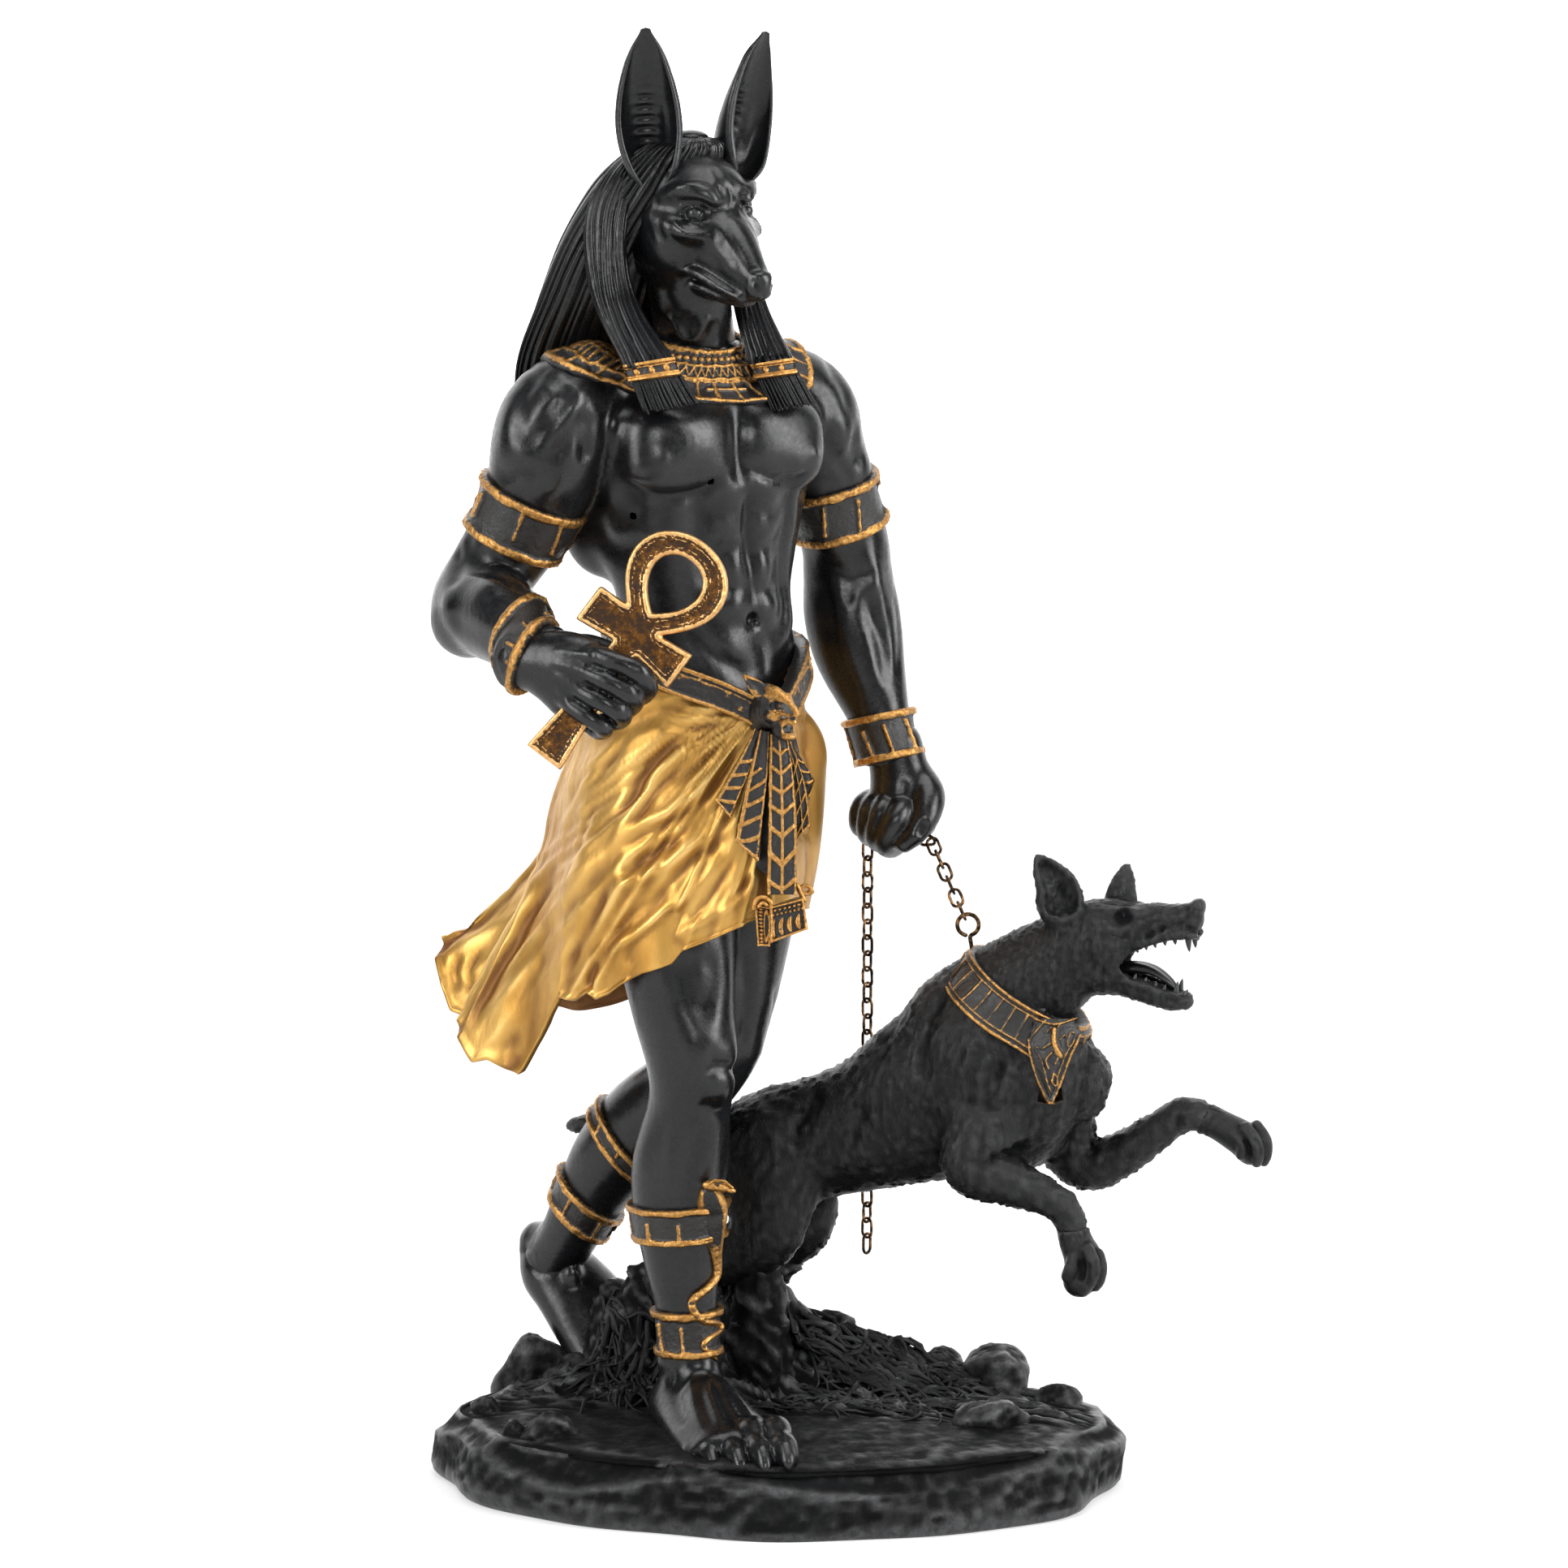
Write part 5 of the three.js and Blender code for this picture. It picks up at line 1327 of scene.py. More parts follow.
    # ribs and the saw-edged muscle
    for x, y, r1, r2, ro, hh in (
        (500, 742, 3.4, 2.2, 30, 0.8), (606, 742, 2.7, 2.0, 20, 0.7), (500, 800, 2.9, 2.0, 24, 0.7),
        (604, 802, 2.8, 1.9, 14, 0.85), (520, 862, 2.8, 1.8, 20, 0.6), (612, 862, 3.0, 1.8, 14, 0.6),
        (740, 770, 4.2, 2.6, 10, 0.55), (745, 850, 4.0, 2.4, 8, 0.5), (470, 960, 4.6, 6.0, -20, 0.6),
        (1180, 720, 2.2, 2.2, -20, 0.7), (1176, 790, 2.0, 2.2, -20, 0.7), (1168, 860, 2.0, 2.2, -18, 0.6),
    ):
        mass(w([(x, y)])[0], (r1, 3, r2), hh, roll=ro)
    # nipples
    for x, y in ((670, 575), (1262, 560)):
        groove(w([(x, y)]), 1.35, -0.75, sharp=4.0)
        groove(w([(x, y)]), 0.55, 0.95, sharp=3.0)
    gain[:] = 1.3, 1.3
    # right shoulder and arm
    groove(w([(205, 240), (150, 330), (130, 430), (165, 540)]), 2.0, 0.5)
    groove(w([(330, 300), (270, 400), (200, 480), (150, 560)]), 1.4, 0.6)
    groove(w([(395, 330), (352, 440), (300, 520), (240, 600)]), 1.4, 0.7)
    mass(w([(350, 370)])[0], (3.2, 4, 5.4), 0.8, roll=14)
    mass(w([(240, 380)])[0], (2.6, 4, 7.4), 0.7, roll=22)
    mass(w([(90, 470)])[0], (4.0, 4, 8.0), 0.5, roll=6)
    mass(w([(250, 705)])[0], (3.6, 4, 3.4), 0.8, roll=30)
    groove(w([(40, 655), (120, 640), (210, 660)]), 1.2, 0.6)
    # right elbow and forearm
    groove(h([(232, 440), (300, 448), (380, 478), (448, 545)]), 1.1, 1.3)
    groove(h([(196, 360), (204, 430), (186, 520)]), 1.6, 0.7)
    mass(h([(330, 520)])[0], (7.0, 4, 3.6), 0.8, roll=28)
    groove(h([(170, 640), (260, 690), (350, 740)]), 2.2, 0.5)
    mass(h([(160, 590)])[0], (2.6, 3, 3.4), 0.6)
    groove(h([(250, 290), (240, 380), (262, 440)]), 1.8, 0.5)
    # left shoulder and arm
    groove(w([(1300, 180), (1350, 260), (1385, 330), (1392, 420)]), 1.5, 0.5)
    groove(a([(300, 60), (330, 140), (372, 200), (385, 245)]), 1.4, 0.6)
    groove(a([(405, 60), (396, 140), (420, 190)]), 1.2, 0.7)
    mass(a([(355, 90)])[0], (3.0, 4, 6.4), 0.7, roll=-8)
    mass(a([(428, 215)])[0], (4.2, 4, 4.0), 0.9, roll=-40)
    mass(a([(250, 200)])[0], (4.4, 4, 5.6), 0.7)
    groove(a([(262, 545), (330, 530), (390, 560), (430, 545), (470, 560)]), 1.5, 0.55)
    groove(a([(398, 560), (380, 600), (392, 640)]), 0.8, 0.5)
    mass(a([(465, 560)])[0], (2.2, 3, 5.4), 0.8, roll=-8)
    groove(a([(455, 560), (452, 660), (480, 740), (500, 830), (508, 920)]), 1.6, 0.8)
    groove(a([(520, 590), (540, 680), (545, 800), (535, 930)]), 1.0, 0.45)
    groove(a([(300, 560), (310, 700), (360, 860), (420, 980)]), 2.4, 0.45)
    mass(a([(375, 780)])[0], (5.4, 4, 11), 0.6, roll=-10)
    mass(a([(300, 420)])[0], (4.0, 3, 5.0), 0.5)
    m.lay()
    # the back: spine, shoulder blades, ribs
    for s in (-1, 1):
        f.ops.append(("mod", Swell(trunk(-13.6, s * 9.2, 202), (6.4, 4, 8.6), turn(BODY_YAW, 0, s * -14), 1.5), 0.0))
        f.ops.append(("mod", Swell(trunk(-11.4, s * 5.2, 178), (3.6, 4, 17), turn(BODY_YAW, 0, s * 3), 1.4), 0.0))
        f.ops.append(("mod", Swell(trunk(-12.5, s * 17, 188), (5.0, 5, 12), turn(BODY_YAW, 0, s * -12), 1.2), 0.0))
    f.ops.append(
        ("mod", Crease([trunk(-15.6, 0, 212), trunk(-15.4, 0, 198), trunk(-12.6, 0, 182), trunk(-11.8, 0, 166)], 1.6, 1.6), 0.0)
    )
    return f


# ---------------------------------------------------------------- legs
R_LEG = [
    [-21, 0, 140, 12, 13],
    [-21.5, -3, 126, 12.4, 12.8],
    [-20.5, -6, 110, 11.6, 12],
    [-19, -8.5, 96, 9.8, 10.4],
    [-17.2, -9.8, 84, 8.4, 9.0],
    [-17.6, -8, 75, 7.8, 8.4],
    [-19.4, -5.6, 64, 9.0, 9.4],
    [-19.8, -5, 56, 8.8, 9.0],
    [-19.2, -5.2, 46, 7.5, 7.7],
    [-18.2, -5.8, 35, 5.7, 6.3],
    [-17.8, -6, 26, 5.2, 6.4],
    [-17.5, -7, 19, 5.8, 7.2],
]
L_LEG = [
    [-5.5, 9, 140, 12, 13],
    [-6.5, 8, 124, 11.8, 12.2],
    [-8.5, 6.5, 108, 10.6, 11.2],
    [-10.2, 4.5, 94, 9.0, 9.6],
    [-12.5, 4.5, 84.5, 8.3, 8.5],
    [-18, 10, 76, 8.3, 8.5],
    [-25.5, 16, 68, 9.3, 9.1],
    [-32.5, 21, 59.5, 8.5, 8.5],
    [-38, 25.5, 50, 6.7, 6.9],
    [-42, 29, 42, 5.7, 6.0],
    [-45.5, 33, 36, 5.7, 6.2],
]
LEG_SIDE = vec(0.86, 0.5, 0)
L_LEG_SIDE = vec(0.9, -0.2, 0.4)


def figure_legs():
    f = Form()
    f.add(Limb(R_LEG, LEG_SIDE))
    f.add(Limb(L_LEG, L_LEG_SIDE), 1.4)
    k = W_KILT
    m = Marks(f, k)
    same = lambda pts: pts

    def groove(pts, width, height, **kw):
        m.line(pts, width, height, win=same, **kw)

    def mass(where, r, height, roll=0.0, yaw=30.0, sharp=2.0):
        m.mass(*where, r, height, roll, yaw, sharp, win=same)

    # right thigh and knee
    groove(k([(900, 1100), (930, 1250), (1000, 1400)]), 2.4, 0.7)
    groove(k([(1115, 1060), (1122, 1200), (1118, 1330), (1100, 1440)]), 1.1, 0.9)
    groove(k([(985, 1090), (1000, 1220), (960, 1330)]), 1.8, 0.5)
    mass(k([(1050, 1180)])[0], (4.2, 4, 9.5), 0.8, roll=4)
    mass(k([(850, 1230)])[0], (5.0, 4, 12), 0.6, roll=-10)
    mass(k([(1040, 1440)])[0], (3.0, 3, 2.6), 0.9)
    groove(k([(950, 1400), (990, 1440), (1010, 1490)]), 1.1, 0.8)
    mass(k([(1000, 1380)])[0], (3.0, 3, 4.4), 0.6, roll=10)
    # kneecap, tendon, shin bone, calf
    full = lambda pts: np.array(pts, float)
    mass((889, 1338), (3.4, 3.4, 3.6), 1.7, roll=-10)
    mass((862, 1290), (3.6, 3.4, 6.0), 1.2, roll=-14)
    mass((900, 1296), (2.2, 3, 4.6), 1.0, roll=10)
    groove(full([(864, 1324), (880, 1314), (900, 1316), (914, 1330)]), 1.2, 1.2)
    groove(full([(866, 1354), (884, 1368), (906, 1362)]), 1.2, 1.1)
    groove(full([(886, 1366), (878, 1420), (868, 1480), (862, 1560)]), 1.3, -0.45)
    groove(full([(868, 1390), (852, 1450), (846, 1500)]), 1.6, 0.5)
    groove(full([(898, 1390), (892, 1450), (880, 1500)]), 1.6, 0.4)
    mass((828, 1440), (3.2, 3, 9.0), 0.6, roll=6)
    mass((902, 1430), (1.8, 3, 7.0), 0.6)
    mass((850, 1310), (2.6, 3, 5.0), 0.7, roll=-12)
    # left thigh seen beyond
    mass(k([(1190, 1250)])[0], (3.6, 4, 8.0), 0.7, roll=10)
    groove(k([(1210, 1200), (1205, 1330), (1170, 1440)]), 1.3, 0.6)
    mass(k([(1150, 1440)])[0], (3.4, 3, 3.4), 0.6)
    m.lay()
    return f


def solid_piece(name, form, cell, mat, slot, keep=None, lo=None, hi=None, smooth_times=1, rough=0.0, seed=0, cav=2.5):
    V, F = form.mesh(cell, keep, lo, hi)
    V = relax(V, F, smooth_times, 0.4)
    if rough:
        N = vnormals(V, F)
        V = V + N * (rough * fbm(V, 0.35, 3, seed))[:, None]
    c = hollow(V, F) / (cell * COARSE) * cav
    return piece(name, V, F, mat, slot, attrs={"cav": c})


UPPER = figure_upper()
LEGS = figure_legs()


def build_figure():
    solid_piece(
        "figure_trunk", UPPER, 0.74, SKIN, "black_resin",
        keep=lambda P: np.maximum(np.where((P[:, 0] > 10.6) & (P[:, 1] > 8), 137.0, 142.0) - P[:, 2], P[:, 2] - 221.0),
        rough=0.05, seed=3,
    )
    solid_piece("figure_legs", LEGS, 0.68, SKIN, "black_resin", keep=lambda P: P[:, 2] - np.where(P[:, 0] > 6.0, 121.0, 132.0), rough=0.05, seed=5)


build_figure()


# ---------------------------------------------------------------- hands and feet
def chain_of(pts, r, squash=1.0):
    """A jointed finger: points along it and its radius at each."""
    return [[*p, q, q * squash] for p, q in zip(pts, r)]


def depth_points(win, rows):
    """Rows are (x, y in a window, depth Y)."""
    return [at_depth(win([(x, y)]), d)[0] for x, y, d in rows]


def right_hand():
    f = Form()
    h = W_HAND
    wrist = depth_points(h, [(440, 790, -37.5), (530, 800, -40.5), (620, 820, -43.5), (700, 850, -45.6)])
    f.add(Limb([[*wrist[0], 5.6, 4.8], [*wrist[1], 5.9, 4.3], [*wrist[2], 6.6, 3.9], [*wrist[3], 6.7, 3.3]], h2w(0.2, 1)))
    # the palm's thick side and the thumb behind the handle
    p = depth_points(h, [(600, 770, -40.5), (700, 760, -40), (800, 790, -40), (880, 850, -40.5)])
    f.add(Limb(chain_of(p, [3.4, 3.2, 2.8, 2.3]), vec(0, 0, 1)), 1.6)
    p = depth_points(h, [(560, 880, -41), (620, 950, -41.5), (680, 1010, -42)])
    f.add(Limb(chain_of(p, [3.6, 3.4, 2.8]), vec(0, 0, 1)), 2.0)
    fingers = (
        [(650, 775, -45.2), (738, 782, -47.6), (830, 808, -49.6), (905, 846, -49.4), (936, 900, -46.4), (905, 935, -42.8), (850, 930, -41.6)],
        [(650, 830, -45.4), (728, 852, -48.0), (800, 888, -49.8), (862, 924, -49.4), (884, 958, -46.4), (850, 985, -43.0), (800, 975, -41.8)],
        [(630, 890, -45.2), (700, 925, -47.6), (765, 960, -49.2), (822, 992, -48.6), (838, 1018, -45.8), (806, 1034, -42.8), (760, 1020, -41.8)],
        [(600, 940, -44.6), (656, 982, -46.6), (712, 1022, -48.0), (760, 1050, -47.2), (770, 1066, -44.8), (742, 1072, -42.4), (700, 1056, -41.6)],
    )
    for i, rows in enumerate(fingers):
        k = (1.95, 1.85, 1.78, 1.62)[i]
        p = depth_points(h, rows)
        f.add(Limb(chain_of(p, [k * 0.8, k * 1.12, k * 0.98, k * 1.08, k * 0.98, k * 0.92, k * 0.6]), vec(0.3, 0, 1)), 0.42)
    m = Marks(f, h)
    groove = m.line

    # sinews of the back of the hand, hollows between the knuckles, folds over the joints
    for a, b, c in (((560, 760), (640, 765), (715, 775)), ((560, 800), (630, 820), (700, 842)), ((565, 850), (620, 875), (672, 910)), ((575, 900), (610, 935), (640, 965))):
        groove([a, b, c], 0.55, -0.42)
    groove([(700, 812), (730, 818), (770, 838)], 0.55, 0.7)
    groove([(672, 880), (704, 890), (740, 908)], 0.5, 0.6)
    groove([(628, 945), (664, 952), (700, 972)], 0.5, 0.6)
    groove([(716, 745), (724, 790), (700, 815)], 0.5, 0.35)
    for x, y in ((894, 826), (856, 908), (812, 976), (752, 1036)):
        groove([(x - 8, y - 26), (x + 4, y), (x, y + 26)], 0.32, 0.3)
        groove([(x - 26, y - 30), (x - 12, y - 4), (x - 18, y + 18)], 0.3, 0.22)
    m.lay()
    return f


def h2w(x, z):
    return vec(x, 0, z)


def left_hand():
    f = Form()
    a = W_ARM
    p = depth_points(a, [(530, 1100, 20.2), (545, 1180, 18.6), (560, 1260, 17.4), (560, 1330, 17.0)])
    f.add(Limb([[*p[0], 5.4, 5.0], [*p[1], 5.8, 5.2], [*p[2], 7.0, 5.4], [*p[3], 6.4, 4.6]], vec(1, 0, 0), 2.2))
    # fingers roll under towards the palm; the first is nearest and largest
    fingers = (
        [(560, 1270, 15.4), (546, 1308, 11.6), (520, 1352, 10.0), (500, 1402, 11.8), (520, 1420, 16.0), (560, 1400, 19.6)],
        [(510, 1266, 16.4), (488, 1294, 12.6), (470, 1340, 11.4), (466, 1392, 13.4), (488, 1408, 17.4), (520, 1392, 21.0)],
        [(474, 1262, 18.0), (450, 1286, 14.6), (434, 1326, 13.6), (436, 1376, 15.6), (456, 1392, 19.0), (490, 1380, 22.0)],
        [(446, 1258, 20.0), (422, 1280, 17.0), (406, 1312, 16.4), (410, 1352, 18.2), (430, 1370, 21.0), (462, 1366, 23.4)],
    )
    for i, rows in enumerate(fingers):
        k = (2.3, 1.9, 1.7, 1.55)[i]
        p = depth_points(a, rows)
        f.add(Limb(chain_of(p, [k, k * 1.12, k, k * 1.05, k * 0.95, k * 0.7]), vec(1, 0, 0)), 0.4)
    # ball of the thumb and the thumb, closing on the first finger
    p = depth_points(a, [(600, 1190, 18.4), (632, 1250, 15.0), (630, 1310, 12.0), (600, 1370, 10.0), (560, 1408, 9.6)])
    f.add(Limb(chain_of(p, [3.2, 3.5, 3.0, 2.35, 1.9]), vec(0, 1, 0)), 0.7)
    p = depth_points(a, [(560, 1300, 24.0), (610, 1360, 23.0)])
    f.add(Blob(p[0], (6.4, 5.0, 6.6)), 2.0)
    m = Marks(f, a)
    groove = m.line

    groove([(560, 1200), (556, 1240), (548, 1270)], 0.8, 0.3)
    groove([(632, 1340), (618, 1360), (612, 1392)], 0.8, 1.1)
    for x, y in ((524, 1350), (472, 1340), (436, 1326), (408, 1312)):
        groove([(x - 14, y), (x, y + 5), (x + 14, y)], 0.3, 0.22)
    m.lay()
    # the tunnel that the chain runs through
    f.cut(Limb([[28.9, 13.0, 125.6, 1.5, 1.5], [23, 17.6, 123.2, 1.5, 1.5], [17.0, 22.2, 120.4, 1.5, 1.5]], vec(0, 0, 1)), 0.4)
    return f


SHIN = window(650, 1280, 2.8)


def front_foot():
    f = Form()
    k = SHIN
    f.add(Limb([[-17.7, -6.4, 36, 5.4, 6.2], [-17.6, -6.6, 28, 5.0, 6.0], [-17.5, -6.4, 20, 5.6, 7.0], [-17.6, -5, 14, 5.4, 7.0]], LEG_SIDE))
    f.add(Limb([[-20, 1.5, 15.6, 4.4, 4.2], [-18, -5, 17.4, 5.2, 5.6], [-14.2, -14, 18.0, 6.0, 5.6], [-10.6, -23, 16.2, 7.6, 4.6], [-8.0, -30.5, 14.8, 8.4, 3.6]], vec(0.9, 0.42, 0)), 3.0)
    f.add(Limb([[-21.4, 0, 15.0, 4.2, 4.6], [-20.4, -8, 15.4, 4.4, 4.8], [-18.4, -17, 14.8, 4.2, 4.2], [-16.2, -25, 13.6, 4.0, 3.4], [-14.6, -31, 12.8, 3.2, 2.2]], vec(0.9, 0.42, 0)), 3.0)
    f.add(Blob((-21.8, -6.4, 25.4), (2.0, 2.6, 2.6)), 2.0)
    f.add(Blob((-12.8, -4.0, 26.2), (2.0, 2.6, 2.6)), 2.0)
    foot = window(780, 1500, 4.0)
    toes = (
        ((262, 1110), (300, 1190), -31.5, 1.9),
        ((350, 1085), (396, 1210), -35.0, 2.2),
        ((462, 1070), (528, 1216), -37.5, 2.35),
        ((590, 1040), (648, 1214), -39.0, 2.4),
        ((712, 1040), (762, 1190), -39.0, 2.6),
    )
    for i, (a, b, y, r) in enumerate(toes):
        p0 = at_depth(foot([a]), y + 8.0)[0]
        p3 = at_depth(foot([b]), y)[0]
        back = p0 + (p0 - p3) * 0.3 - vec(0, 0, 1.6)
        p0 = p0 - vec(0, 0, 0.5)
        p1 = p0 * 0.62 + p3 * 0.38 + vec(0, -0.4, 0.2)
        p2 = p0 * 0.3 + p3 * 0.7 + vec(0, -0.7, 0.7)
        f.add(Limb([[*back, r * 0.95, r * 0.9], [*p0, r * 1.06, r * 1.1], [*p1, r * 0.94, r * 0.92], [*p2, r * 1.02, r], [*p3, r * 0.9, r * 0.8]], vec(1, 0, 0)), 0.5)
        # nail, long and curved
        n1 = p2 * 0.8 + p3 * 0.2 + vec(0, -r * 0.62, r * 0.5)
        n2 = p3 + vec(0.1, -r * 0.85, r * 0.1)
        n3 = p3 + vec(0.15, -r * 1.15, -r * 0.5)
        f.add(Limb([[*n1, r * 0.55, r * 0.4], [*n2, r * 0.55, r * 0.4], [*n3, r * 0.25, r * 0.22]], vec(1, 0, 0)), 0.08)
    m = Marks(f, k)
    groove = m.line

    for pts in ([(295, 760), (290, 900), (340, 1050)], [(360, 765), (395, 900), (445, 1035)], [(400, 770), (470, 880), (560, 1000)], [(430, 780), (530, 900), (660, 1015)]):
        groove(pts, 0.9, -0.34, win=foot)
    for pts in ([(330, 800), (345, 920), (395, 1050)], [(385, 800), (435, 900), (510, 1040)], [(430, 830), (510, 930), (620, 1040)], [(200, 760), (185, 830), (220, 900)]):
        groove(pts, 0.9, 0.4, win=foot)
    groove([(520, 1180), (515, 1250), (545, 1330)], 1.5, 0.6)
    m.lay()
    return f


def rear_foot():
    f = Form()
    f.add(
        Limb(
            [[-44.6, 32.6, 38.0, 5.8, 5.8], [-48.0, 35.2, 39.6, 3.8, 4.0], [-45.6, 34.0, 35.6, 7.0, 5.6], [-39.6, 30.6, 29, 8.8, 6.0],
             [-34.4, 27.0, 22.4, 9.6, 5.4], [-30.8, 23.6, 18.2, 9.0, 4.0]],
            vec(0.9, 0.42, 0),
        )
    )
    f.add(Limb([[-41, 28, 44, 5.4, 5.8], [-44.4, 31.6, 38, 5.2, 5.6], [-44.0, 32.6, 33, 6.4, 5.4]], L_LEG_SIDE), 2.0)
    f.add(Blob((-41.2, 27.0, 34.6), (2.0, 2.2, 2.6)), 1.4)
    for i in range(5):
        s = (i - 2) * 2.6
        c = vec(-32.4, 23.6, 18.0) + unit(vec(0.9, 0.42, 0)) * s
        d = unit(vec(0.62, -0.72, -0.28))
        r = 1.7 if i else 2.0
        f.add(Limb([[*(c - d * 1), r, r], [*(c + d * 3), r * 1.1, r * 1.05], [*(c + d * 5.6), r, r * 0.85]], vec(0.9, 0.42, 0)), 0.4)
    return f


def build_hands():
    solid_piece("figure_right_hand", right_hand(), 0.42, SKIN, "black_resin", rough=0.03, seed=11)
    solid_piece("figure_left_hand", left_hand(), 0.42, SKIN, "black_resin", rough=0.03, seed=12)
    solid_piece("figure_front_foot", front_foot(), 0.46, SKIN, "black_resin", keep=lambda P: P[:, 2] - 34.0, rough=0.04, seed=13)
    solid_piece("figure_rear_foot", rear_foot(), 0.55, SKIN, "black_resin", rough=0.04, seed=14)


build_hands()


# ---------------------------------------------------------------- the jackal's head
HF, HL = ahead(HEAD_YAW), beside(HEAD_YAW)


def figure_head():
    f = Form()
    hd = W_HEAD

    def rows(*r):
        return [[*head(q[0], q[1], q[2]), *q[3:]] for q in r]

    # skull, forehead, neck, muzzle
    f.add(Blob(head(-2.6, -0.6, 248.2), (10, 11.5, 9.8), turn(HEAD_YAW)))
    f.add(Blob(head(5.0, 0, 248.6), (7.2, 6.6, 6.4), turn(HEAD_YAW, -24)), 3.0)
    neck = [trunk(-0.5, 0, 208), trunk(-0.2, 0, 214), trunk(0.0, 0.0, 221), head(-1.4, 0, 230), head(-3, 0, 240)]
    f.add(Limb([[*neck[0], 12, 10.5], [*neck[1], 9.2, 8.6], [*neck[2], 7.7, 7.9], [*neck[3], 7.6, 8.2], [*neck[4], 8.6, 9]], LF), 1.0)
    f.add(
        Limb(
            rows(
                (-3, 0, 245.5, 9.4, 9.2, 9.4), (3, 0, 243.6, 9.0, 8.6, 10.2), (8, 0, 240.4, 6.9, 7.0, 8.4), (11.5, 0, 238.0, 5.3, 6.6, 7.4),
                (15, 0, 235.6, 4.0, 5.5, 6.0), (18.2, 0, 233.6, 3.1, 4.0, 4.2), (20.4, 0, 232.6, 2.5, 3.0, 2.7),
            ),
            HL, 2.3, 0.8,
        ),
        1.4,
    )
    for s in (-1, 1):
        # jaw muscle, cheekbone, brow
        f.add(Blob(head(-1.3, s * 6.2, 240.0), (5.3, 9.2, 8.2), turn(HEAD_YAW, -14)), 1.8)
        f.add(Limb(rows((-3, s * 9.4, 245.4, 1.4, 1.6), (3.4, s * 9.2, 243.6, 1.5, 1.6), (8.0, s * 7.9, 242.2, 1.5, 1.6), (10.8, s * 5.6, 241.6, 1.0, 1.2)), UP), 1.8)
        f.add(Limb(rows((2.8, s * 8.8, 248.6, 0.9, 1.0), (6.6, s * 8.0, 250.0, 1.25, 1.4), (9.6, s * 5.8, 250.0, 1.4, 1.5), (11.2, s * 3.6, 248.4, 1.2, 1.3)), UP), 1.1)
        # upper lip, hanging over the mouth
        f.add(Limb(rows((4.8, s * 6.4, 235.2, 0.9, 1.0), (9.0, s * 5.3, 234.2, 1.1, 1.25), (13.6, s * 3.9, 232.0, 1.1, 1.3), (18.0, s * 2.3, 230.4, 1.0, 1.1)), UP), 1.2)
    # bridge of the muzzle, lower jaw, nose pad
    f.add(Limb(rows((9.4, 0, 245.4, 2.3, 1.7), (13.2, 0, 241.6, 1.9, 1.4), (16.6, 0, 238.4, 1.8, 1.4), (19.4, 0, 235.2, 1.9, 1.4)), HL), 1.6)
    f.add(Limb(rows((-1.5, 0, 234.6, 6.2, 3.0), (5.0, 0, 232.4, 5.0, 2.4), (11, 0, 230.4, 3.6, 1.7), (16.4, 0, 229.6, 2.2, 1.3)), HL), 0.7)
    f.add(Blob(head(20.6, 0, 232.9), (2.5, 2.3, 2.9), turn(HEAD_YAW, 4), 2.6), 0.5)

    o = vec(-16.5, -1.5, 0)
    m = Marks(f, hd, (o, HL))

    gain = [0.62]

    def groove(pts, width, height, **kw):
        m.line(pts, width, height * gain[0], **kw)

    def both(pts, width, height, **kw):
        m.line(pts, width, height * gain[0], both=True, **kw)

    def mass(x, y, r, height, roll=0.0, sharp=2.0, mirror=True, yaw=10.0):
        m.mass(x, y, r, height * gain[0], roll, yaw, sharp, both=mirror)

    # eye: socket, ball, lids
    eye = seen(m.base, hd([(932, 686)]), sink=0.7)[0]
    for k, c in enumerate((eye, eye - 2 * ((eye - o) @ HL) * HL)):
        f.ops.append(("mod", Swell(c, (2.6, 2.4, 1.5), turn(10 if k == 0 else 64, -8, (-12, 12)[k]), -1.3, 2.6), 0.0))
        f.add(Blob(c - HF * 0.2, (1.55, 1.5, 1.4), turn(10)), 0.12)
    both([(868, 678), (892, 662), (930, 655), (966, 664), (992, 700)], 0.42, -0.85)
    both([(872, 684), (900, 706), (940, 718), (980, 712)], 0.36, -0.7)
    both([(884, 676), (925, 668), (962, 676), (984, 704)], 0.22, 0.45, ends=0.0)
    both([(866, 694), (890, 728), (930, 742), (975, 738)], 0.42, 0.55)
    both([(860, 700), (884, 745), (925, 765)], 0.5, -0.42)
    both([(852, 660), (880, 640), (935, 632), (985, 648), (1012, 668)], 0.55, -0.75)
    both([(850, 640), (868, 618), (925, 606), (968, 612)], 0.42, 0.4)
    both([(862, 606), (910, 592), (960, 590)], 0.5, -0.4)
    mass(988, 604, (1.2, 1.6, 1.5), 0.75, mirror=True)
    mass(1020, 640, (0.8, 1.2, 1.0), 0.6)
    # furrows between the brows, running on to the bridge
    groove([(1030, 590), (1050, 640), (1040, 700)], 0.42, 0.75)
    groove([(1052, 600), (1070, 650), (1062, 700)], 0.36, 0.6)
    groove([(1000, 590), (1010, 612), (1002, 635)], 0.3, 0.35)
    groove([(1085, 610), (1078, 660), (1092, 700)], 0.42, 0.6)
    groove([(985, 535), (1010, 575), (1030, 600)], 0.6, 0.35)
    groove([(1040, 560), (1060, 600)], 0.6, 0.3)
    both([(1036, 705), (1052, 770), (1082, 830), (1110, 870)], 0.5, 0.45)
    groove([(1010, 770), (1040, 820), (1075, 865)], 0.8, 0.35)
    gain[0] = 0.3
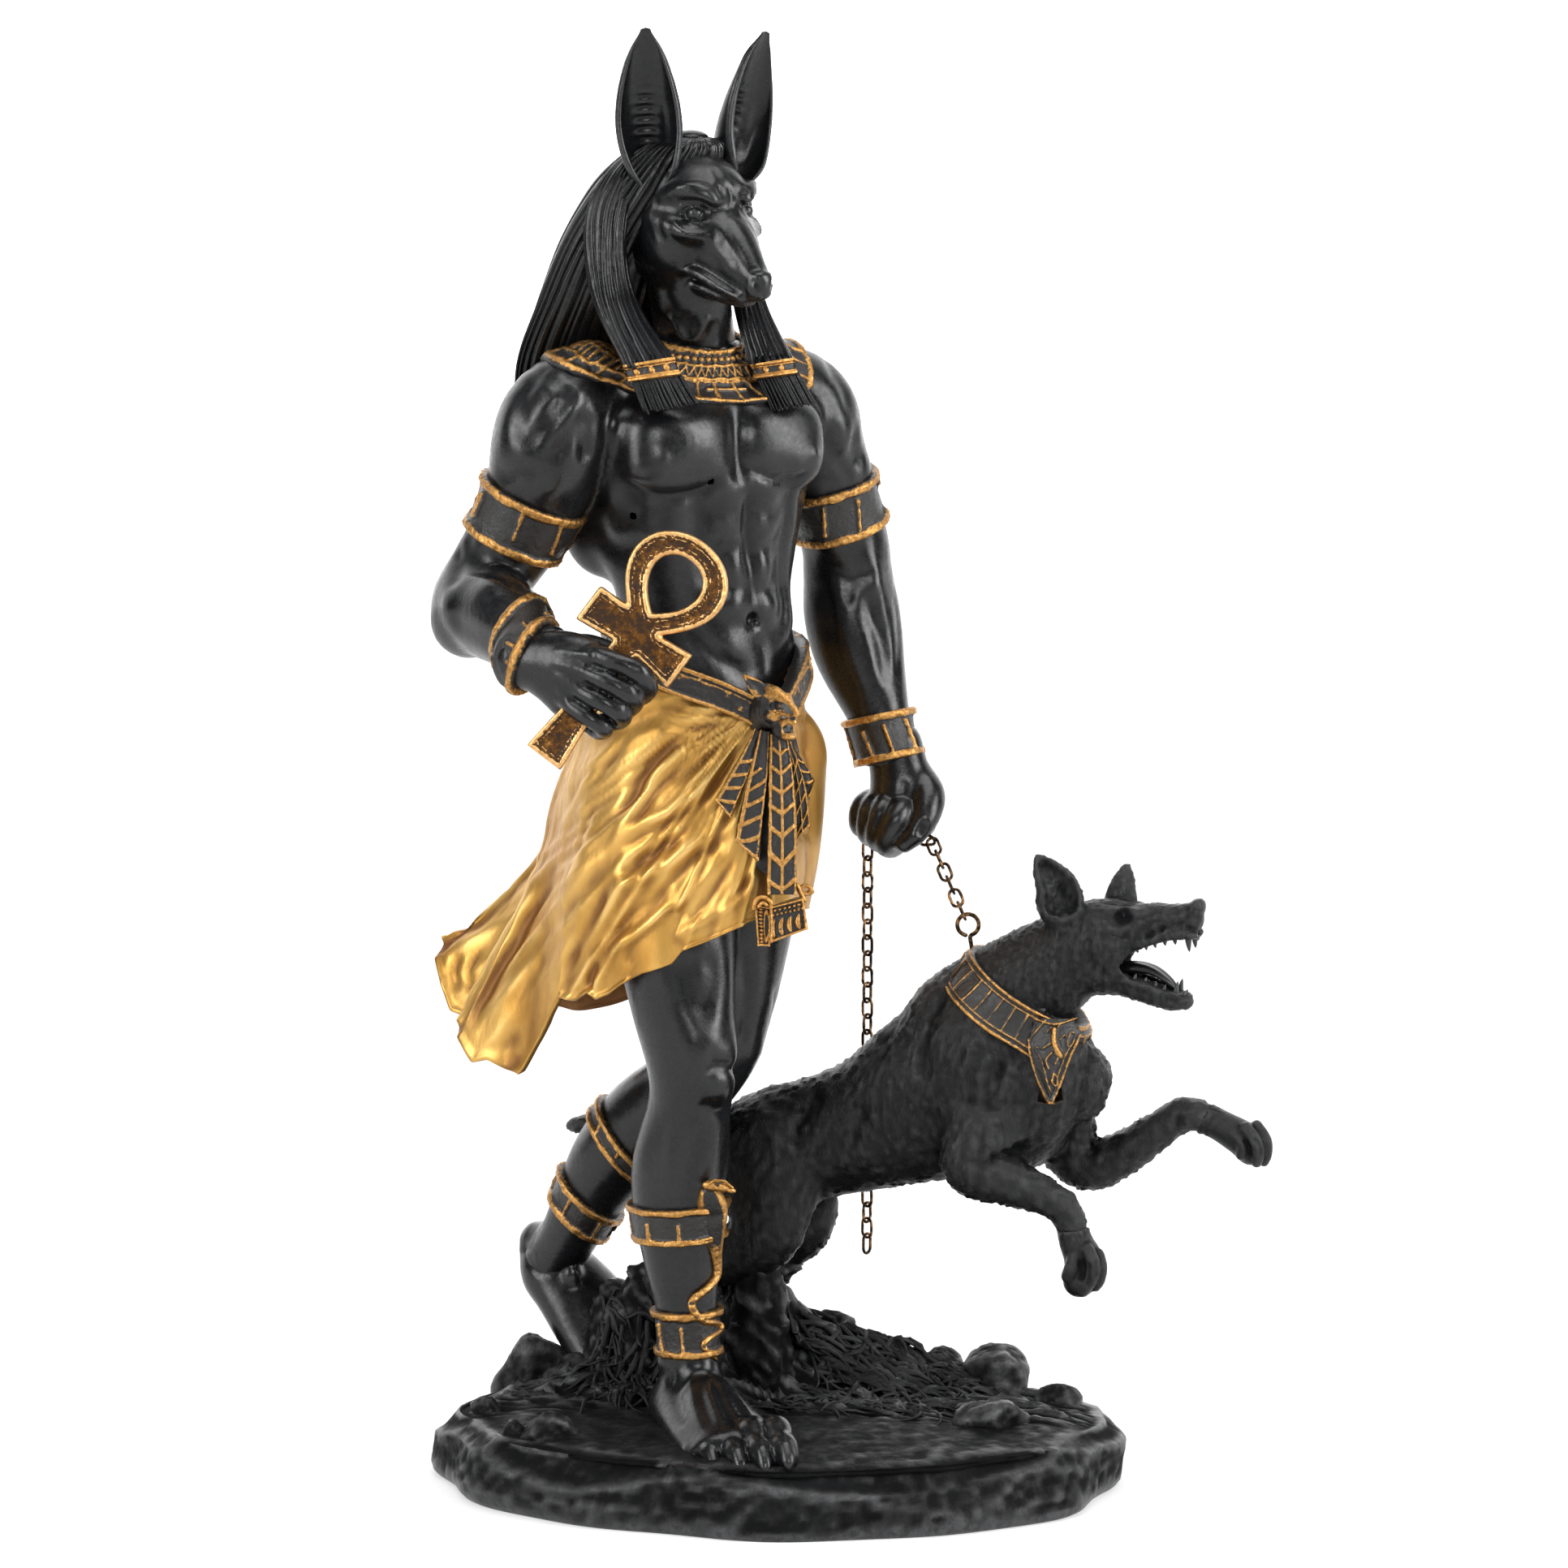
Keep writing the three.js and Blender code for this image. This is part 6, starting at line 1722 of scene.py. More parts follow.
    # cheek: hollows and ridges from the eye to the jaw
    both([(795, 640), (785, 690), (800, 750), (830, 800)], 0.55, -0.55)
    both([(830, 660), (815, 720), (832, 780), (868, 822)], 0.6, 0.5)
    both([(850, 700), (850, 750), (880, 790)], 0.5, 0.35)
    both([(870, 830), (930, 815), (985, 830), (1030, 870)], 1.1, 0.5)
    both([(740, 600), (765, 640), (750, 700), (742, 760)], 0.9, 0.4)
    mass(790, 800, (3.4, 3, 3.0), 0.5, roll=-30)
    mass(870, 790, (1.6, 2, 2.2), 0.4, roll=-20)
    mass(960, 780, (2.6, 2, 1.6), -0.5, roll=30)
    # mouth
    gain[0] = 0.34
    both([(888, 878), (930, 868), (970, 890), (1010, 925), (1060, 955), (1112, 975)], 0.5, -0.55)
    both([(898, 892), (935, 903), (975, 912)], 0.62, 1.35)
    both([(975, 912), (1010, 940), (1060, 968), (1112, 986)], 0.34, 0.85, ends=0.0)
    both([(870, 870), (890, 905), (930, 930)], 0.4, 0.4)
    both([(985, 860), (1040, 905), (1085, 925)], 0.8, 0.3)
    gain[0] = 0.95
    # nose: nostrils, septum, wings
    both([(1118, 905), (1132, 915), (1134, 934)], 0.42, 1.25, ends=0.0)
    both([(1108, 880), (1118, 868), (1150, 872)], 0.36, 0.35)
    both([(1112, 900), (1112, 935), (1126, 955)], 0.3, 0.35)
    groove([(1149, 905), (1150, 940), (1145, 968)], 0.24, 0.5, ends=0.0)
    gain[0] = 0.5
    # sinews of the throat meeting in a point
    groove([(850, 1010), (872, 1060), (908, 1108)], 0.85, -1.15)
    groove([(975, 1010), (950, 1060), (912, 1108)], 0.85, -1.15)
    groove([(905, 1010), (915, 1050), (911, 1090)], 1.6, 0.8)
    groove([(830, 1020), (840, 1080), (885, 1120)], 1.0, 0.6)
    groove([(990, 1030), (985, 1080), (950, 1120)], 1.0, 0.6)
    mass(1000, 1115, (1.3, 2, 1.0), 0.6, mirror=False)
    m.lay()
    return f


def ear(sign):
    """A pointed leaf, folded forward at its edges and hollow in front, with short ribs across the hollow."""
    s = sign
    k = 0.6 if s > 0 else 0.0
    base = head(-1, s * (8.6 + k), 251.0)
    mid = head(0.5, s * (11.4 + k * 2.0), 265.0)
    tip = head(3.8, s * (13.8 + k * 1.0), 279.9 if s < 0 else 278.6)
    along = unit(tip - base)
    opens = ahead(HEAD_YAW + (16 if s > 0 else -34))
    wide = unit(np.cross(along, opens))
    deep = unit(np.cross(wide, along))
    n, m = 72, 26
    t = np.linspace(0, 1, n)
    w = spline([[2.4], [4.2], [5.2], [5.7], [5.6], [5.0], [4.0], [2.7], [0.9]], t * 8)[:, 0] * (0.9 if s < 0 else 1.0)
    open_ = np.radians(spline([[126], [118], [104], [94], [88], [82], [74], [66], [60]], t * 8)[:, 0])
    dep = spline([[3.4], [4.6], [4.9], [4.6], [3.9], [3.1], [2.3], [1.4], [0.25]], t * 8)[:, 0]
    c = ((1 - t) ** 2)[:, None] * base + (2 * t * (1 - t))[:, None] * mid + (t**2)[:, None] * tip
    X = np.linspace(-1, 1, m)[None, :] * np.ones((n, 1))
    T = t[:, None] * np.ones((1, m))
    a = X * open_[:, None]
    wide_x = w[:, None] * np.sin(a) / np.sin(np.minimum(open_, math.pi / 2))[:, None]
    deep_y = -dep[:, None] * (np.cos(a) - 0.35)
    ribs = 0.28 * np.sin(T * 88 + 1.5 * X) * np.exp(-((X + 0.05) ** 2) / 0.05) * smooth(0.16, 0.3, T) * smooth(0.7, 0.5, T)
    ribs = ribs + 0.35 * np.exp(-((X - 0.42) ** 2) / 0.006) * smooth(0.05, 0.2, T) * smooth(0.55, 0.4, T)
    normal = np.stack([np.sin(a) / w[:, None], -np.cos(a) / dep[:, None]], -1)
    normal = normal / np.linalg.norm(normal, axis=-1, keepdims=True)
    th = (1.15 * np.sqrt(np.clip(1 - np.abs(X) ** 7, 0.0, 1)) * np.clip(w / 3.2, 0.3, 1.0)[:, None]) + 0.14
    th = th + 0.35 * np.exp(-((1 - np.abs(X)) ** 2) / 0.02) * np.clip(w / 3.2, 0.2, 1.0)[:, None]
    put = lambda x, y: c[:, None, :] + wide * x[..., None] + deep * y[..., None]
    A = put(wide_x - normal[..., 0] * ribs, deep_y - normal[..., 1] * ribs)
    B = put(wide_x + normal[..., 0] * th, deep_y + normal[..., 1] * th)
    ring = np.concatenate([A, B[:, ::-1]], axis=1)
    V = ring.reshape(-1, 3)
    cols = 2 * m
    F = grid_faces(n, cols)
    e0, e1 = len(V), len(V) + 1
    V = np.concatenate([V, [ring[0].mean(0), ring[-1].mean(0) + along * 0.3]])
    j = np.arange(cols)
    q = (n - 1) * cols
    Tt = np.concatenate([np.stack([np.full(cols, e0), (j + 1) % cols, j], 1), np.stack([np.full(cols, e1), q + j, q + (j + 1) % cols], 1)])
    return outside(V, [F, Tt])


def build_head():
    head_form = figure_head()
    solid_piece("figure_head", head_form, 0.37, SKIN, "black_resin", keep=lambda P: 209.0 - P[:, 2], rough=0.02, seed=21)
    V, F = merged([ear(-1), ear(1)])
    V = V + vnormals(V, F[0])[:] * (0.05 * fbm(V, 0.5, 3, 4))[:, None]
    c = hollow(V, F[0]) * 4.0
    piece("figure_ears", V, F, SKIN, "black_resin", attrs={"cav": c})


build_head()


# ---------------------------------------------------------------- the wig
def strands(Q, T, n, deep, fine=3, seed=0, wave=0.25, taper=0.0):
    """Height of strands running along T, n of them round Q, each with finer lines on it."""
    g = noise(np.stack([Q * n * 0.6, T * 3.0, Q * 0], -1).reshape(-1, 3), 1.0, seed).reshape(Q.shape)
    p = Q * n + wave * (g - 0.5) * 2
    k = np.abs(np.sin(math.pi * p))
    low = noise(np.stack([np.floor(p), T * 2.2, Q * 0 + 3], -1).reshape(-1, 3), 1.0, seed + 1).reshape(Q.shape)
    small = np.abs(np.sin(math.pi * (p * fine + 0.6 * (g - 0.5))))
    return deep * (k**0.55 - 0.75) + deep * 0.55 * (low - 0.5) + deep * 0.34 * (small**0.6 - 0.6) * smooth(0.15, 0.5, k)


def build_hair():
    H35, S35 = ahead(35), beside(35)
    rows = []
    for z, b, a, d, x in [
        [259.6, 1.0, 2.6, 2.6, 0], [258.0, 2.2, 8.6, 7.2, -0.8], [254, 3.4, 12.2, 9.2, -2.6], [249, 4.6, 15.0, 9.9, -4.0],
        [240, 8, 18.4, 9.0, -4.8], [228, 12, 21.6, 7.4, -4.9], [217, 16, 24.0, 5.8, -4.4], [205, 18.6, 23.8, 4.2, -3.2], [197.5, 19, 22.2, 3.0, -2.2],
    ]:
        p = vec(-16.5, -1.5, 0) - H35 * b + UP * z + vec(x, 0, 0)
        rows.append([*p, a, d])

    def height(Q, T, V):
        h = strands(Q, T, 44, 0.62, 3, 5, 0.35)
        return h * smooth(0.0, 0.12, T).reshape(h.shape) - 0.5 * smooth(0.93, 1.0, T) * np.abs(np.sin(Q * 44 * math.pi))

    cols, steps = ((330, 50))
    V, F = loft(rows, S35, cols, height, steps, 2.0, UP)
    V, F = outside(V, F)
    c = hollow(V, F[0]) * 2.2
    piece("wig_back_hair", V, F, HAIR, "black_resin", attrs={"cav": c})
    # the closed top of the hair, between the ears
    B, G = merged([ball(vec(-16.5, -1.5, 0) - H35 * 1.0 + UP * 259.2, (3.4, 3.3, 1.5), None, 36, 18)])
    piece("wig_whorl", B, G, HAIR, "black_resin", attrs={"cav": np.zeros(len(B))})

    # lappets
    def lappet(name, rows, seed, deepest=0.5):
        def h(Q, T, V):
            return strands(Q, T, 19, deepest, 3, seed, 0.3)

        V, F = loft(rows, LF, 132, h, 40, 2.4, UP)
        V, F = outside(V, F)
        piece(name, V, F, HAIR, "black_resin", attrs={"cav": hollow(V, F[0]) * 2.2})

    lappet(
        "wig_lappet_right",
        [
            [-27.0, -3, 256.5, 2.0, 2.6], [-29.6, -5, 253, 3.2, 3.4], [-32.2, -6.6, 247, 3.9, 4.0], [-32.9, -8.6, 240, 3.7, 4.0], [-31.8, -10.8, 232, 4.0, 3.6],
            [-29.4, -13.8, 226, 4.5, 3.2], [-25.4, -17.0, 219.4, 5.3, 2.9], [-24.6, -17.6, 217.5, 5.3, 2.8],
        ],
        17,
    )
    lappet(
        "wig_lappet_left",
        [[-9.0, 10, 250, 2.4, 3.4], [-8.2, 8.0, 243, 2.4, 3.2], [-7.6, 5.2, 235, 2.5, 3.0], [-5.8, 1.9, 227, 3.3, 2.9], [-2.6, -1.5, 218.6, 4.4, 2.9], [-2.0, -2.2, 216.8, 4.5, 2.8]],
        23,
    )

    # the cap of hair between the ears, drawn together at the widow's peak
    f = Form()
    f.add(Blob(head(-2.6, -0.4, 250.2), (9.6, 10.4, 9.0), turn(HEAD_YAW, 8)))
    m = Marks(f, W_HEAD)
    top = (970, 508)
    for x, y, x2, y2 in [
        (880, 548, 800, 600), (885, 528, 800, 560), (890, 510, 815, 522), (897, 497, 840, 490), (908, 484, 870, 462), (925, 474, 900, 445),
        (945, 468, 930, 440), (962, 464, 956, 436), (980, 464, 985, 438), (1000, 470, 1012, 446), (1018, 480, 1034, 460), (1034, 494, 1060, 482), (1045, 512, 1075, 505),
    ]:
        m.line([(top[0] + (x - top[0]) * 0.12, top[1] + (y - top[1]) * 0.12), ((x + top[0]) / 2, (y + top[1]) / 2 - 6), (x, y), (x2, y2)], 0.24, 0.55, ends=0.4)
    m.lay()
    # keep only what lies above the forehead line
    peak = head(4.4, 0, 255.6)
    n = unit(ahead(HEAD_YAW) * 0.62 - UP * 0.78)

    def keep(P):
        v = P - peak
        side = np.abs(v @ beside(HEAD_YAW))
        return v @ n - 0.2 + 0.34 * side

    solid_piece("wig_crown", f, 0.42, HAIR, "black_resin", keep=keep, rough=0.02, seed=31, cav=2.2)

    # clips and fringes
    def clip(name, top_line, bottom_line, depth, studs, width_cols=70, belly=1.6):
        P, N, S, T = panel(lambda q: q, [top_line[0], bottom_line[0]], [top_line[1], bottom_line[1]], depth, width_cols, 40, belly)
        h = np.maximum(bar(T - 0.13, 0.12), bar(T - 0.87, 0.12))
        h = np.maximum(h, bar(T - 0.32, 0.035) * 0.7)
        h = np.maximum(h, bar(T - 0.70, 0.035) * 0.7)
        w = np.hypot(*(np.array(top_line[1]) - np.array(top_line[0]))) / PX
        tall = np.hypot(*(np.array(bottom_line[0]) - np.array(top_line[0]))) / PX
        for s, r in studs:
            d = np.hypot((S - s) * w, (T - 0.51) * tall)
            h = np.maximum(h, np.sqrt(np.clip(1 - (d / r) ** 2, 0, 1)) * 1.15)
        h = h + worn(P, 0.16, 1.4)
        return relief(P, N, 0.55 * h, 2.6, cav=gilded(h, 0.52, 1.0))

    parts = [
        clip("r", [(768.5, 449.5), (829.5, 440.0)], [(776.0, 470.5), (837.5, 462.0)], (-19.6, -20.6), [(0.2, 0.62), (0.5, 0.62), (0.8, 0.6)]),
        clip("l", [(926.0, 448.6), (976.5, 441.0)], [(931.0, 467.0), (981.0, 460.5)], (-4.4, -5.2), [(0.3, 0.55), (0.68, 0.55)]),
    ]
    relief_piece("wig_clips", parts, TRIM_BRIGHT)

    def fringe(lines, depth, n, seed):
        L, R = lines
        out = []
        rng = np.random.default_rng(seed)
        s = (np.arange(n) + 0.5) / n
        for layer in (0, 1):
            for i, a in enumerate(s):
                a = a + (0.5 / n if layer else 0)
                if a > 1:
                    continue
                j = rng.normal(0, 0.35, 3)
                bend = rng.normal(0, 0.8)
                q = []
                for t in (0, 0.3, 0.6, 0.85, 1.0):
                    l = np.array(L[0]) * (1 - t) + np.array(L[1]) * t
                    r = np.array(R[0]) * (1 - t) + np.array(R[1]) * t
                    p = l * (1 - a) + r * a
                    q.append((p[0] + (bend * math.sin(t * 3) + j[0]) , p[1] + t * j[1] * 3.5))
                y = [depth[0] * (1 - t) + depth[1] * t + (0.9 if layer else 0) - 1.3 * 4 * a * (1 - a) * (1 - 0.3 * t) for t in (0, 0.3, 0.6, 0.85, 1.0)]
                d = sight(q)
                P = VIEW_FROM + d * ((np.array(y) - VIEW_FROM[1]) / d[:, 1])[:, None]
                P = spline(P, np.linspace(0, 4, 9))
                out.append(tube(P, np.linspace(0.36, 0.27, 9), 6))
        return out

    pr = fringe([[(778, 469), (790, 507)], [(837, 461), (859, 497)]], (-19.8, -21.0), 19, 3)
    pl = fringe([[(932, 466), (950, 506)], [(981, 459), (1002, 496)]], (-4.2, -5.2), 16, 4)
    # the solid behind the cords
    back = []
    for (L, R, dep) in (([(778, 466), (791, 502)], [(837, 458), (858, 493)], (-19.0, -20.2)), ([(932, 463), (951, 501)], [(981, 456), (1001, 492)], (-3.4, -4.4))):
        P, N, S, T = panel(lambda q: q, L, R, dep, 24, 12, 1.2)
        v, f_, _ = relief(P, N, 0 * S, 2.6)
        back.append((v, f_))
    V, F = merged(pr + pl + back)
    piece("wig_fringes", V, F, HAIR, "black_resin", attrs={"cav": np.zeros(len(V))})


build_hair()


# ---------------------------------------------------------------- the broad collar
def build_collar():
    nu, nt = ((400, 46))
    q = np.linspace(0, 2 * math.pi, nu, endpoint=False)
    t = np.linspace(0, 1, nt)
    T, Q = np.meshgrid(t, q, indexing="ij")
    c, s = np.cos(Q), np.sin(Q)
    front = np.maximum(s, 0) ** 1.3
    reach = np.where(c < 0, 22.0, 17.5) * np.abs(c) ** 1.5 + 12.0 * (1 - np.abs(c) ** 1.5) - 2.0 * front
    r = 8.4 + reach * T
    z = 219.4 - T**0.9 * (3.6 + 5.2 * front)
    P = vec(-16.5, 3.0, 0) + FW * (s * r * 0.92 + 0.5)[..., None] + LF * (c * r)[..., None] + UP * z[..., None]
    # the outer edge where the front view shows it: turn in degrees (90 = front), place in the frame
    edge = [(-12, 986, 432), (0, 998, 448), (25, 1000, 478), (45, 990, 488), (66, 968, 494), (90, 915, 498), (118, 862, 496), (145, 790, 486), (165, 742, 474), (180, 704, 463), (198, 672, 452), (212, 663, 446)]
    tab = np.array([[e[0], *seen(UPPER, np.array([[e[1], e[2]]], float))[0]] for e in edge])
    deg = np.degrees(q)
    deg = np.where(deg > 300, deg - 360, deg)
    want = np.stack([np.interp(deg, tab[:, 0], tab[:, 1 + i]) for i in range(3)], -1)
    for _ in range(12):
        want = 0.5 * want + 0.25 * np.roll(want, 1, 0) + 0.25 * np.roll(want, -1, 0)
    fade = smooth(-30, -4, deg) * smooth(232, 206, deg)
    P = P + (T**1.3)[..., None] * (fade[:, None] * np.clip(want - P[-1], -9, 9))[None]
    N = grid_normals(P, True)
    N = N if N[..., 2].mean() > 0 else -N
    # lie on the shoulders and breast
    flat = P.reshape(-1, 3)
    nn = N.reshape(-1, 3)
    for _ in range(8):
        d = UPPER.at(flat)
        flat = flat + nn * np.clip(0.75 - d, -0.9, 1.6)[:, None] * 0.8
    P = flat.reshape(P.shape)
    P = 0.6 * P + 0.2 * np.roll(P, 1, 1) + 0.2 * np.roll(P, -1, 1)
    N = grid_normals(P, True)
    N = N if N[..., 2].mean() > 0 else -N
    arc = Q / (2 * math.pi)
    wob = 0.006 * np.sin(Q * 23) + 0.004 * np.sin(Q * 51)
    Tw = T + wob
    h = np.zeros_like(T)
    for at, w in ((0.035, 0.032), (0.25, 0.026), (0.49, 0.026), (0.955, 0.034), (0.545, 0.016)):
        h = np.maximum(h, bar(Tw - at, w))
    # beads
    n1 = 46
    x = (arc * n1) % 1 - 0.5
    d = np.hypot(x * 2 * math.pi * 10 / n1 * 1.0, (T - 0.145) * 13.5)
    h = np.maximum(h, np.sqrt(np.clip(1 - (d / 0.62) ** 2, 0, 1)) * 0.95)
    # more rows on the near shoulder
    near = smooth(130, 146, np.degrees(Q)) * smooth(230, 214, np.degrees(Q))
    for at, w in ((0.62, 0.018), (0.80, 0.022)):
        h = np.maximum(h, near * bar(Tw - at, w))
    x = (arc * 74) % 1 - 0.5
    h = np.maximum(h, near * bar(x, 0.2, 0.6) * (T > 0.63) * (T < 0.78) * 0.85)
    # a row of triangles
    n2 = 52
    x = np.abs((arc * n2) % 1 - 0.5) * 2
    v = (T - 0.285) / 0.17
    h = np.maximum(h, bar(x - np.clip(v, 0, 1), 0.22, 0.5) * (v > 0) * (v < 1) * 0.8)
    # wide squares with bars between them
    n3 = 26
    x = ((arc * n3 + 0.06 * np.sin(Q * 9)) % 1) - 0.5
    v = (T - 0.56) / 0.37
    h = np.maximum(h, bar(x, 0.075) * (v > 0) * (v < 1) * 0.9)
    h = np.maximum(h, bar(v - 0.36, 0.07) * (np.abs(x) > 0.1) * (((arc * n3) % 4) > 1.9) * 0.75)
    h = h * (0.9 + worn(P, 0.5, 0.7, 7)) + worn(P, 0.12, 1.6, 8)
    parts = [relief(P, N, 0.62 * h - 0.1, 1.6, True, gilded(h, 0.5, 1.0))]
    relief_piece("broad_collar", parts, TRIM)


build_collar()


# ---------------------------------------------------------------- the kilt, belt and apron
# Ribs round the hips, each from the belt to the hem: belt, upper, lower and hem points.
RIBS = [
    [[-2, -17, 152], [-2.6, -20.5, 138], [-4, -21.5, 124], [-6.5, -21.5, 112.5]],
    [[-11, -15.5, 156], [-13, -19, 138], [-15, -20.5, 122], [-16, -19.5, 108.5]],
    [[-21.5, -13, 160], [-24, -17.5, 140], [-27, -18.5, 120], [-28, -15.5, 101.5]],
    [[-29, -7.5, 164], [-33, -10.5, 142], [-37, -12, 118], [-38, -9.5, 94]],
    [[-32, 1, 165.5], [-38, -1, 142], [-43, 0, 114], [-50, 3, 80]],
    [[-31, 9, 166], [-39.6, 9, 142], [-46.5, 12, 114], [-59.6, 15, 76]],
    [[-27, 15.5, 165.5], [-39.2, 18, 142], [-49.5, 22, 116], [-67.2, 25, 97]],
    [[-20, 19, 165], [-33, 27, 138], [-43, 33, 112], [-59, 40, 92]],
    [[-11, 20, 164], [-21, 27.5, 138], [-29, 33, 112], [-38, 38, 86]],
    [[-2, 17.5, 162.5], [-5, 22.5, 138], [-8, 27, 116], [-12, 31, 98]],
    [[2.6, 11, 161], [3.2, 14.5, 140], [3.2, 17, 122], [2, 19, 108]],
    [[3.4, 3, 160], [4.8, 4, 140], [5, 5, 124], [4.2, 5.5, 111.5]],
    [[2.4, -6.5, 157], [3.8, -6.5, 140], [4, -6.5, 125], [3.2, -6.5, 113]],
    [[0.5, -13.5, 153.5], [1.8, -14.5, 140], [1.8, -15, 126], [0.6, -15, 113]],
]


def kilt_grid(u, t):
    """Points of the cloth before its folds, for turns u and places t between belt and hem."""
    n = len(RIBS)
    rib = np.array([spline(r, t * 3) for r in RIBS])
    rib = np.concatenate([rib[-2:], rib, rib[:3]]).reshape(n + 5, -1)
    return spline(rib, u * n + 2).reshape(len(u), len(t), 3).transpose(1, 0, 2)


FOLDS = [
    # valleys
    ([(1125, 262), (1040, 262), (950, 238), (860, 215)], 0.5, -0.5),
    ([(1128, 268), (1050, 282), (960, 282), (880, 262), (820, 240)], 0.5, -0.65),
    ([(1120, 280), (1040, 305), (960, 325), (880, 320), (800, 290)], 0.8, -1.0),
    ([(1118, 290), (1050, 330), (990, 360), (930, 370)], 0.5, -0.6),
    ([(1120, 300), (1060, 360), (1000, 420), (950, 470)], 0.6, -0.6),
    ([(905, 345), (850, 395), (790, 450), (750, 510), (715, 580), (690, 680)], 1.2, -1.7),
    ([(930, 430), (870, 480), (800, 540), (760, 600), (720, 680)], 0.9, -1.2),
    ([(950, 560), (900, 620), (830, 660), (760, 700), (700, 760)], 1.0, -1.4),
    ([(900, 700), (830, 740), (770, 780), (690, 840)], 1.1, -1.6),
    ([(880, 890), (820, 920), (760, 970), (700, 1020), (620, 1070)], 1.2, -1.5),
    ([(940, 930), (860, 980), (790, 1040), (730, 1100), (700, 1150)], 0.8, -0.9),
    ([(1060, 700), (1000, 740), (920, 790), (860, 860), (780, 920)], 0.8, -0.9),
    ([(740, 330), (660, 420), (590, 510), (530, 600), (490, 700), (440, 830)], 0.8, -1.0),
    ([(640, 430), (560, 500), (500, 600), (470, 680)], 0.6, -0.6),
    ([(690, 840), (640, 910), (590, 990), (540, 1070), (500, 1140), (455, 1220)], 1.0, -1.3),
    ([(470, 800), (410, 900), (345, 1010), (290, 1110), (240, 1200), (190, 1300), (150, 1390)], 1.0, -1.7),
    ([(600, 560), (560, 650), (540, 740), (500, 820)], 0.6, -0.5),
    ([(600, 1120), (575, 1190), (580, 1240)], 0.7, -1.0),
    ([(1140, 830), (1090, 900), (1040, 950)], 0.5, -0.6),
    ([(1080, 760), (1030, 850), (980, 930), (900, 1010)], 0.7, -0.8),
    ([(340, 860), (290, 940), (220, 1000), (150, 1050)], 0.8, -0.9),
    ([(130, 1100), (110, 1170), (130, 1240)], 0.8, -0.9),
    ([(200, 1090), (160, 1170), (170, 1240)], 0.6, -0.7),
    ([(310, 1390), (290, 1420)], 0.9, -0.7),
    ([(440, 1040), (420, 1130)], 1.2, -0.4),
    # ridges
    ([(1125, 255), (1040, 250), (950, 225), (870, 200)], 0.4, 0.4),
    ([(1125, 273), (1050, 293), (970, 303), (900, 300)], 0.5, 0.6),
    ([(1120, 285), (1055, 315), (1000, 345)], 0.4, 0.4),
    ([(1118, 295), (1050, 345), (990, 395), (940, 420)], 0.6, 0.6),
    ([(1100, 340), (1040, 430), (980, 500), (930, 560), (870, 620), (790, 650), (730, 690), (670, 760)], 1.3, 1.3),
    ([(930, 370), (860, 430), (800, 490), (750, 580), (700, 650), (650, 740)], 0.8, 1.0),
    ([(1050, 640), (980, 700), (900, 750), (820, 810), (740, 850), (680, 880), (640, 960), (590, 1040), (520, 1110)], 1.2, 1.3),
    ([(1050, 780), (970, 850), (910, 910), (840, 950), (780, 1000), (700, 1060), (640, 1110), (590, 1170)], 1.1, 1.2),
    ([(1130, 860), (1060, 940), (980, 990), (880, 1040), (790, 1100), (720, 1160)], 1.0, 0.9),
    ([(700, 350), (620, 440), (560, 540), (510, 640), (470, 740), (400, 870), (330, 1000)], 1.1, 1.1),
    ([(640, 620), (590, 720), (560, 800), (500, 900), (440, 1000), (380, 1110), (320, 1220), (270, 1330), (230, 1430)], 1.7, 0.9),
    ([(420, 640), (370, 760), (320, 880), (250, 980), (160, 1060), (70, 1080)], 1.2, 0.9),
    ([(1130, 800), (1150, 870), (1130, 950)], 0.7, 0.6),
    # the far thigh
    ([(1285, 250), (1330, 232), (1360, 240)], 0.5, -0.6),
    ([(1285, 300), (1330, 320), (1355, 370)], 0.5, -0.6),
    ([(1290, 275), (1340, 280)], 0.4, 0.5),
    ([(1300, 395), (1345, 440), (1370, 520)], 0.6, -0.7),
    ([(1300, 440), (1330, 500), (1350, 560)], 0.5, 0.4),
    ([(1290, 700), (1340, 690), (1370, 660)], 0.6, -0.6),
]


# fine pleats, gathered at the knot and fanning over the near thigh
PLEATS = [
    ([(1085, 330), (1010, 400), (940, 470), (880, 520)], 0.28, -0.55), ([(1095, 345), (1030, 425), (970, 500), (910, 560)], 0.28, -0.6),
    ([(1105, 365), (1055, 455), (1000, 540), (950, 600)], 0.3, -0.6), ([(1115, 385), (1080, 480), (1035, 570), (985, 650)], 0.3, -0.6),
    ([(1125, 420), (1105, 520), (1070, 610), (1030, 690)], 0.3, -0.6), ([(1135, 460), (1125, 560), (1105, 650), (1080, 720)], 0.3, -0.55),
    ([(1075, 315), (990, 372), (915, 430), (850, 470)], 0.26, -0.5), ([(1070, 300), (980, 345), (900, 385), (830, 410)], 0.26, -0.45),
    ([(1090, 338), (1020, 412), (955, 485), (895, 540)], 0.22, 0.4), ([(1100, 355), (1043, 440), (985, 520), (930, 580)], 0.22, 0.4),
    ([(1110, 375), (1068, 468), (1018, 555), (968, 625)], 0.22, 0.4), ([(1120, 402), (1093, 500), (1053, 590), (1008, 670)], 0.22, 0.4),
    ([(1130, 440), (1115, 540), (1088, 630), (1055, 705)], 0.22, 0.4), ([(1080, 322), (1000, 386), (928, 450), (866, 495)], 0.22, 0.35),
]


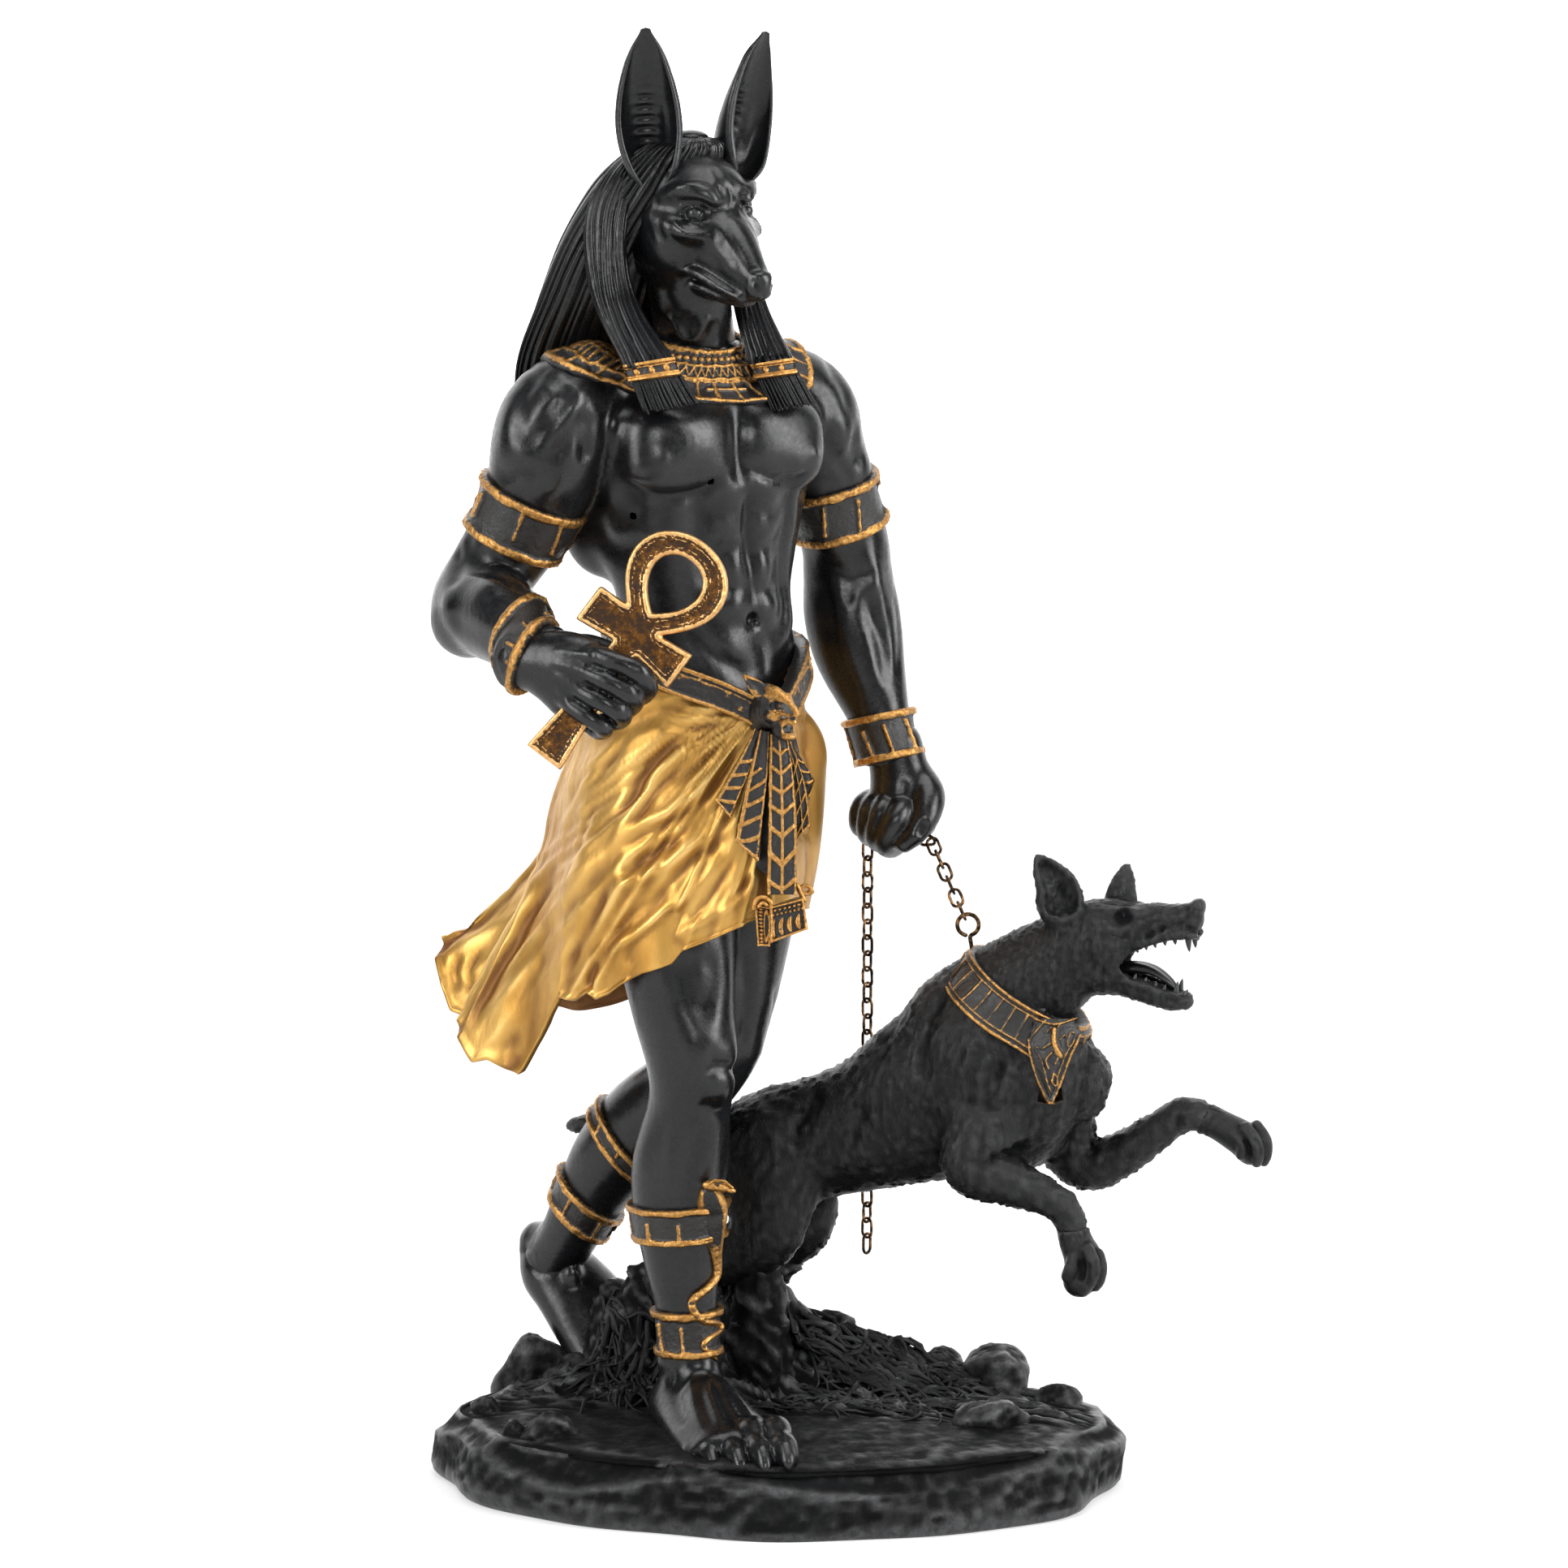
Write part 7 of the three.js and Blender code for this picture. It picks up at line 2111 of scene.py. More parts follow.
# where the hem runs in the front view: rib number, x, y in the kilt's window, depth
HEM = [
    (-1.0, 1250, 935, -18.0), (0.0, 1075, 1022, -21.5), (0.5, 985, 1062, -20.8), (1.0, 900, 1092, -19.6), (1.25, 868, 1132, -19.0), (1.7, 770, 1165, -17.5),
    (2.1, 690, 1208, -15.5), (2.5, 640, 1245, -13.5), (2.8, 597, 1262, -12.0), (3.0, 572, 1236, -11.0), (3.3, 520, 1268, -9.0), (3.6, 462, 1256, -6.5),
    (3.85, 436, 1310, -4.0), (4.1, 398, 1400, -1.0), (4.4, 330, 1520, 3.0), (4.6, 275, 1500, 6.0), (4.8, 225, 1468, 8.0), (5.0, 172, 1478, 10.0),
    (5.2, 118, 1395, 12.5), (5.4, 130, 1350, 15.0), (5.6, 146, 1318, 17.5), (5.8, 100, 1300, 19.5), (6.0, 75, 1235, 22.0), (6.3, 38, 1120, 26.0), (6.6, 78, 1066, 30.0),
]


def hem_shift(u):
    """How far the hem lies from the plain ribs, by turns u, fading out at both ends of the table."""
    k = u * len(RIBS)
    k = np.where(k > 12.0, k - len(RIBS), k)
    tab = np.array([[r[0], *at_depth(W_KILT([r[1:3]]), r[3])[0]] for r in HEM])
    want = np.stack([np.interp(k, tab[:, 0], tab[:, 1 + i]) for i in range(3)], -1)
    fade = smooth(-1.0, -0.2, k) * smooth(7.2, 6.6, k)
    return want, fade


def build_kilt():
    nu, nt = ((384, 80))
    u = np.arange(nu) / nu
    t = np.linspace(0, 1, nt)
    P = kilt_grid(u, t)
    U, T = np.meshgrid(u, t)
    want, fade = hem_shift(u)
    P = P + (smooth(0.42, 1.0, T) ** 1.2)[..., None] * (fade[:, None] * (want - P[-1]))[None]
    N = grid_normals(P, True)
    out = P - vec(-13.5, 4, 0)
    out[..., 2] = 0
    N = N if (N * out).sum(-1).mean() > 0 else -N
    uv = project(P)
    face = smooth(-0.25, 0.3, -(N * unit(P - VIEW_FROM)).sum(-1))
    g = fbm(P.reshape(-1, 3), 0.05, 3, 4).reshape(U.shape)
    back = (1.5 * T**0.8 + 0.25) * np.sin(2 * math.pi * U * 17 + 5.0 * T + 7 * g) + 0.5 * T * np.sin(2 * math.pi * U * 41 + 9 * T + 5 * g)
    edge = 0.9 * T * np.cos(2 * math.pi * U * 14 + 7.2 * T)
    long = [(p, w * 1.3, 0.74 * h, *k) for p, w, h, *k in FOLDS]
    # fine folds that fan from above the knot
    kx, ky = uv[..., 0] - (520 + 1300 / 2.8), uv[..., 1] - (780 + 60 / 2.8)
    turnby, reach = np.arctan2(ky, -kx), np.hypot(kx, ky)
    fine = noise(np.stack([turnby * 26.0, reach / 240.0, 0 * reach], -1).reshape(-1, 3), 1.0, 19).reshape(U.shape)
    wide_ = noise(np.stack([turnby * 9.0, reach / 300.0 + 4, 0 * reach], -1).reshape(-1, 3), 1.0, 23).reshape(U.shape)
    fan = 0.6 * (0.45 - 1.5 * np.abs(fine)) + 0.5 * wide_
    H = face * (1.35 * strokes(uv, long, W_KILT) + 1.3 * strokes(uv, PLEATS, W_KILT) + fan) + (1 - face) * (0.6 * back + 0.55) + 0.25 * edge * face
    H = H + worn(P, 0.16, 0.22, 9) * 0.9 + worn(P, 0.05, 1.2, 10)
    # a soft turned edge along the hem
    H = H + 0.35 * np.exp(-(((1 - T) / 0.012) ** 2)) - 0.25 * np.exp(-(((1 - T - 0.03) / 0.012) ** 2))
    # clear of the thighs
    body = Form()
    body.ops = list(LEGS.ops)
    for _ in range(3):
        Q = P + N * (H - 1.9)[..., None]
        H = H + np.clip(0.3 - body.at(Q.reshape(-1, 3)).reshape(H.shape), 0, 2.5) * smooth(0.0, 0.3, face) 
    top = P + N * H[..., None]
    # the inside: the same cloth a little deeper, on fewer rows
    thick = (1.3 + 0.7 * (1 - T))[..., None]
    inner = (P + N * (H * 0.85)[..., None] - N * thick)[::-3]
    lip = (top[-1:] + inner[:1]) / 2 + unit(top[-1:] - top[-6:-5]) * 0.3
    roof = (top[:1] + inner[-1:]) / 2
    grid = np.concatenate([top, lip, inner, roof])
    R, cols = grid.shape[:2]
    i, j = np.meshgrid(np.arange(R), np.arange(cols), indexing="ij")
    k, l = (i + 1) % R, (j + 1) % cols
    V, F = outside(grid.reshape(-1, 3), np.stack([i * cols + j, i * cols + l, k * cols + l, k * cols + j], -1).reshape(-1, 4))
    # painted shade and highlight for the gold paint: the valleys of the folds are darkened to brown and their crests
    # lightened, and the inside of the cloth is painted as deep shade
    c = np.zeros((R, cols))
    low = -H + np.roll(H, 3, 1) * 0.25 + np.roll(H, -3, 1) * 0.25 + np.roll(H, 6, 1) * 0.25 + np.roll(H, -6, 1) * 0.25
    c[:nt] = np.clip(low * 1.0 + np.clip(-H - 0.7, 0, 1) * 0.22, -1, 0.75)
    c[nt + 1 :] = 0.85
    piece("kilt", V, F, GOLD, "gold_paint", attrs={"cav": c.reshape(-1)})
    # the solid between the cloth and the thighs
    V, F = loft(
        [[-15, 4, 160, 17, 14], [-17, 4.5, 145, 20, 16], [-18, 6, 130, 21, 17.5], [-18, 7, 120, 20, 17], [-17, 7, 114, 15, 13]],
        LF, 64, lambda Q, T: 0.25 * np.sin(Q * 90), 30, 2.0, UP,
    )
    V, F = outside(V, F)
    piece("kilt_lining", V, F, BLACK, "black_resin", attrs={"cav": np.zeros(len(V))})


W_BELT = window(860, 800, 4.02)


def build_belt():
    nu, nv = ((420, 24))
    u = np.arange(nu) / nu
    rim = kilt_grid(u, np.array([0.0, 0.02]))[0]
    v = np.linspace(0, 1, nv)
    out = rim - vec(-13.5, 4, 0)
    out[:, 2] = 0
    out = unit(out)
    P = rim[None] + out[None] * (1.25 + 0.9 * v)[:, None, None] + UP * (2.3 - 5.9 * v)[:, None, None]
    flat = P.reshape(-1, 3)
    nn = np.tile(out, (nv, 1))
    for _ in range(3):
        flat = flat + nn * np.clip(1.0 - UPPER.at(flat), 0, 2)[:, None]
    P = flat.reshape(P.shape)
    N = grid_normals(P, True)
    N = N if (N * out[None]).sum(-1).mean() > 0 else -N
    U, T = np.meshgrid(u, v)
    uv = project(P)
    face = -(N * unit(P - VIEW_FROM)).sum(-1) > 0.15
    h = np.maximum(bar(T - 0.08, 0.065), bar(T - 0.94, 0.065))
    h = np.maximum(h, bar(T - 0.27, 0.035) * 0.55)
    x = (U * 13 + 0.3) % 1 - 0.5
    h = np.where(face, h, np.maximum(h, bar(x, 0.07) * 0.9))
    h = np.maximum(h, face * strokes(uv, [([(42, 75), (10, 150)], 0.24, 0.95, 4), ([(510, 35), (470, 100)], 0.24, 0.9, 4), ([(545, 80), (500, 150)], 0.2, 0.8, 4)], W_BELT, "max"))
    inner = (T > 0.3) & (T < 0.72)
    h = h + inner * np.clip(worn(P, 1.1, 0.9, 3), -0.1, 0.6) * 0.8 + worn(P, 0.16, 1.4, 4)
    relief_piece("belt", [relief(P, N, 0.6 * h, 2.2, True, gilded(h, 0.45, 0.95))], TRIM)


def build_mask():
    """A snarling beast's head in high relief on the belt: gold rubbed on its ridges, black left in the hollows."""
    f = Form()
    win = window(900, 810, 10.0)

    def at(x, y, depth):
        return at_depth(win([(x, y)]), depth)[0]

    Y = turn(40, 0, 0)
    f.add(Blob(at(500, 640, -19.2), (3.2, 3.0, 4.3), Y))
    f.add(Blob(at(370, 700, -18.0), (2.2, 2.2, 4.0), Y), 1.0)
    # forehead, brow, bridge of the nose
    f.add(Limb([[*at(450, 390, -20.0), 1.1, 1.0], [*at(560, 440, -21.8), 1.3, 1.1], [*at(660, 515, -23.2), 0.95, 0.8], [*at(700, 545, -23.9), 0.5, 0.45]], UP), 0.9)
    f.add(Limb([[*at(700, 480, -22.6), 0.75, 0.8], [*at(745, 570, -24.2), 0.6, 0.65], [*at(790, 640, -25.0), 0.6, 0.6], [*at(822, 700, -25.4), 0.5, 0.5]], UP), 0.5)
    f.add(Blob(at(795, 722, -25.0), (0.75, 0.7, 0.5), Y), 0.3)
    # cheek and the folds beside the nose
    f.add(Blob(at(535, 720, -21.8), (2.0, 1.6, 1.35), Y), 0.7)
    f.add(Limb([[*at(655, 800, -23.2), 0.6, 0.6], [*at(715, 775, -24.1), 0.6, 0.55], [*at(785, 800, -24.8), 0.55, 0.5]], UP), 0.4)
    f.add(Limb([[*at(640, 690, -23.0), 0.4, 0.45], [*at(690, 700, -23.9), 0.45, 0.4], [*at(745, 730, -24.6), 0.4, 0.35]], UP), 0.3)
    # jaws
    f.add(Blob(at(620, 880, -21.8), (1.7, 1.8, 2.0), Y), 0.8)
    f.add(Blob(at(720, 975, -23.2), (1.5, 1.5, 0.75), Y), 0.5)
    f.cut(Blob(at(716, 886, -24.9), (1.15, 1.7, 0.56), Y), 0.25)
    f.cut(Blob(at(598, 598, -23.9), (1.2, 1.3, 0.62), Y), 0.35)
    f.cut(Blob(at(772, 748, -25.7), (0.36, 0.5, 0.3), Y), 0.12)
    f.add(Blob(at(600, 600, -22.9), (0.72, 0.6, 0.6), Y), 0.08)
    mk = Marks(f, win)
    ridge = lambda pts, w, h: mk.line(pts, w, -h, ends=0)
    ridge([(545, 625), (575, 665), (630, 672), (655, 640)], 0.2, 0.45)
    ridge([(480, 590), (470, 640), (520, 690), (590, 720), (645, 700)], 0.22, 0.4)
    ridge([(630, 850), (628, 900), (660, 940), (720, 948), (785, 935), (800, 890)], 0.24, 0.5)
    ridge([(640, 845), (690, 828), (750, 832), (795, 862)], 0.2, 0.4)
    ridge([(500, 540), (560, 548), (640, 552), (700, 575)], 0.2, 0.35)
    mk.line([(660, 640), (690, 668), (740, 690)], 0.2, 0.45)
    mk.line([(655, 740), (700, 735), (735, 755)], 0.18, 0.4)
    mk.line([(520, 560), (500, 600), (520, 650)], 0.16, 0.3)
    mk.line([(560, 800), (600, 860), (590, 930)], 0.3, 0.6)
    mk.line([(330, 640), (345, 720), (380, 760)], 0.26, 0.4)
    for x, y in ((670, 868), (700, 862), (735, 860), (690, 918), (730, 920)):
        ridge([(x, y - 8), (x, y + 8)], 0.16, 0.25)
    mk.lay()
    # ears
    w = unit(vec(0.6, 0.1, 0.7))
    f.add(Limb([[*at(400, 470, -20.0), 1.3, 0.7], [*at(340, 390, -20.6), 1.55, 0.7], [*at(260, 310, -20.4), 1.15, 0.6], [*at(195, 248, -19.9), 0.6, 0.45], [*at(152, 215, -19.5), 0.2, 0.22]], w), 0.5)
    f.cut(Limb([[*at(400, 430, -21.4), 0.5, 0.7], [*at(335, 365, -21.6), 0.95, 0.9], [*at(255, 295, -21.3), 0.62, 0.7], [*at(200, 255, -20.8), 0.2, 0.6]], w), 0.25)
    V, F = f.mesh(0.2)
    V = relax(V, F, 1, 0.35)
    V = V + vnormals(V, F) * (0.05 * fbm(V, 1.4, 3, 2))[:, None]
    c = hollow(V, F) / (0.2 * COARSE) * 3.4 + 0.22
    uv = project(V)
    for x, y, rx, ry, k in (
        (350, 700, 120, 240, 0.9), (300, 560, 120, 90, 0.7), (305, 345, 110, 46, 1.2), (250, 300, 70, 30, 0.9), (590, 598, 115, 48, 0.9), (715, 885, 82, 38, 1.4), (480, 880, 90, 120, 0.8),
        (700, 655, 50, 26, 0.7), (772, 748, 30, 20, 0.9), (560, 930, 80, 90, 0.6), (560, 440, 110, 70, -0.9), (640, 515, 70, 30, -0.8), (785, 625, 34, 60, -0.8), (530, 725, 80, 45, -0.7), (612, 596, 14, 14, -1.4),
        (590, 665, 70, 14, -1.0), (640, 905, 16, 44, -0.9), (720, 952, 70, 16, -1.0), (715, 815, 70, 16, -0.8), (710, 990, 50, 24, -0.6), (360, 270, 90, 16, -1.0), (215, 400, 20, 60, -0.7), (340, 480, 60, 22, -0.8),
    ):
        q = ((uv[:, 0] - 900) * 10 - x) / rx, ((uv[:, 1] - 810) * 10 - y) / ry
        c = c + k * np.exp(-((q[0] ** 2 + q[1] ** 2) ** 1.3))
    piece("belt_mask", V, F, TRIM_BRIGHT, "antique_gold_trim", attrs={"cav": c})


def build_apron():
    m5 = W_BELT
    parts = []
    q = 0.68

    def strip(left, right, depth, pattern, cols, rows, thick=2.2, belly=0.25, amp=0.5, seed=1):
        P, N, S, T = panel(m5, left, right, depth, int(cols * q), int(rows * q), belly)
        h = pattern(S, T)
        h = h * (0.92 + worn(P, 0.4, 0.8, seed)) + worn(P, 0.13, 1.6, seed + 1)
        parts.append(relief(P, N, amp * h, thick, False, gilded(h, 0.52, 1.0)))

    def ladder(n, slope, lead=0.0):
        def f(S, T):
            h = np.maximum(bar(S - 0.09, 0.085), bar(S - 0.93, 0.05) * 0.6)
            x = (T * n + slope * (S - 0.5) + lead) % 1 - 0.5
            return np.maximum(np.maximum(h, bar(x, 0.14) * (T > 0.3) * (S < 0.93)), bar(T - 0.975, 0.02))

        return f

    def herring(S, T):
        h = np.maximum(bar(S - 0.06, 0.055), bar(S - 0.96, 0.035) * 0.8)
        h = np.maximum(h, bar(S - 0.5, 0.055) * smooth(0.02, 0.1, T))
        x = (T * 7.6 + 0.9 * np.abs(S - 0.5) * np.where(S < 0.5, 1, 1.2) + 0.2) % 1 - 0.5
        return np.maximum(h, bar(x, 0.12) * (T > 0.12))

    def lattice(S, T):
        h = np.maximum(bar(S - 0.07, 0.055), bar(S - 0.95, 0.05))
        h = np.maximum(h, bar(S - 0.48, 0.05) * 0.9)
        x = (T * 5.2 + 0.8 * (S - 0.5)) % 1 - 0.5
        h = np.maximum(h, bar(x, 0.12) * (T > 0.2))
        return np.maximum(h, bar(T - 0.97, 0.025))

    # fan behind, then the central strip in front
    strip([(444, 462), (490, 560), (520, 660), (540, 760)], [(458, 458), (510, 540), (552, 605), (574, 652)], (-19.2, -17.8, -16.8, -16.4), ladder(4.5, -1.1), 40, 110, seed=31)
    strip([(432, 462), (468, 620), (480, 790), (484, 952)], [(450, 458), (505, 600), (535, 730), (550, 870)], (-21.2, -20.6, -19.6, -18.8), lattice, 54, 130, seed=35)
    strip([(285, 395), (225, 510), (150, 640), (88, 748)], [(318, 408), (270, 560), (215, 700), (160, 838)], (-20.8, -22.4, -23.4, -23.8), ladder(6.2, 1.0, 0.1), 48, 130, seed=41)
    strip([(312, 400), (262, 590), (222, 770), (184, 952)], [(352, 408), (345, 620), (322, 830), (298, 1052)], (-21.4, -22.8, -23.6, -24.0), ladder(7.0, 1.3, 0.3), 60, 150, seed=45)
    strip([(362, 420), (355, 640), (352, 900), (345, 1215)], [(440, 440), (470, 640), (484, 900), (486, 1215)], (-22.0, -23.0, -23.8, -23.8), herring, 84, 230, belly=0.5, seed=51)
    # dark gap and the cloth root under the mask
    relief_piece("apron_strips", parts, TRIM)
    P, N, S, T = panel(m5, [(300, 360), (300, 700), (280, 1080)], [(470, 380), (470, 700), (480, 1200)], (-18.8, -20.6, -21.4), 20, 40, 0.8)
    v, f_, c = relief(P, N, worn(P, 0.2, 0.8), 3.0)
    piece("apron_back", v, f_, BLACK, "black_resin", attrs={"cav": c})
    # the little panel at its foot
    parts.clear()

    def foot(S, T):
        edge = np.maximum(np.maximum(bar(S - 0.03, 0.03), bar(S - 0.965, 0.03)), np.maximum(bar(T - 0.05, 0.045), bar(T - 0.95, 0.045)))
        h = edge
        for row, n, r in ((0.2, 7, 0.40), (0.33, 8, 0.36)):
            x = (S * n + row * 3) % 1 - 0.5
            d = np.hypot(x, (T - row) * 8.2)
            h = np.maximum(h, np.sqrt(np.clip(1 - (d / r) ** 2, 0, 1)) * (T > 0.1))
        x = (S * 4.2 + 0.35 * np.sin((T - 0.4) * 6)) % 1 - 0.5
        v = np.clip((T - 0.44) / 0.44, 0, 1)
        leaf = bar(x, 0.30 * np.sin(math.pi * np.clip(v, 0.02, 0.98)) ** 0.6, 0.3) * (v > 0) * (v < 1)
        return np.maximum(h, leaf * (0.75 - 0.25 * bar(x, 0.05)))

    strip([(362, 1275), (364, 1350), (362, 1455)], [(520, 1232), (532, 1310), (540, 1385)], (-24.6, -24.6, -24.6), foot, 120, 90, 2.4, 0.5, 0.7, 61)

    def side(S, T):
        h = np.maximum(np.maximum(bar(S - 0.07, 0.07), bar(S - 0.93, 0.07)), np.maximum(bar(T - 0.04, 0.035), bar(T - 0.96, 0.035)))
        d = np.hypot((S - 0.34) * 2.2, ((T * 12) % 1) - 0.5)
        h = np.maximum(h, np.sqrt(np.clip(1 - (d / 0.4) ** 2, 0, 1)) * (T > 0.08) * (T < 0.92))
        return np.maximum(h, bar(np.hypot((S - 0.7) * 2.6, (T - 0.5) * 1.3) - 0.42, 0.09) * 0.9)

    strip([(282, 1262), (290, 1360), (300, 1468)], [(364, 1280), (362, 1370), (352, 1470)], (-23.6, -23.6, -23.6), side, 60, 90, 2.0, 0.2, 0.6, 65)
    relief_piece("apron_foot", parts, TRIM_BRIGHT)
    rolls = []
    at = lambda pts, y: at_depth(m5(pts), y)
    rolls.append(tube(spline(at([(276, 1285), (290, 1240), (325, 1228), (358, 1250), (362, 1278)], -24.6), np.linspace(0, 4, 17)), 0.5, 8))
    rolls.append(tube(spline(at([(300, 1275), (320, 1255), (342, 1268)], -25.0), np.linspace(0, 2, 9)), 0.36, 8))
    ang = np.linspace(0.4, 2 * math.pi * 1.15, 30)
    ring = [(535 + 36 * math.cos(a) * (1 - 0.05 * a), 1190 + 24 * math.sin(a) * (1 - 0.05 * a)) for a in ang]
    rolls.append(tube(at(ring, -20.6), 0.42, 8))
    rolls.append(tube(spline(at([(492, 1168), (505, 1200), (528, 1245)], -21.6), np.linspace(0, 2, 9)), 0.5, 8))
    V, F = merged(rolls)
    piece("apron_scrolls", V, F, TRIM_BRIGHT, "antique_gold_trim", attrs={"cav": np.full(len(V), -0.3)})


build_kilt()
build_belt()
build_mask()
build_apron()


# ---------------------------------------------------------------- bands on the limbs
W_SHIN = window(650, 1280, 2.8)


def band(form, a, b, side, cols, rows, pattern, win=None, marks=(), out=0.8, amp=0.6, thick=1.6, cast=16.0, seed=0, widen=None, plane=None, most=None):
    """A sleeve round a limb between two places on its axis, lying on the form, with raised lines."""
    a, b = np.array(a, float), np.array(b, float)
    ax = unit(b - a) if plane is None else unit(vec(*plane))
    u = unit(np.array(side, float) - (np.array(side, float) @ ax) * ax)
    w = np.cross(ax, u)
    cols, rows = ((int(cols * 0.66), int(rows * 0.6) + 4))
    q = np.linspace(0, 2 * math.pi, cols, endpoint=False)
    t = np.linspace(0, 1, rows)
    T, Q = np.meshgrid(t, q, indexing="ij")
    D = u * np.cos(Q)[..., None] + w * np.sin(Q)[..., None]
    # cast on a coarse net, then fill in
    tc = np.linspace(0, 1, 6)
    qc = np.linspace(0, 2 * math.pi, 48, endpoint=False)
    Tc, Qc = np.meshgrid(tc, qc, indexing="ij")
    Oc = a + (b - a) * Tc[..., None]
    Dc = u * np.cos(Qc)[..., None] + w * np.sin(Qc)[..., None]
    r = form.outward(Oc.reshape(-1, 3), Dc.reshape(-1, 3), cast, 50, first=True).reshape(Tc.shape)
    med = np.median(r[r > 0.5]) if (r > 0.5).any() else 6.0
    r = np.where((r < 0.5) | (r > 2.2 * med), med, r)
    r = np.maximum(r, np.median(r) * 0.6)
    for _ in range(2):
        r = 0.5 * r + 0.25 * np.roll(r, 1, 1) + 0.25 * np.roll(r, -1, 1)
    r = np.concatenate([r[:, -2:], r, r[:, :3]], axis=1)
    R = spline(r.T, q / (2 * math.pi) * 48 + 2)
    R = spline(R.T, t * 5)
    if widen is not None:
        R = R + widen(T)
    if most is not None:
        R = np.minimum(R, most)
    O = a + (b - a) * T[..., None]
    P = O + D * (R + out)[..., None]
    N = grid_normals(P, True)
    N = N if (N * D).sum(-1).mean() > 0 else -N
    uv = project(P)
    face = -(N * unit(P - VIEW_FROM)).sum(-1) > 0.05
    h = pattern(Q / (2 * math.pi), T, face)
    if win is not None and len(marks):
        h = np.maximum(h, face * strokes(uv, marks, win, "max"))
    h = h * (0.92 + worn(P, 0.4, 0.9, seed)) + worn(P, 0.12, 1.5, seed + 1)
    return relief(P, N, amp * h, thick, True, gilded(h, 0.5, 0.98))


def edged(n, edge=0.17, w=0.07, rope=0.0, bars=True):
    """Cord borders above and below, and n bars on the side that the front view misses."""

    def f(Q, T, face):
        e = edge * (1 + 0.08 * np.sin(Q * 2 * math.pi * 9 + 1.0))
        h = np.maximum(bar(T - 0.5 * e, 0.5 * e, 0.25), bar(T - 1 + 0.5 * e, 0.5 * e, 0.25))
        if rope:
            h = h * (1 - rope * (0.5 + 0.5 * np.sin(2 * math.pi * (Q * 40 + T * 2.5))))
        if bars:
            x = (Q * n + 0.4) % 1 - 0.5
            h = np.where(face, h, np.maximum(h, bar(x, w) * 0.9))
        return h

    return f


def build_bands():
    X, Zv = vec(1, 0, 0), vec(0, 0, 1)
    leg = vec(0.86, 0.5, 0)
    rear = vec(0.9, -0.2, 0.4)
    h = W_HAND
    a = W_ARM
    wrist = Form()
    wrist.ops = list(UPPER.ops) + list(right_hand().ops)
    s = W_SHIN
    arms = [
        # near upper arm: top, bottom borders and three bars
        band(
            UPPER, (-47.2, -9.8, 193.4), (-51.6, -8.2, 183.6), (0, 1, 0), 260, 52, edged(9, 0.15, 0.045, 0.18), h,
            [([(298, 150), (262, 240)], 0.3, 0.95, 4), ([(455, 225), (415, 330)], 0.3, 0.95, 4), ([(600, 270), (560, 380)], 0.3, 0.95, 4)], 0.6, 0.85, seed=3,
        ),
        # near wrist
        band(
            wrist, (-50.4, -28.4, 167.0), (-43.6, -35.0, 165.0), (0, 0, 1), 220, 48, edged(8, 0.16, 0.05), h,
            [([(455, 655), (500, 705)], 0.26, 0.95, 4), ([(395, 730), (475, 775)], 0.3, 0.95, 4), ([(392, 800), (480, 835)], 0.28, 0.95, 4), ([(535, 615), (590, 660)], 0.24, 0.9, 4)], 0.7, 0.8, seed=5, plane=(0.8, -0.5, -0.34), most=9.2,
        ),
        # far upper arm
        band(
            UPPER, (8.6, 23.8, 192.2), (11.0, 26.2, 182.2), (1, 0, 0), 260, 52, edged(9, 0.15, 0.045, 0.18), a,
            [([(300, 330), (306, 420)], 0.3, 0.95, 4), ([(408, 305), (416, 400)], 0.3, 0.95, 4), ([(488, 260), (500, 345)], 0.28, 0.95, 4)], 0.6, 0.85, seed=7,
        ),
        # far wrist
        band(
            UPPER, (20.0, 21.0, 147.2), (21.9, 19.6, 138.2), (1, 0, 0), 200, 46, edged(8, 0.15, 0.06), a,
            [([(428, 1050), (470, 1150)], 0.3, 0.9, 4), ([(492, 1030), (530, 1130)], 0.3, 0.95, 4), ([(560, 1010), (595, 1110)], 0.3, 0.95, 4), ([(603, 990), (630, 1090)], 0.28, 0.9, 4)], 0.7, 0.8, seed=9,
        ),
    ]
    relief_piece("arm_bands", arms, TRIM)
    legs = [
        band(
            LEGS, (-19.7, -5.1, 56.4), (-19.3, -5.1, 49.2), leg, 260, 48, edged(10, 0.17, 0.05), s,
            [([(345, 620), (352, 690)], 0.3, 0.9, 4), ([(415, 640), (425, 715)], 0.3, 0.9, 4), ([(518, 645), (528, 725)], 0.3, 0.95, 4), ([(705, 610), (700, 690)], 0.28, 0.9, 4)], 0.6, 0.75, seed=11,
        ),
        band(
            LEGS, (-18.2, -5.8, 35.6), (-17.8, -6.0, 26.6), leg, 240, 48, edged(9, 0.16, 0.05), s,
            [([(455, 985), (470, 1080)], 0.3, 0.9, 4), ([(530, 1000), (540, 1095)], 0.3, 0.95, 4), ([(678, 985), (680, 1080)], 0.28, 0.9, 4)], 0.6, 0.75, seed=13,
        ),
        band(
            LEGS, (-30.8, 18.0, 66.2), (-32.4, 19.6, 62.4), rear, 220, 40, edged(9, 0.24, 0.05), s,
            [([(253, 298), (235, 336)], 0.3, 0.9, 4), ([(329, 377), (306, 406)], 0.3, 0.9, 4)], 0.6, 0.75, seed=15, cast=18, plane=(-0.77, 0.18, -0.61),
        ),
        band(
            LEGS, (-36.8, 24.6, 51.6), (-39.4, 26.8, 45.2), rear, 220, 40, edged(8, 0.2, 0.05), s,
            [([(153, 550), (118, 614)], 0.3, 0.9, 4), ([(256, 626), (212, 696)], 0.3, 0.9, 4)], 0.6, 0.75, seed=17, cast=16, plane=(-0.65, 0.2, -0.74),
        ),
    ]
    relief_piece("leg_bands", legs, TRIM)


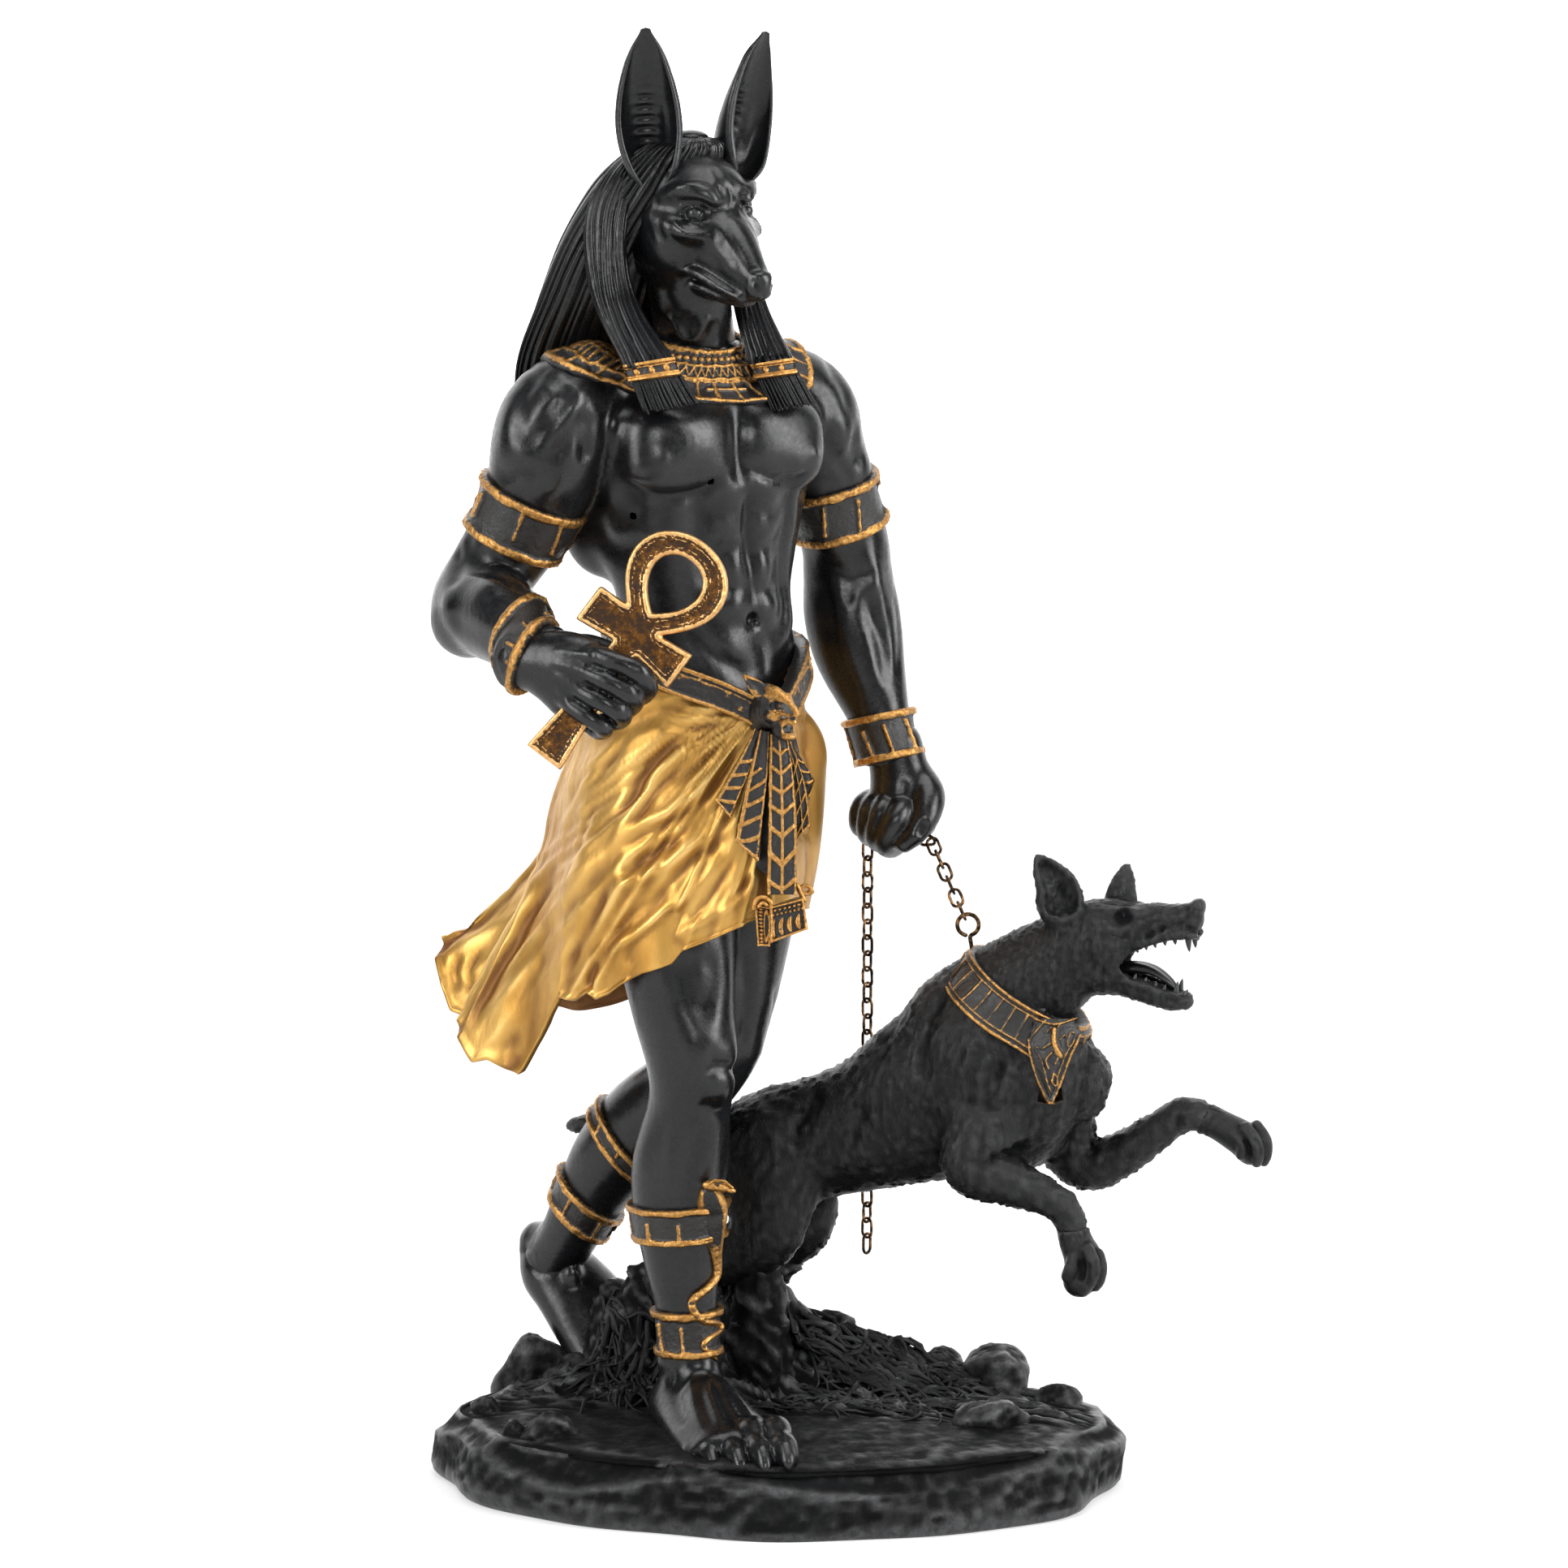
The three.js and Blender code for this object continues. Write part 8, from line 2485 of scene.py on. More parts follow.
def build_cobra():
    """The rearing cobra on the shin: hood with a ladder of belly scales, head to the right, tail in loops."""
    s = W_SHIN
    pts = [(622, 521), (633, 566), (636, 616), (641, 672), (650, 742), (652, 818), (613, 868), (574, 896), (568, 930), (605, 972), (658, 983), (664, 1004), (613, 1044), (613, 1072), (650, 1106)]
    half = [1.7, 3.0, 3.0, 2.2, 1.2, 0.9, 0.8, 0.8, 0.78, 0.75, 0.72, 0.68, 0.62, 0.55, 0.35]
    uv = np.array(s(pts))
    t = np.linspace(0, len(pts) - 1, 130)
    uv = spline(uv, t)
    w = spline([[x] for x in half], t)[:, 0]
    P = seen(LEGS, uv, sink=-0.75)
    P = relax_line(P, 6)
    toward = -sight(uv)
    parts = []
    n = 26
    V, F = tube(P, np.ones(len(P)), n, side=np.cross(toward, unit(np.gradient(P, axis=0))))
    # widen across, keep shallow in depth: a gold rim, a dark field and a ladder of belly scales
    rings = V[: (len(P) + 2) * n].reshape(-1, n, 3)
    Pc = np.concatenate([P[:1], P, P[-1:]])
    wc = np.concatenate([w[:1] * 0.6, w, w[-1:] * 0.6])
    tw = np.concatenate([toward[:1], toward, toward[-1:]])
    off = rings - rings.mean(axis=1, keepdims=True)
    dep = (off * tw[:, None]).sum(-1, keepdims=True) * tw[:, None]
    across = off - dep
    share = np.clip(np.linalg.norm(across, axis=-1), 0, 1)
    arc = np.concatenate([[0], np.cumsum(np.linalg.norm(np.diff(Pc, axis=0), axis=1))])[:, None]
    hood = smooth(15.0, 9.0, arc)
    step = np.sin(arc * 4.2)
    middle = smooth(0.42 + 0.3 * (1 - hood), 0.3 + 0.3 * (1 - hood), share)
    rim = smooth(0.74, 0.86, share)
    lift = 1 + 0.22 * rim * hood + middle * 0.16 * np.sign(step) * smooth(0.1, 0.6, np.abs(step))
    front = (dep * tw[:, None]).sum(-1, keepdims=True) > 0.1
    deep = np.clip(wc, 0.55, 1.0)[:, None, None] * np.where(front, lift[..., None], 1.0)
    rings = rings.mean(axis=1, keepdims=True) + across * wc[:, None, None] + dep * deep
    V[: len(rings) * n] = rings.reshape(-1, 3)
    c = np.zeros(len(V))
    field = hood * (1 - rim) * (1 - middle) * 0.75
    c[: len(rings) * n] = (field - 0.4 * rim - middle * (0.1 + 0.45 * step)).reshape(-1)
    parts.append((V, F, c))
    # head
    top = P[0][1]
    for (x, y), r, back, tilt in (((640, 506), (2.2, 1.2, 1.1), 1.2, 6), ((672, 512), (1.9, 1.0, 0.95), 1.5, 12), ((702, 522), (1.0, 0.8, 0.6), 1.6, 16)):
        b = ball(at_depth(s([(x, y)]), top - back)[0], r, turn(10, 0, tilt), 20, 12)
        parts.append((*b, np.full(len(b[0]), -0.15)))
    b = ball(at_depth(s([(655, 502)]), top - 2.5)[0], (0.42, 0.32, 0.42), None, 12, 8)
    parts.append((*b, np.full(len(b[0]), 0.8)))
    b = tube(at_depth(s([(628, 500), (645, 486), (680, 490), (708, 514)]), top - 2.2), 0.24, 6)
    parts.append((*b, np.full(len(b[0]), -0.4)))
    relief_piece("shin_cobra", parts, TRIM_BRIGHT)


def relax_line(P, times):
    for _ in range(times):
        Q = P.copy()
        Q[1:-1] = 0.5 * P[1:-1] + 0.25 * (P[:-2] + P[2:])
        P = Q
    return P


build_bands()
build_cobra()


# ---------------------------------------------------------------- the ankh
def build_ankh():
    """A flat cross with a loop: mottled bronze between a wide rounded rim and a thin inner line."""
    c = vec(-26.9, -44.5, 170.4)
    y = unit(vec(0.6, 0.03, 0.8))
    nrm = vec(-0.16, -0.98, -0.02)
    x = unit(np.cross(y, nrm))
    z = unit(np.cross(x, y))
    step = 0.22
    X, Y = np.meshgrid(np.arange(-12, 12.01, step), np.arange(-29.6, 22.6, step))

    def poly(pts):
        """Signed distance to a closed outline, below 0 inside."""
        q = np.array(pts, float)
        best = np.full(X.shape, 1e9)
        inside = np.zeros(X.shape, bool)
        for k in range(len(q)):
            a, b = q[k], q[(k + 1) % len(q)]
            e = b - a
            s = np.clip(((X - a[0]) * e[0] + (Y - a[1]) * e[1]) / max(e @ e, 1e-9), 0, 1)
            best = np.minimum(best, np.hypot(X - a[0] - s * e[0], Y - a[1] - s * e[1]))
            cond = (a[1] > Y) != (b[1] > Y)
            with np.errstate(divide="ignore", invalid="ignore"):
                xx = (b[0] - a[0]) * (Y - a[1]) / (b[1] - a[1] if b[1] != a[1] else 1e-9) + a[0]
            inside ^= cond & (X < xx)
        return np.where(inside, -best, best)

    def curve(*pts):
        p = [np.array(q, float) for q in pts]
        out = []
        for t in np.linspace(0, 1, 12)[:-1]:
            out.append((1 - t) ** 3 * p[0] + 3 * t * (1 - t) ** 2 * p[1] + 3 * t * t * (1 - t) * p[2] + t**3 * p[3])
        return out

    outer = [(-3.9, -28), (3.9, -28), (2.9, -18), (2.6, -12), (2.7, -3.0), (10.6, -4.0), (10.6, 3.6)]
    outer += curve((3.6, 2.8), (7.2, 6.4), (10.0, 9.4), (9.7, 13.8)) + curve((9.7, 13.8), (9.2, 18.6), (4.8, 21.4), (0, 21.4))
    outer += curve((0, 21.4), (-4.8, 21.4), (-9.2, 18.6), (-9.7, 13.8)) + curve((-9.7, 13.8), (-10.0, 9.4), (-7.2, 6.4), (-3.6, 2.8))
    outer += [(-10.6, 3.6), (-10.6, -4.0), (-2.7, -3.0), (-2.6, -12), (-2.9, -18)]
    hole = curve((0, 5.2), (-2.4, 7.0), (-5.2, 9.6), (-5.0, 13.2)) + curve((-5.0, 13.2), (-4.6, 16.0), (-2.4, 17.3), (0, 17.3))
    hole += curve((0, 17.3), (2.4, 17.3), (4.6, 16.0), (5.0, 13.2)) + curve((5.0, 13.2), (5.2, 9.6), (2.4, 7.0), (0, 5.2))
    d = np.maximum(poly(outer), -poly(hole))
    f = Form()

    class Plate:
        """The flat outline as a thick plate whose face is shaped by its distance from the outline."""

        def __init__(self):
            pts = [c + x * a + y * b + z * h for a in (-12, 12) for b in (-29.6, 22.6) for h in (-3, 3)]
            self.lo, self.hi = np.min(pts, 0), np.max(pts, 0)

        def __call__(self, P):
            v = P - c
            a, b, h = v @ x, v @ y, v @ z
            i = np.clip((b + 29.6) / step, 0, X.shape[0] - 1.001)
            j = np.clip((a + 12) / step, 0, X.shape[1] - 1.001)
            i0, j0 = i.astype(int), j.astype(int)
            fi, fj = i - i0, j - j0
            e = (d[i0, j0] * (1 - fi) + d[i0 + 1, j0] * fi) * (1 - fj) + (d[i0, j0 + 1] * (1 - fi) + d[i0 + 1, j0 + 1] * fi) * fj
            over = np.maximum(np.maximum(-29.6 - b, b - 22.6), np.abs(a) - 12)
            e = np.where(over > 0, np.maximum(e, over + 0.5), e)
            k = -e  # how far inside the outline
            rim = np.exp(-(((k - 0.5) / 0.5) ** 2)) * 0.5
            line = np.exp(-(((k - 1.45) / 0.2) ** 2)) * 0.2
            half = 1.0 + rim + line
            q, w = e + 0.4, np.abs(h) - half + 0.4
            return np.minimum(np.maximum(q, w), 0) + np.hypot(np.maximum(q, 0), np.maximum(w, 0)) - 0.4

    f.add(Plate(), 0.1)
    V, F = f.mesh(0.3)
    V = relax(V, F, 1, 0.35)
    V = V + vnormals(V, F) * (0.035 * fbm(V, 1.2, 3, 5))[:, None]
    v = V - c
    a, b = v @ x, v @ y
    i = np.clip(np.round((b + 29.6) / step).astype(int), 0, X.shape[0] - 1)
    j = np.clip(np.round((a + 12) / step).astype(int), 0, X.shape[1] - 1)
    k = -d[i, j]
    gold = np.maximum(np.exp(-(((k - 0.4) / 0.5) ** 4)), 0.62 * np.exp(-(((k - 1.45) / 0.17) ** 4)))
    gold = np.where(k < 0.4, 1.0, gold)
    piece("ankh", V, F, FIELD, "bronze_ankh", attrs={"cav": hollow(V, F) * 6, "rim": gold})


build_ankh()


# ---------------------------------------------------------------- the hound
HD, HS = ahead(HOUND_YAW), beside(HOUND_YAW)
W_HOUND = window(1040, 980, 2.375)
W_SNARL = window(1140, 1030, 4.02)
W_FORE = window(880, 1280, 3.734)
W_PAW = window(1290, 1480, 8.0)
W_FAR_PAW = window(1400, 1330, 6.0)


def snarl(x, y, depth):
    return at_depth(W_SNARL([(x, y)]), depth)[0]


def hound_body():
    f = Form()
    f.add(
        Limb(
            [
                [-12.5, 16.5, 61.6, 4, 5], [-8.5, 15, 62, 8, 9.5], [-1, 12.5, 63.2, 9.6, 11.8], [8, 10, 65.8, 9.2, 12], [18, 7, 69.4, 9.6, 13.4],
                [29, 3.6, 74.8, 11, 17], [39, 0.4, 78, 12, 18.4], [48, -2.2, 79.4, 11.2, 17], [54.4, -4, 79.6, 8.8, 13], [58.4, -5, 79, 4.6, 7.4],
            ],
            HS, 2.2,
        )
    )
    f.add(Limb([[36, 1.4, 88, 10, 13], [43, -1.4, 94, 9.6, 12], [50, -4, 100.4, 8.2, 10], [56, -6, 104.8, 7.4, 8.6]], HS), 5)
    legs = [
        # near fore, far fore, near hind, far hind
        [
            [38, -4.5, 84, 5, 9], [41, -8, 78, 5.4, 9], [37.8, -10.4, 70, 5.2, 7.4], [36.2, -11.4, 64.4, 4.8, 6], [42.6, -12.2, 61.8, 4.4, 5], [49.6, -13, 59, 3.5, 3.9],
            [53.9, -13.6, 56.2, 3.2, 3.5], [56, -14, 51, 2.8, 2.9], [57, -14.4, 46, 3.0, 3.0], [56.8, -14.6, 42.8, 3.3, 3.2],
        ],
        [
            [50, 4, 78, 5, 9], [54.4, 4.4, 67.4, 5, 7], [58.6, 4, 61.4, 4.4, 5.2], [65.4, 2.4, 63.8, 4, 4.6], [72, 0.6, 68.6, 3.4, 3.8], [77.4, -0.8, 72.4, 3, 3.4],
            [82.8, -2.4, 71.2, 2.8, 2.9], [87.6, -3.8, 68.4, 3.1, 3.1], [90.0, -4.6, 66.4, 3.3, 3.2],
        ],
        [
            [-3.4, 8, 66, 5, 10], [-2.4, 6.4, 56, 5.6, 9.6], [-4, 6, 47, 5, 7.6], [-11, 8.6, 41.6, 4, 5.4], [-20, 12, 38.6, 3.1, 3.7], [-25, 14, 36, 3.0, 3.3],
            [-22.6, 13, 28, 2.7, 2.8], [-20, 12, 21.5, 3.2, 3.2],
        ],
        [
            [1, 18, 64, 4.6, 9], [3.4, 17.6, 54, 5, 8], [3.6, 17.6, 46.6, 4.8, 6.6], [-2, 19, 40.6, 4, 4.6], [-10, 21, 37, 3.1, 3.5], [-15.4, 22.4, 34, 2.9, 3.1],
            [-13, 21.4, 27, 2.7, 2.8], [-10, 20.2, 20.5, 3.2, 3.2],
        ],
    ]
    for rows, k in zip(legs, (3.0, 3.0, 3.4, 3.4)):
        f.add(Limb(rows, HS), k)
    # shoulder blade, breast, haunch
    f.add(Blob((36, -7.6, 83), (4.2, 8, 11.5), turn(HOUND_YAW, 0, 0)), 4)
    f.add(Blob((51, -8, 80), (5.4, 6, 11), turn(HOUND_YAW)), 4)
    f.add(Blob((-3, 8.4, 60), (5.0, 9.4, 10.4), turn(HOUND_YAW)), 4)
    f.add(Limb([[-10, 17, 66, 3, 3.6], [-17, 24, 67, 2.6, 2.8], [-26, 31.5, 66, 2.2, 2.4], [-35, 36.2, 63.2, 2.1, 2.3], [-39.4, 37.6, 62.5, 2.1, 2.2], [-41.4, 38.2, 62.2, 1.5, 1.6]], UP), 2.0)
    # toes
    def toes(win, parts):
        for rows in parts:
            f.add(Limb([[*at_depth(win([(x, y)]), d)[0], r, r] for x, y, d, r in rows], vec(1, 0, 0)), 0.3)

    f.add(Limb([[*at_depth(W_PAW([(x, y)]), d)[0], a, b] for x, y, d, a, b in [(222, 250, -14, 2.5, 2.7), (270, 400, -14.2, 2.9, 2.9), (350, 520, -14.4, 3.4, 3.0), (380, 640, -14.6, 3.3, 3.0), (400, 720, -14.6, 2.6, 2.6)]], vec(1, 0, 0)), 1.0)
    toes(
        W_PAW,
        [
            [(270, 540, -16.4, 1.3), (240, 660, -16.8, 1.45), (200, 740, -16.4, 1.25)], [(400, 470, -16.9, 1.2), (450, 600, -18.0, 1.4), (445, 740, -17.8, 1.4), (350, 880, -16.6, 1.35)],
            [(510, 520, -15.6, 1.1), (535, 650, -16.6, 1.2), (515, 780, -16.6, 1.15), (480, 850, -15.8, 0.9)], [(360, 700, -13.6, 1.4), (330, 820, -13.6, 1.3), (300, 890, -13.6, 1.1)],
        ],
    )
    f.add(Limb([[*at_depth(W_FAR_PAW([(x, y)]), d)[0], a, b] for x, y, d, a, b in [(430, 262, -1.4, 3.0, 3.3), (600, 335, -2.8, 2.6, 2.7), (740, 400, -4.0, 3.0, 3.1), (850, 450, -4.8, 2.9, 2.9)]], vec(0.3, 0, 1)), 1.0)
    toes(
        W_FAR_PAW,
        [
            [(720, 400, -6.0, 1.2), (785, 480, -7.0, 1.25), (775, 560, -6.8, 1.05)], [(810, 360, -6.4, 1.3), (875, 460, -7.6, 1.4), (895, 560, -7.4, 1.35), (890, 612, -6.8, 1.1)],
            [(890, 345, -4.6, 1.2), (955, 450, -5.2, 1.25), (962, 550, -5.2, 1.15), (945, 610, -5.0, 0.95)],
        ],
    )
    for tip in ((-18.6, 11.4, 17.0), (-8.6, 19.6, 16.2)):
        for o in (-1.4, 0, 1.4):
            a = np.array(tip) + HS * o
            f.add(Limb([[*a, 1.5, 1.5], [*(a + HD * 3.2 - UP * 0.9), 1.25, 1.2]], HS), 0.4)
    m = Marks(f, W_HOUND)
    same = lambda p: p

    def mass(x, y, r, h, roll=0.0, sharp=2.0):
        m.mass(x, y, r, h, roll, 0.0, sharp)

    # muscles seen from the front side: hollows between shoulder, neck, ribs, flank and thigh
    m.line([(300, 560), (260, 650), (230, 760), (250, 850)], 1.4, 1.0)
    m.line([(150, 620), (120, 720), (100, 800)], 1.6, 0.7)
    m.line([(470, 760), (440, 850), (400, 930)], 1.2, 0.9)
    m.line([(330, 880), (420, 910), (500, 900)], 1.0, 0.7)
    m.line([(-60, 860), (-120, 940), (-150, 1040)], 1.4, 1.1)
    m.line([(40, 880), (60, 960), (20, 1030)], 1.2, 0.7)
    mass(400, 700, (5, 5, 6), 0.8)
    mass(200, 830, (4, 5, 5), 0.6)
    mass(560, 820, (4, 5, 5), 0.6)
    # between the toes
    for pts in ([(330, 560), (345, 680), (330, 800)], [(410, 600), (418, 720), (400, 850)], [(480, 560), (492, 660), (482, 770)]):
        m.line(pts, 0.42, 1.1, win=W_PAW)
    for pts in ([(785, 440), (830, 500), (838, 580)], [(860, 420), (920, 490), (932, 580)]):
        m.line(pts, 0.4, 1.0, win=W_FAR_PAW)
    m.lay()
    return f


def hound_head():
    f = Form()
    f.add(Limb([[41, -0.8, 92, 9.6, 12.4], [46, -2.6, 97, 9.0, 11.0], [50, -4, 100.4, 8.3, 10], [56, -6, 104.8, 7.4, 8.6], [61, -7.6, 107, 6.9, 7.6]], HS))
    f.add(Limb([[57, -6.4, 107.2, 6.4, 6.8], [62.5, -8, 109.0, 6.7, 6.5], [67, -9.4, 110, 5.5, 4.9], [70.4, -10.8, 111.4, 4.0, 3.7], [74.6, -12.4, 112.2, 3.4, 3.1], [77.4, -13.3, 112.8, 2.6, 2.9]], HS, 2.3), 2.0)
    f.add(Limb([[58, -6.6, 102.4, 5.4, 4.6], [64, -8.6, 101.0, 4.8, 3.8], [69, -10.6, 98.8, 3.8, 2.9], [74, -12.2, 96.9, 3.1, 2.2], [76.6, -13, 96.6, 2.2, 1.7]], HS, 2.3), 2.0)
    f.add(Blob((60.5, -9, 104), (4.6, 6.6, 6.2), turn(HOUND_YAW)), 2.5)
    # upper lips, falling at the front; brow
    for s in (-1, 1):
        o = HS * s
        f.add(Limb([[*(vec(69, -10.0, 107.6) + o * 3.6), 1.1, 1.3], [*(vec(73, -11.4, 109.2) + o * 3.1), 1.1, 1.4], [*(vec(76.4, -12.9, 109.8) + o * 2.4), 1.1, 1.7], [*(vec(78.4, -13.6, 109.6) + o * 1.4), 1.0, 1.5]], UP), 0.8)
        f.add(Limb([[*(vec(63, -8.0, 113.4) + o * 3.9), 1.0, 1.1], [*(vec(66.4, -9.2, 113.8) + o * 3.6), 1.1, 1.2], [*(vec(69.4, -10.2, 112.8) + o * 2.6), 0.9, 1.0]], UP), 0.9)
        # lower lip along the jaw
        f.add(Limb([[*(vec(66.6, -9.6, 100.8) + o * 4.2), 0.8, 0.9], [*(vec(71, -11.2, 99.2) + o * 3.1), 0.7, 0.8], [*(vec(75.4, -12.6, 98.0) + o * 2.0), 0.7, 0.8]], UP), 0.5)
    # the open mouth
    f.cut(
        Limb(
            [
                [66.2, -9.2, 103.0, 6.6, 1.2], [68.6, -10.0, 103.6, 7.0, 2.6], [71.6, -11.0, 104.0, 7.4, 3.5],
                [75.4, -12.2, 104.0, 7.6, 4.3], [79.6, -13.6, 103.2, 8.0, 5.2], [84, -15.4, 102.6, 8.4, 6.2],
            ],
            HS, 2.4, 0.6,
        ),
        0.7,
    )
    f.cut(Limb([[62.6, -8.0, 103.6, 3.0, 1.6], [67, -9.4, 103.8, 3.6, 2.9], [71, -10.8, 103.8, 3.8, 3.2]], HS), 0.8)
    # palate hollow and the bed of the lower jaw
    f.cut(Limb([[66, -9.2, 106.4, 1.8, 1.0], [72, -11.2, 108.2, 1.9, 1.1], [78, -13.4, 109.2, 1.5, 0.9]], HS), 0.5)
    f.cut(Limb([[66, -9.2, 101.4, 2.6, 1.2], [71, -11.0, 99.6, 2.0, 0.9], [74.6, -12.2, 98.4, 1.3, 0.7]], HS), 0.4)
    # nose
    f.add(Blob(snarl(1350, 352, -14.4), (2.0, 1.5, 1.7), turn(HOUND_YAW, 6), 2.6), 0.4)
    # ears
    near = [(700, 430, -9.4, 3.6, 2.6), (672, 350, -10.0, 4.6, 2.6), (655, 270, -10.2, 4.5, 2.1), (618, 200, -10.2, 3.6, 1.7), (578, 140, -10.0, 2.3, 1.2), (551, 100, -9.8, 0.9, 0.7)]
    f.add(Limb([[*snarl(x, y, d), a, b] for x, y, d, a, b in near], unit(vec(0.86, 0.1, -0.38)), 2.2, 0.6), 1.0)
    f.cut(Limb([[*snarl(x + 8, y, d - b * 0.95), max(a - 0.95, 0.3), b * 0.95] for x, y, d, a, b in near[1:5]], unit(vec(0.86, 0.1, -0.38)), 2.0, 0.8), 0.5)
    far = [(968, 330, -2.4, 3.4, 2.2), (975, 270, -1.6, 3.1, 1.7), (988, 200, -1.0, 2.2, 1.2), (1003, 148, -0.6, 0.9, 0.7)]
    f.add(Limb([[*snarl(x, y, d), a, b] for x, y, d, a, b in far], unit(vec(0.95, 0.3, -0.1)), 2.0, 0.7), 1.0)
    o = vec(62.5, -8.0, 0)
    m = Marks(f, W_SNARL, (o, HS))

    def both(pts, w, h, **kw):
        m.line(pts, w, h, both=True, **kw)

    # eye and angry lids
    both([(972, 396)], 0.75, 0.9, sharp=3)
    both([(973, 397)], 0.52, -0.75, sharp=3)
    both([(930, 372), (960, 370), (995, 388), (1015, 405)], 0.3, -0.7)
    both([(945, 412), (972, 424), (1005, 412)], 0.26, -0.5)
    both([(900, 345), (945, 340), (990, 360), (1030, 380)], 0.4, 0.5)
    both([(905, 330), (950, 322), (1000, 340), (1045, 352)], 0.42, -0.6)
    both([(880, 440), (920, 470), (980, 470), (1030, 450)], 0.6, -0.45)
    both([(900, 480), (960, 500), (1030, 480)], 0.5, 0.45)
    # wrinkles of the muzzle
    both([(1060, 470), (1120, 430), (1200, 400), (1290, 370)], 0.45, 0.45)
    both([(1080, 520), (1150, 470), (1230, 435), (1310, 420)], 0.4, 0.4)
    both([(1050, 420), (1110, 390), (1180, 372)], 0.4, 0.35)
    both([(1095, 545), (1160, 490), (1230, 458), (1300, 462)], 0.34, -0.4)
    both([(1230, 372), (1260, 395), (1250, 430)], 0.3, 0.25)
    both([(1290, 350), (1310, 380), (1300, 420)], 0.3, 0.3)
    both([(1352, 345)], 0.42, 0.9, sharp=3)
    both([(1340, 372), (1370, 385), (1388, 372)], 0.24, 0.3)
    both([(1318, 330), (1350, 318), (1385, 322)], 0.3, -0.25)
    # corner of the mouth: folds that stretch round it
    both([(1060, 590), (1045, 640), (1052, 690), (1090, 722)], 0.55, -0.8)
    both([(1035, 575), (1015, 640), (1025, 705), (1070, 748)], 0.5, 0.5)
    both([(1000, 590), (985, 660), (1000, 720)], 0.5, 0.3)
    both([(1110, 735), (1170, 750), (1240, 768), (1300, 765)], 0.34, 0.35)
    both([(1150, 790), (1210, 815), (1270, 800)], 0.4, 0.25)
    # folds inside the ear
    m.line([(560, 200), (590, 300), (640, 400), (680, 450)], 0.35, -0.6)
    m.line([(590, 190), (620, 280), (660, 350)], 0.32, -0.5)
    m.line([(650, 240), (700, 300), (730, 360)], 0.9, 0.9)
    m.line([(640, 430), (680, 470), (720, 450)], 0.4, -0.5)
    m.line([(985, 170), (985, 230), (975, 290)], 0.35, -0.4)
    # cheek and throat
    m.line([(800, 560), (840, 640), (930, 700)], 0.9, 0.35)
    m.line([(740, 820), (850, 750), (960, 740)], 0.8, 0.3)
    m.lay()
    return f


def fur(P, N, flow, size, seed):
    """Ridged strokes that run along `flow`."""
    d = unit(flow)
    along = (P @ d)[:, None] * d
    q = (P - along * 0.80) / size
    a = noise(q, 1.0, seed)
    b = noise(q * 2.1 + 7, 1.0, seed + 1)
    a, b = (1 - np.clip(np.abs(2 * k - 1), 0, 1) for k in (a, b))
    return a**1.5 - 0.5 + 0.5 * (b - 0.5)


def coat(V, F, depth, seed, size=0.95):
    """The whole coat: strokes hang down the sides and lie along the back and legs."""
    N = vnormals(V, F)
    down = unit(vec(-0.28, 0.05, -1))
    back = unit(vec(-0.93, 0.3, 0.12))
    hang = fur(V, N, down, size, seed)
    lie = fur(V, N, back, size, seed + 5)
    w = smooth(0.35, 0.8, N[:, 2])
    return V + N * (depth * (hang * (1 - w) + lie * w))[:, None]


PAWS = (vec(57.0, -14.6, 43.4), vec(89.2, -4.6, 67.4))
HOUND = hound_body()
HOUND_HEAD = hound_head()
EYE_AT = seen(HOUND_HEAD, W_SNARL([(985, 394)]))[0]


def glare(V, c):
    """Painted light on the eyes: a small light spot in the middle as a painted glint, inside a darker disc of painted
    shade.
    """
    v = V - EYE_AT
    d = np.linalg.norm(v - (v @ HS)[:, None] * HS, axis=1)
    return c + 0.5 * np.exp(-((d / 1.7) ** 4)) - 0.7 * np.exp(-((d / 0.5) ** 4))


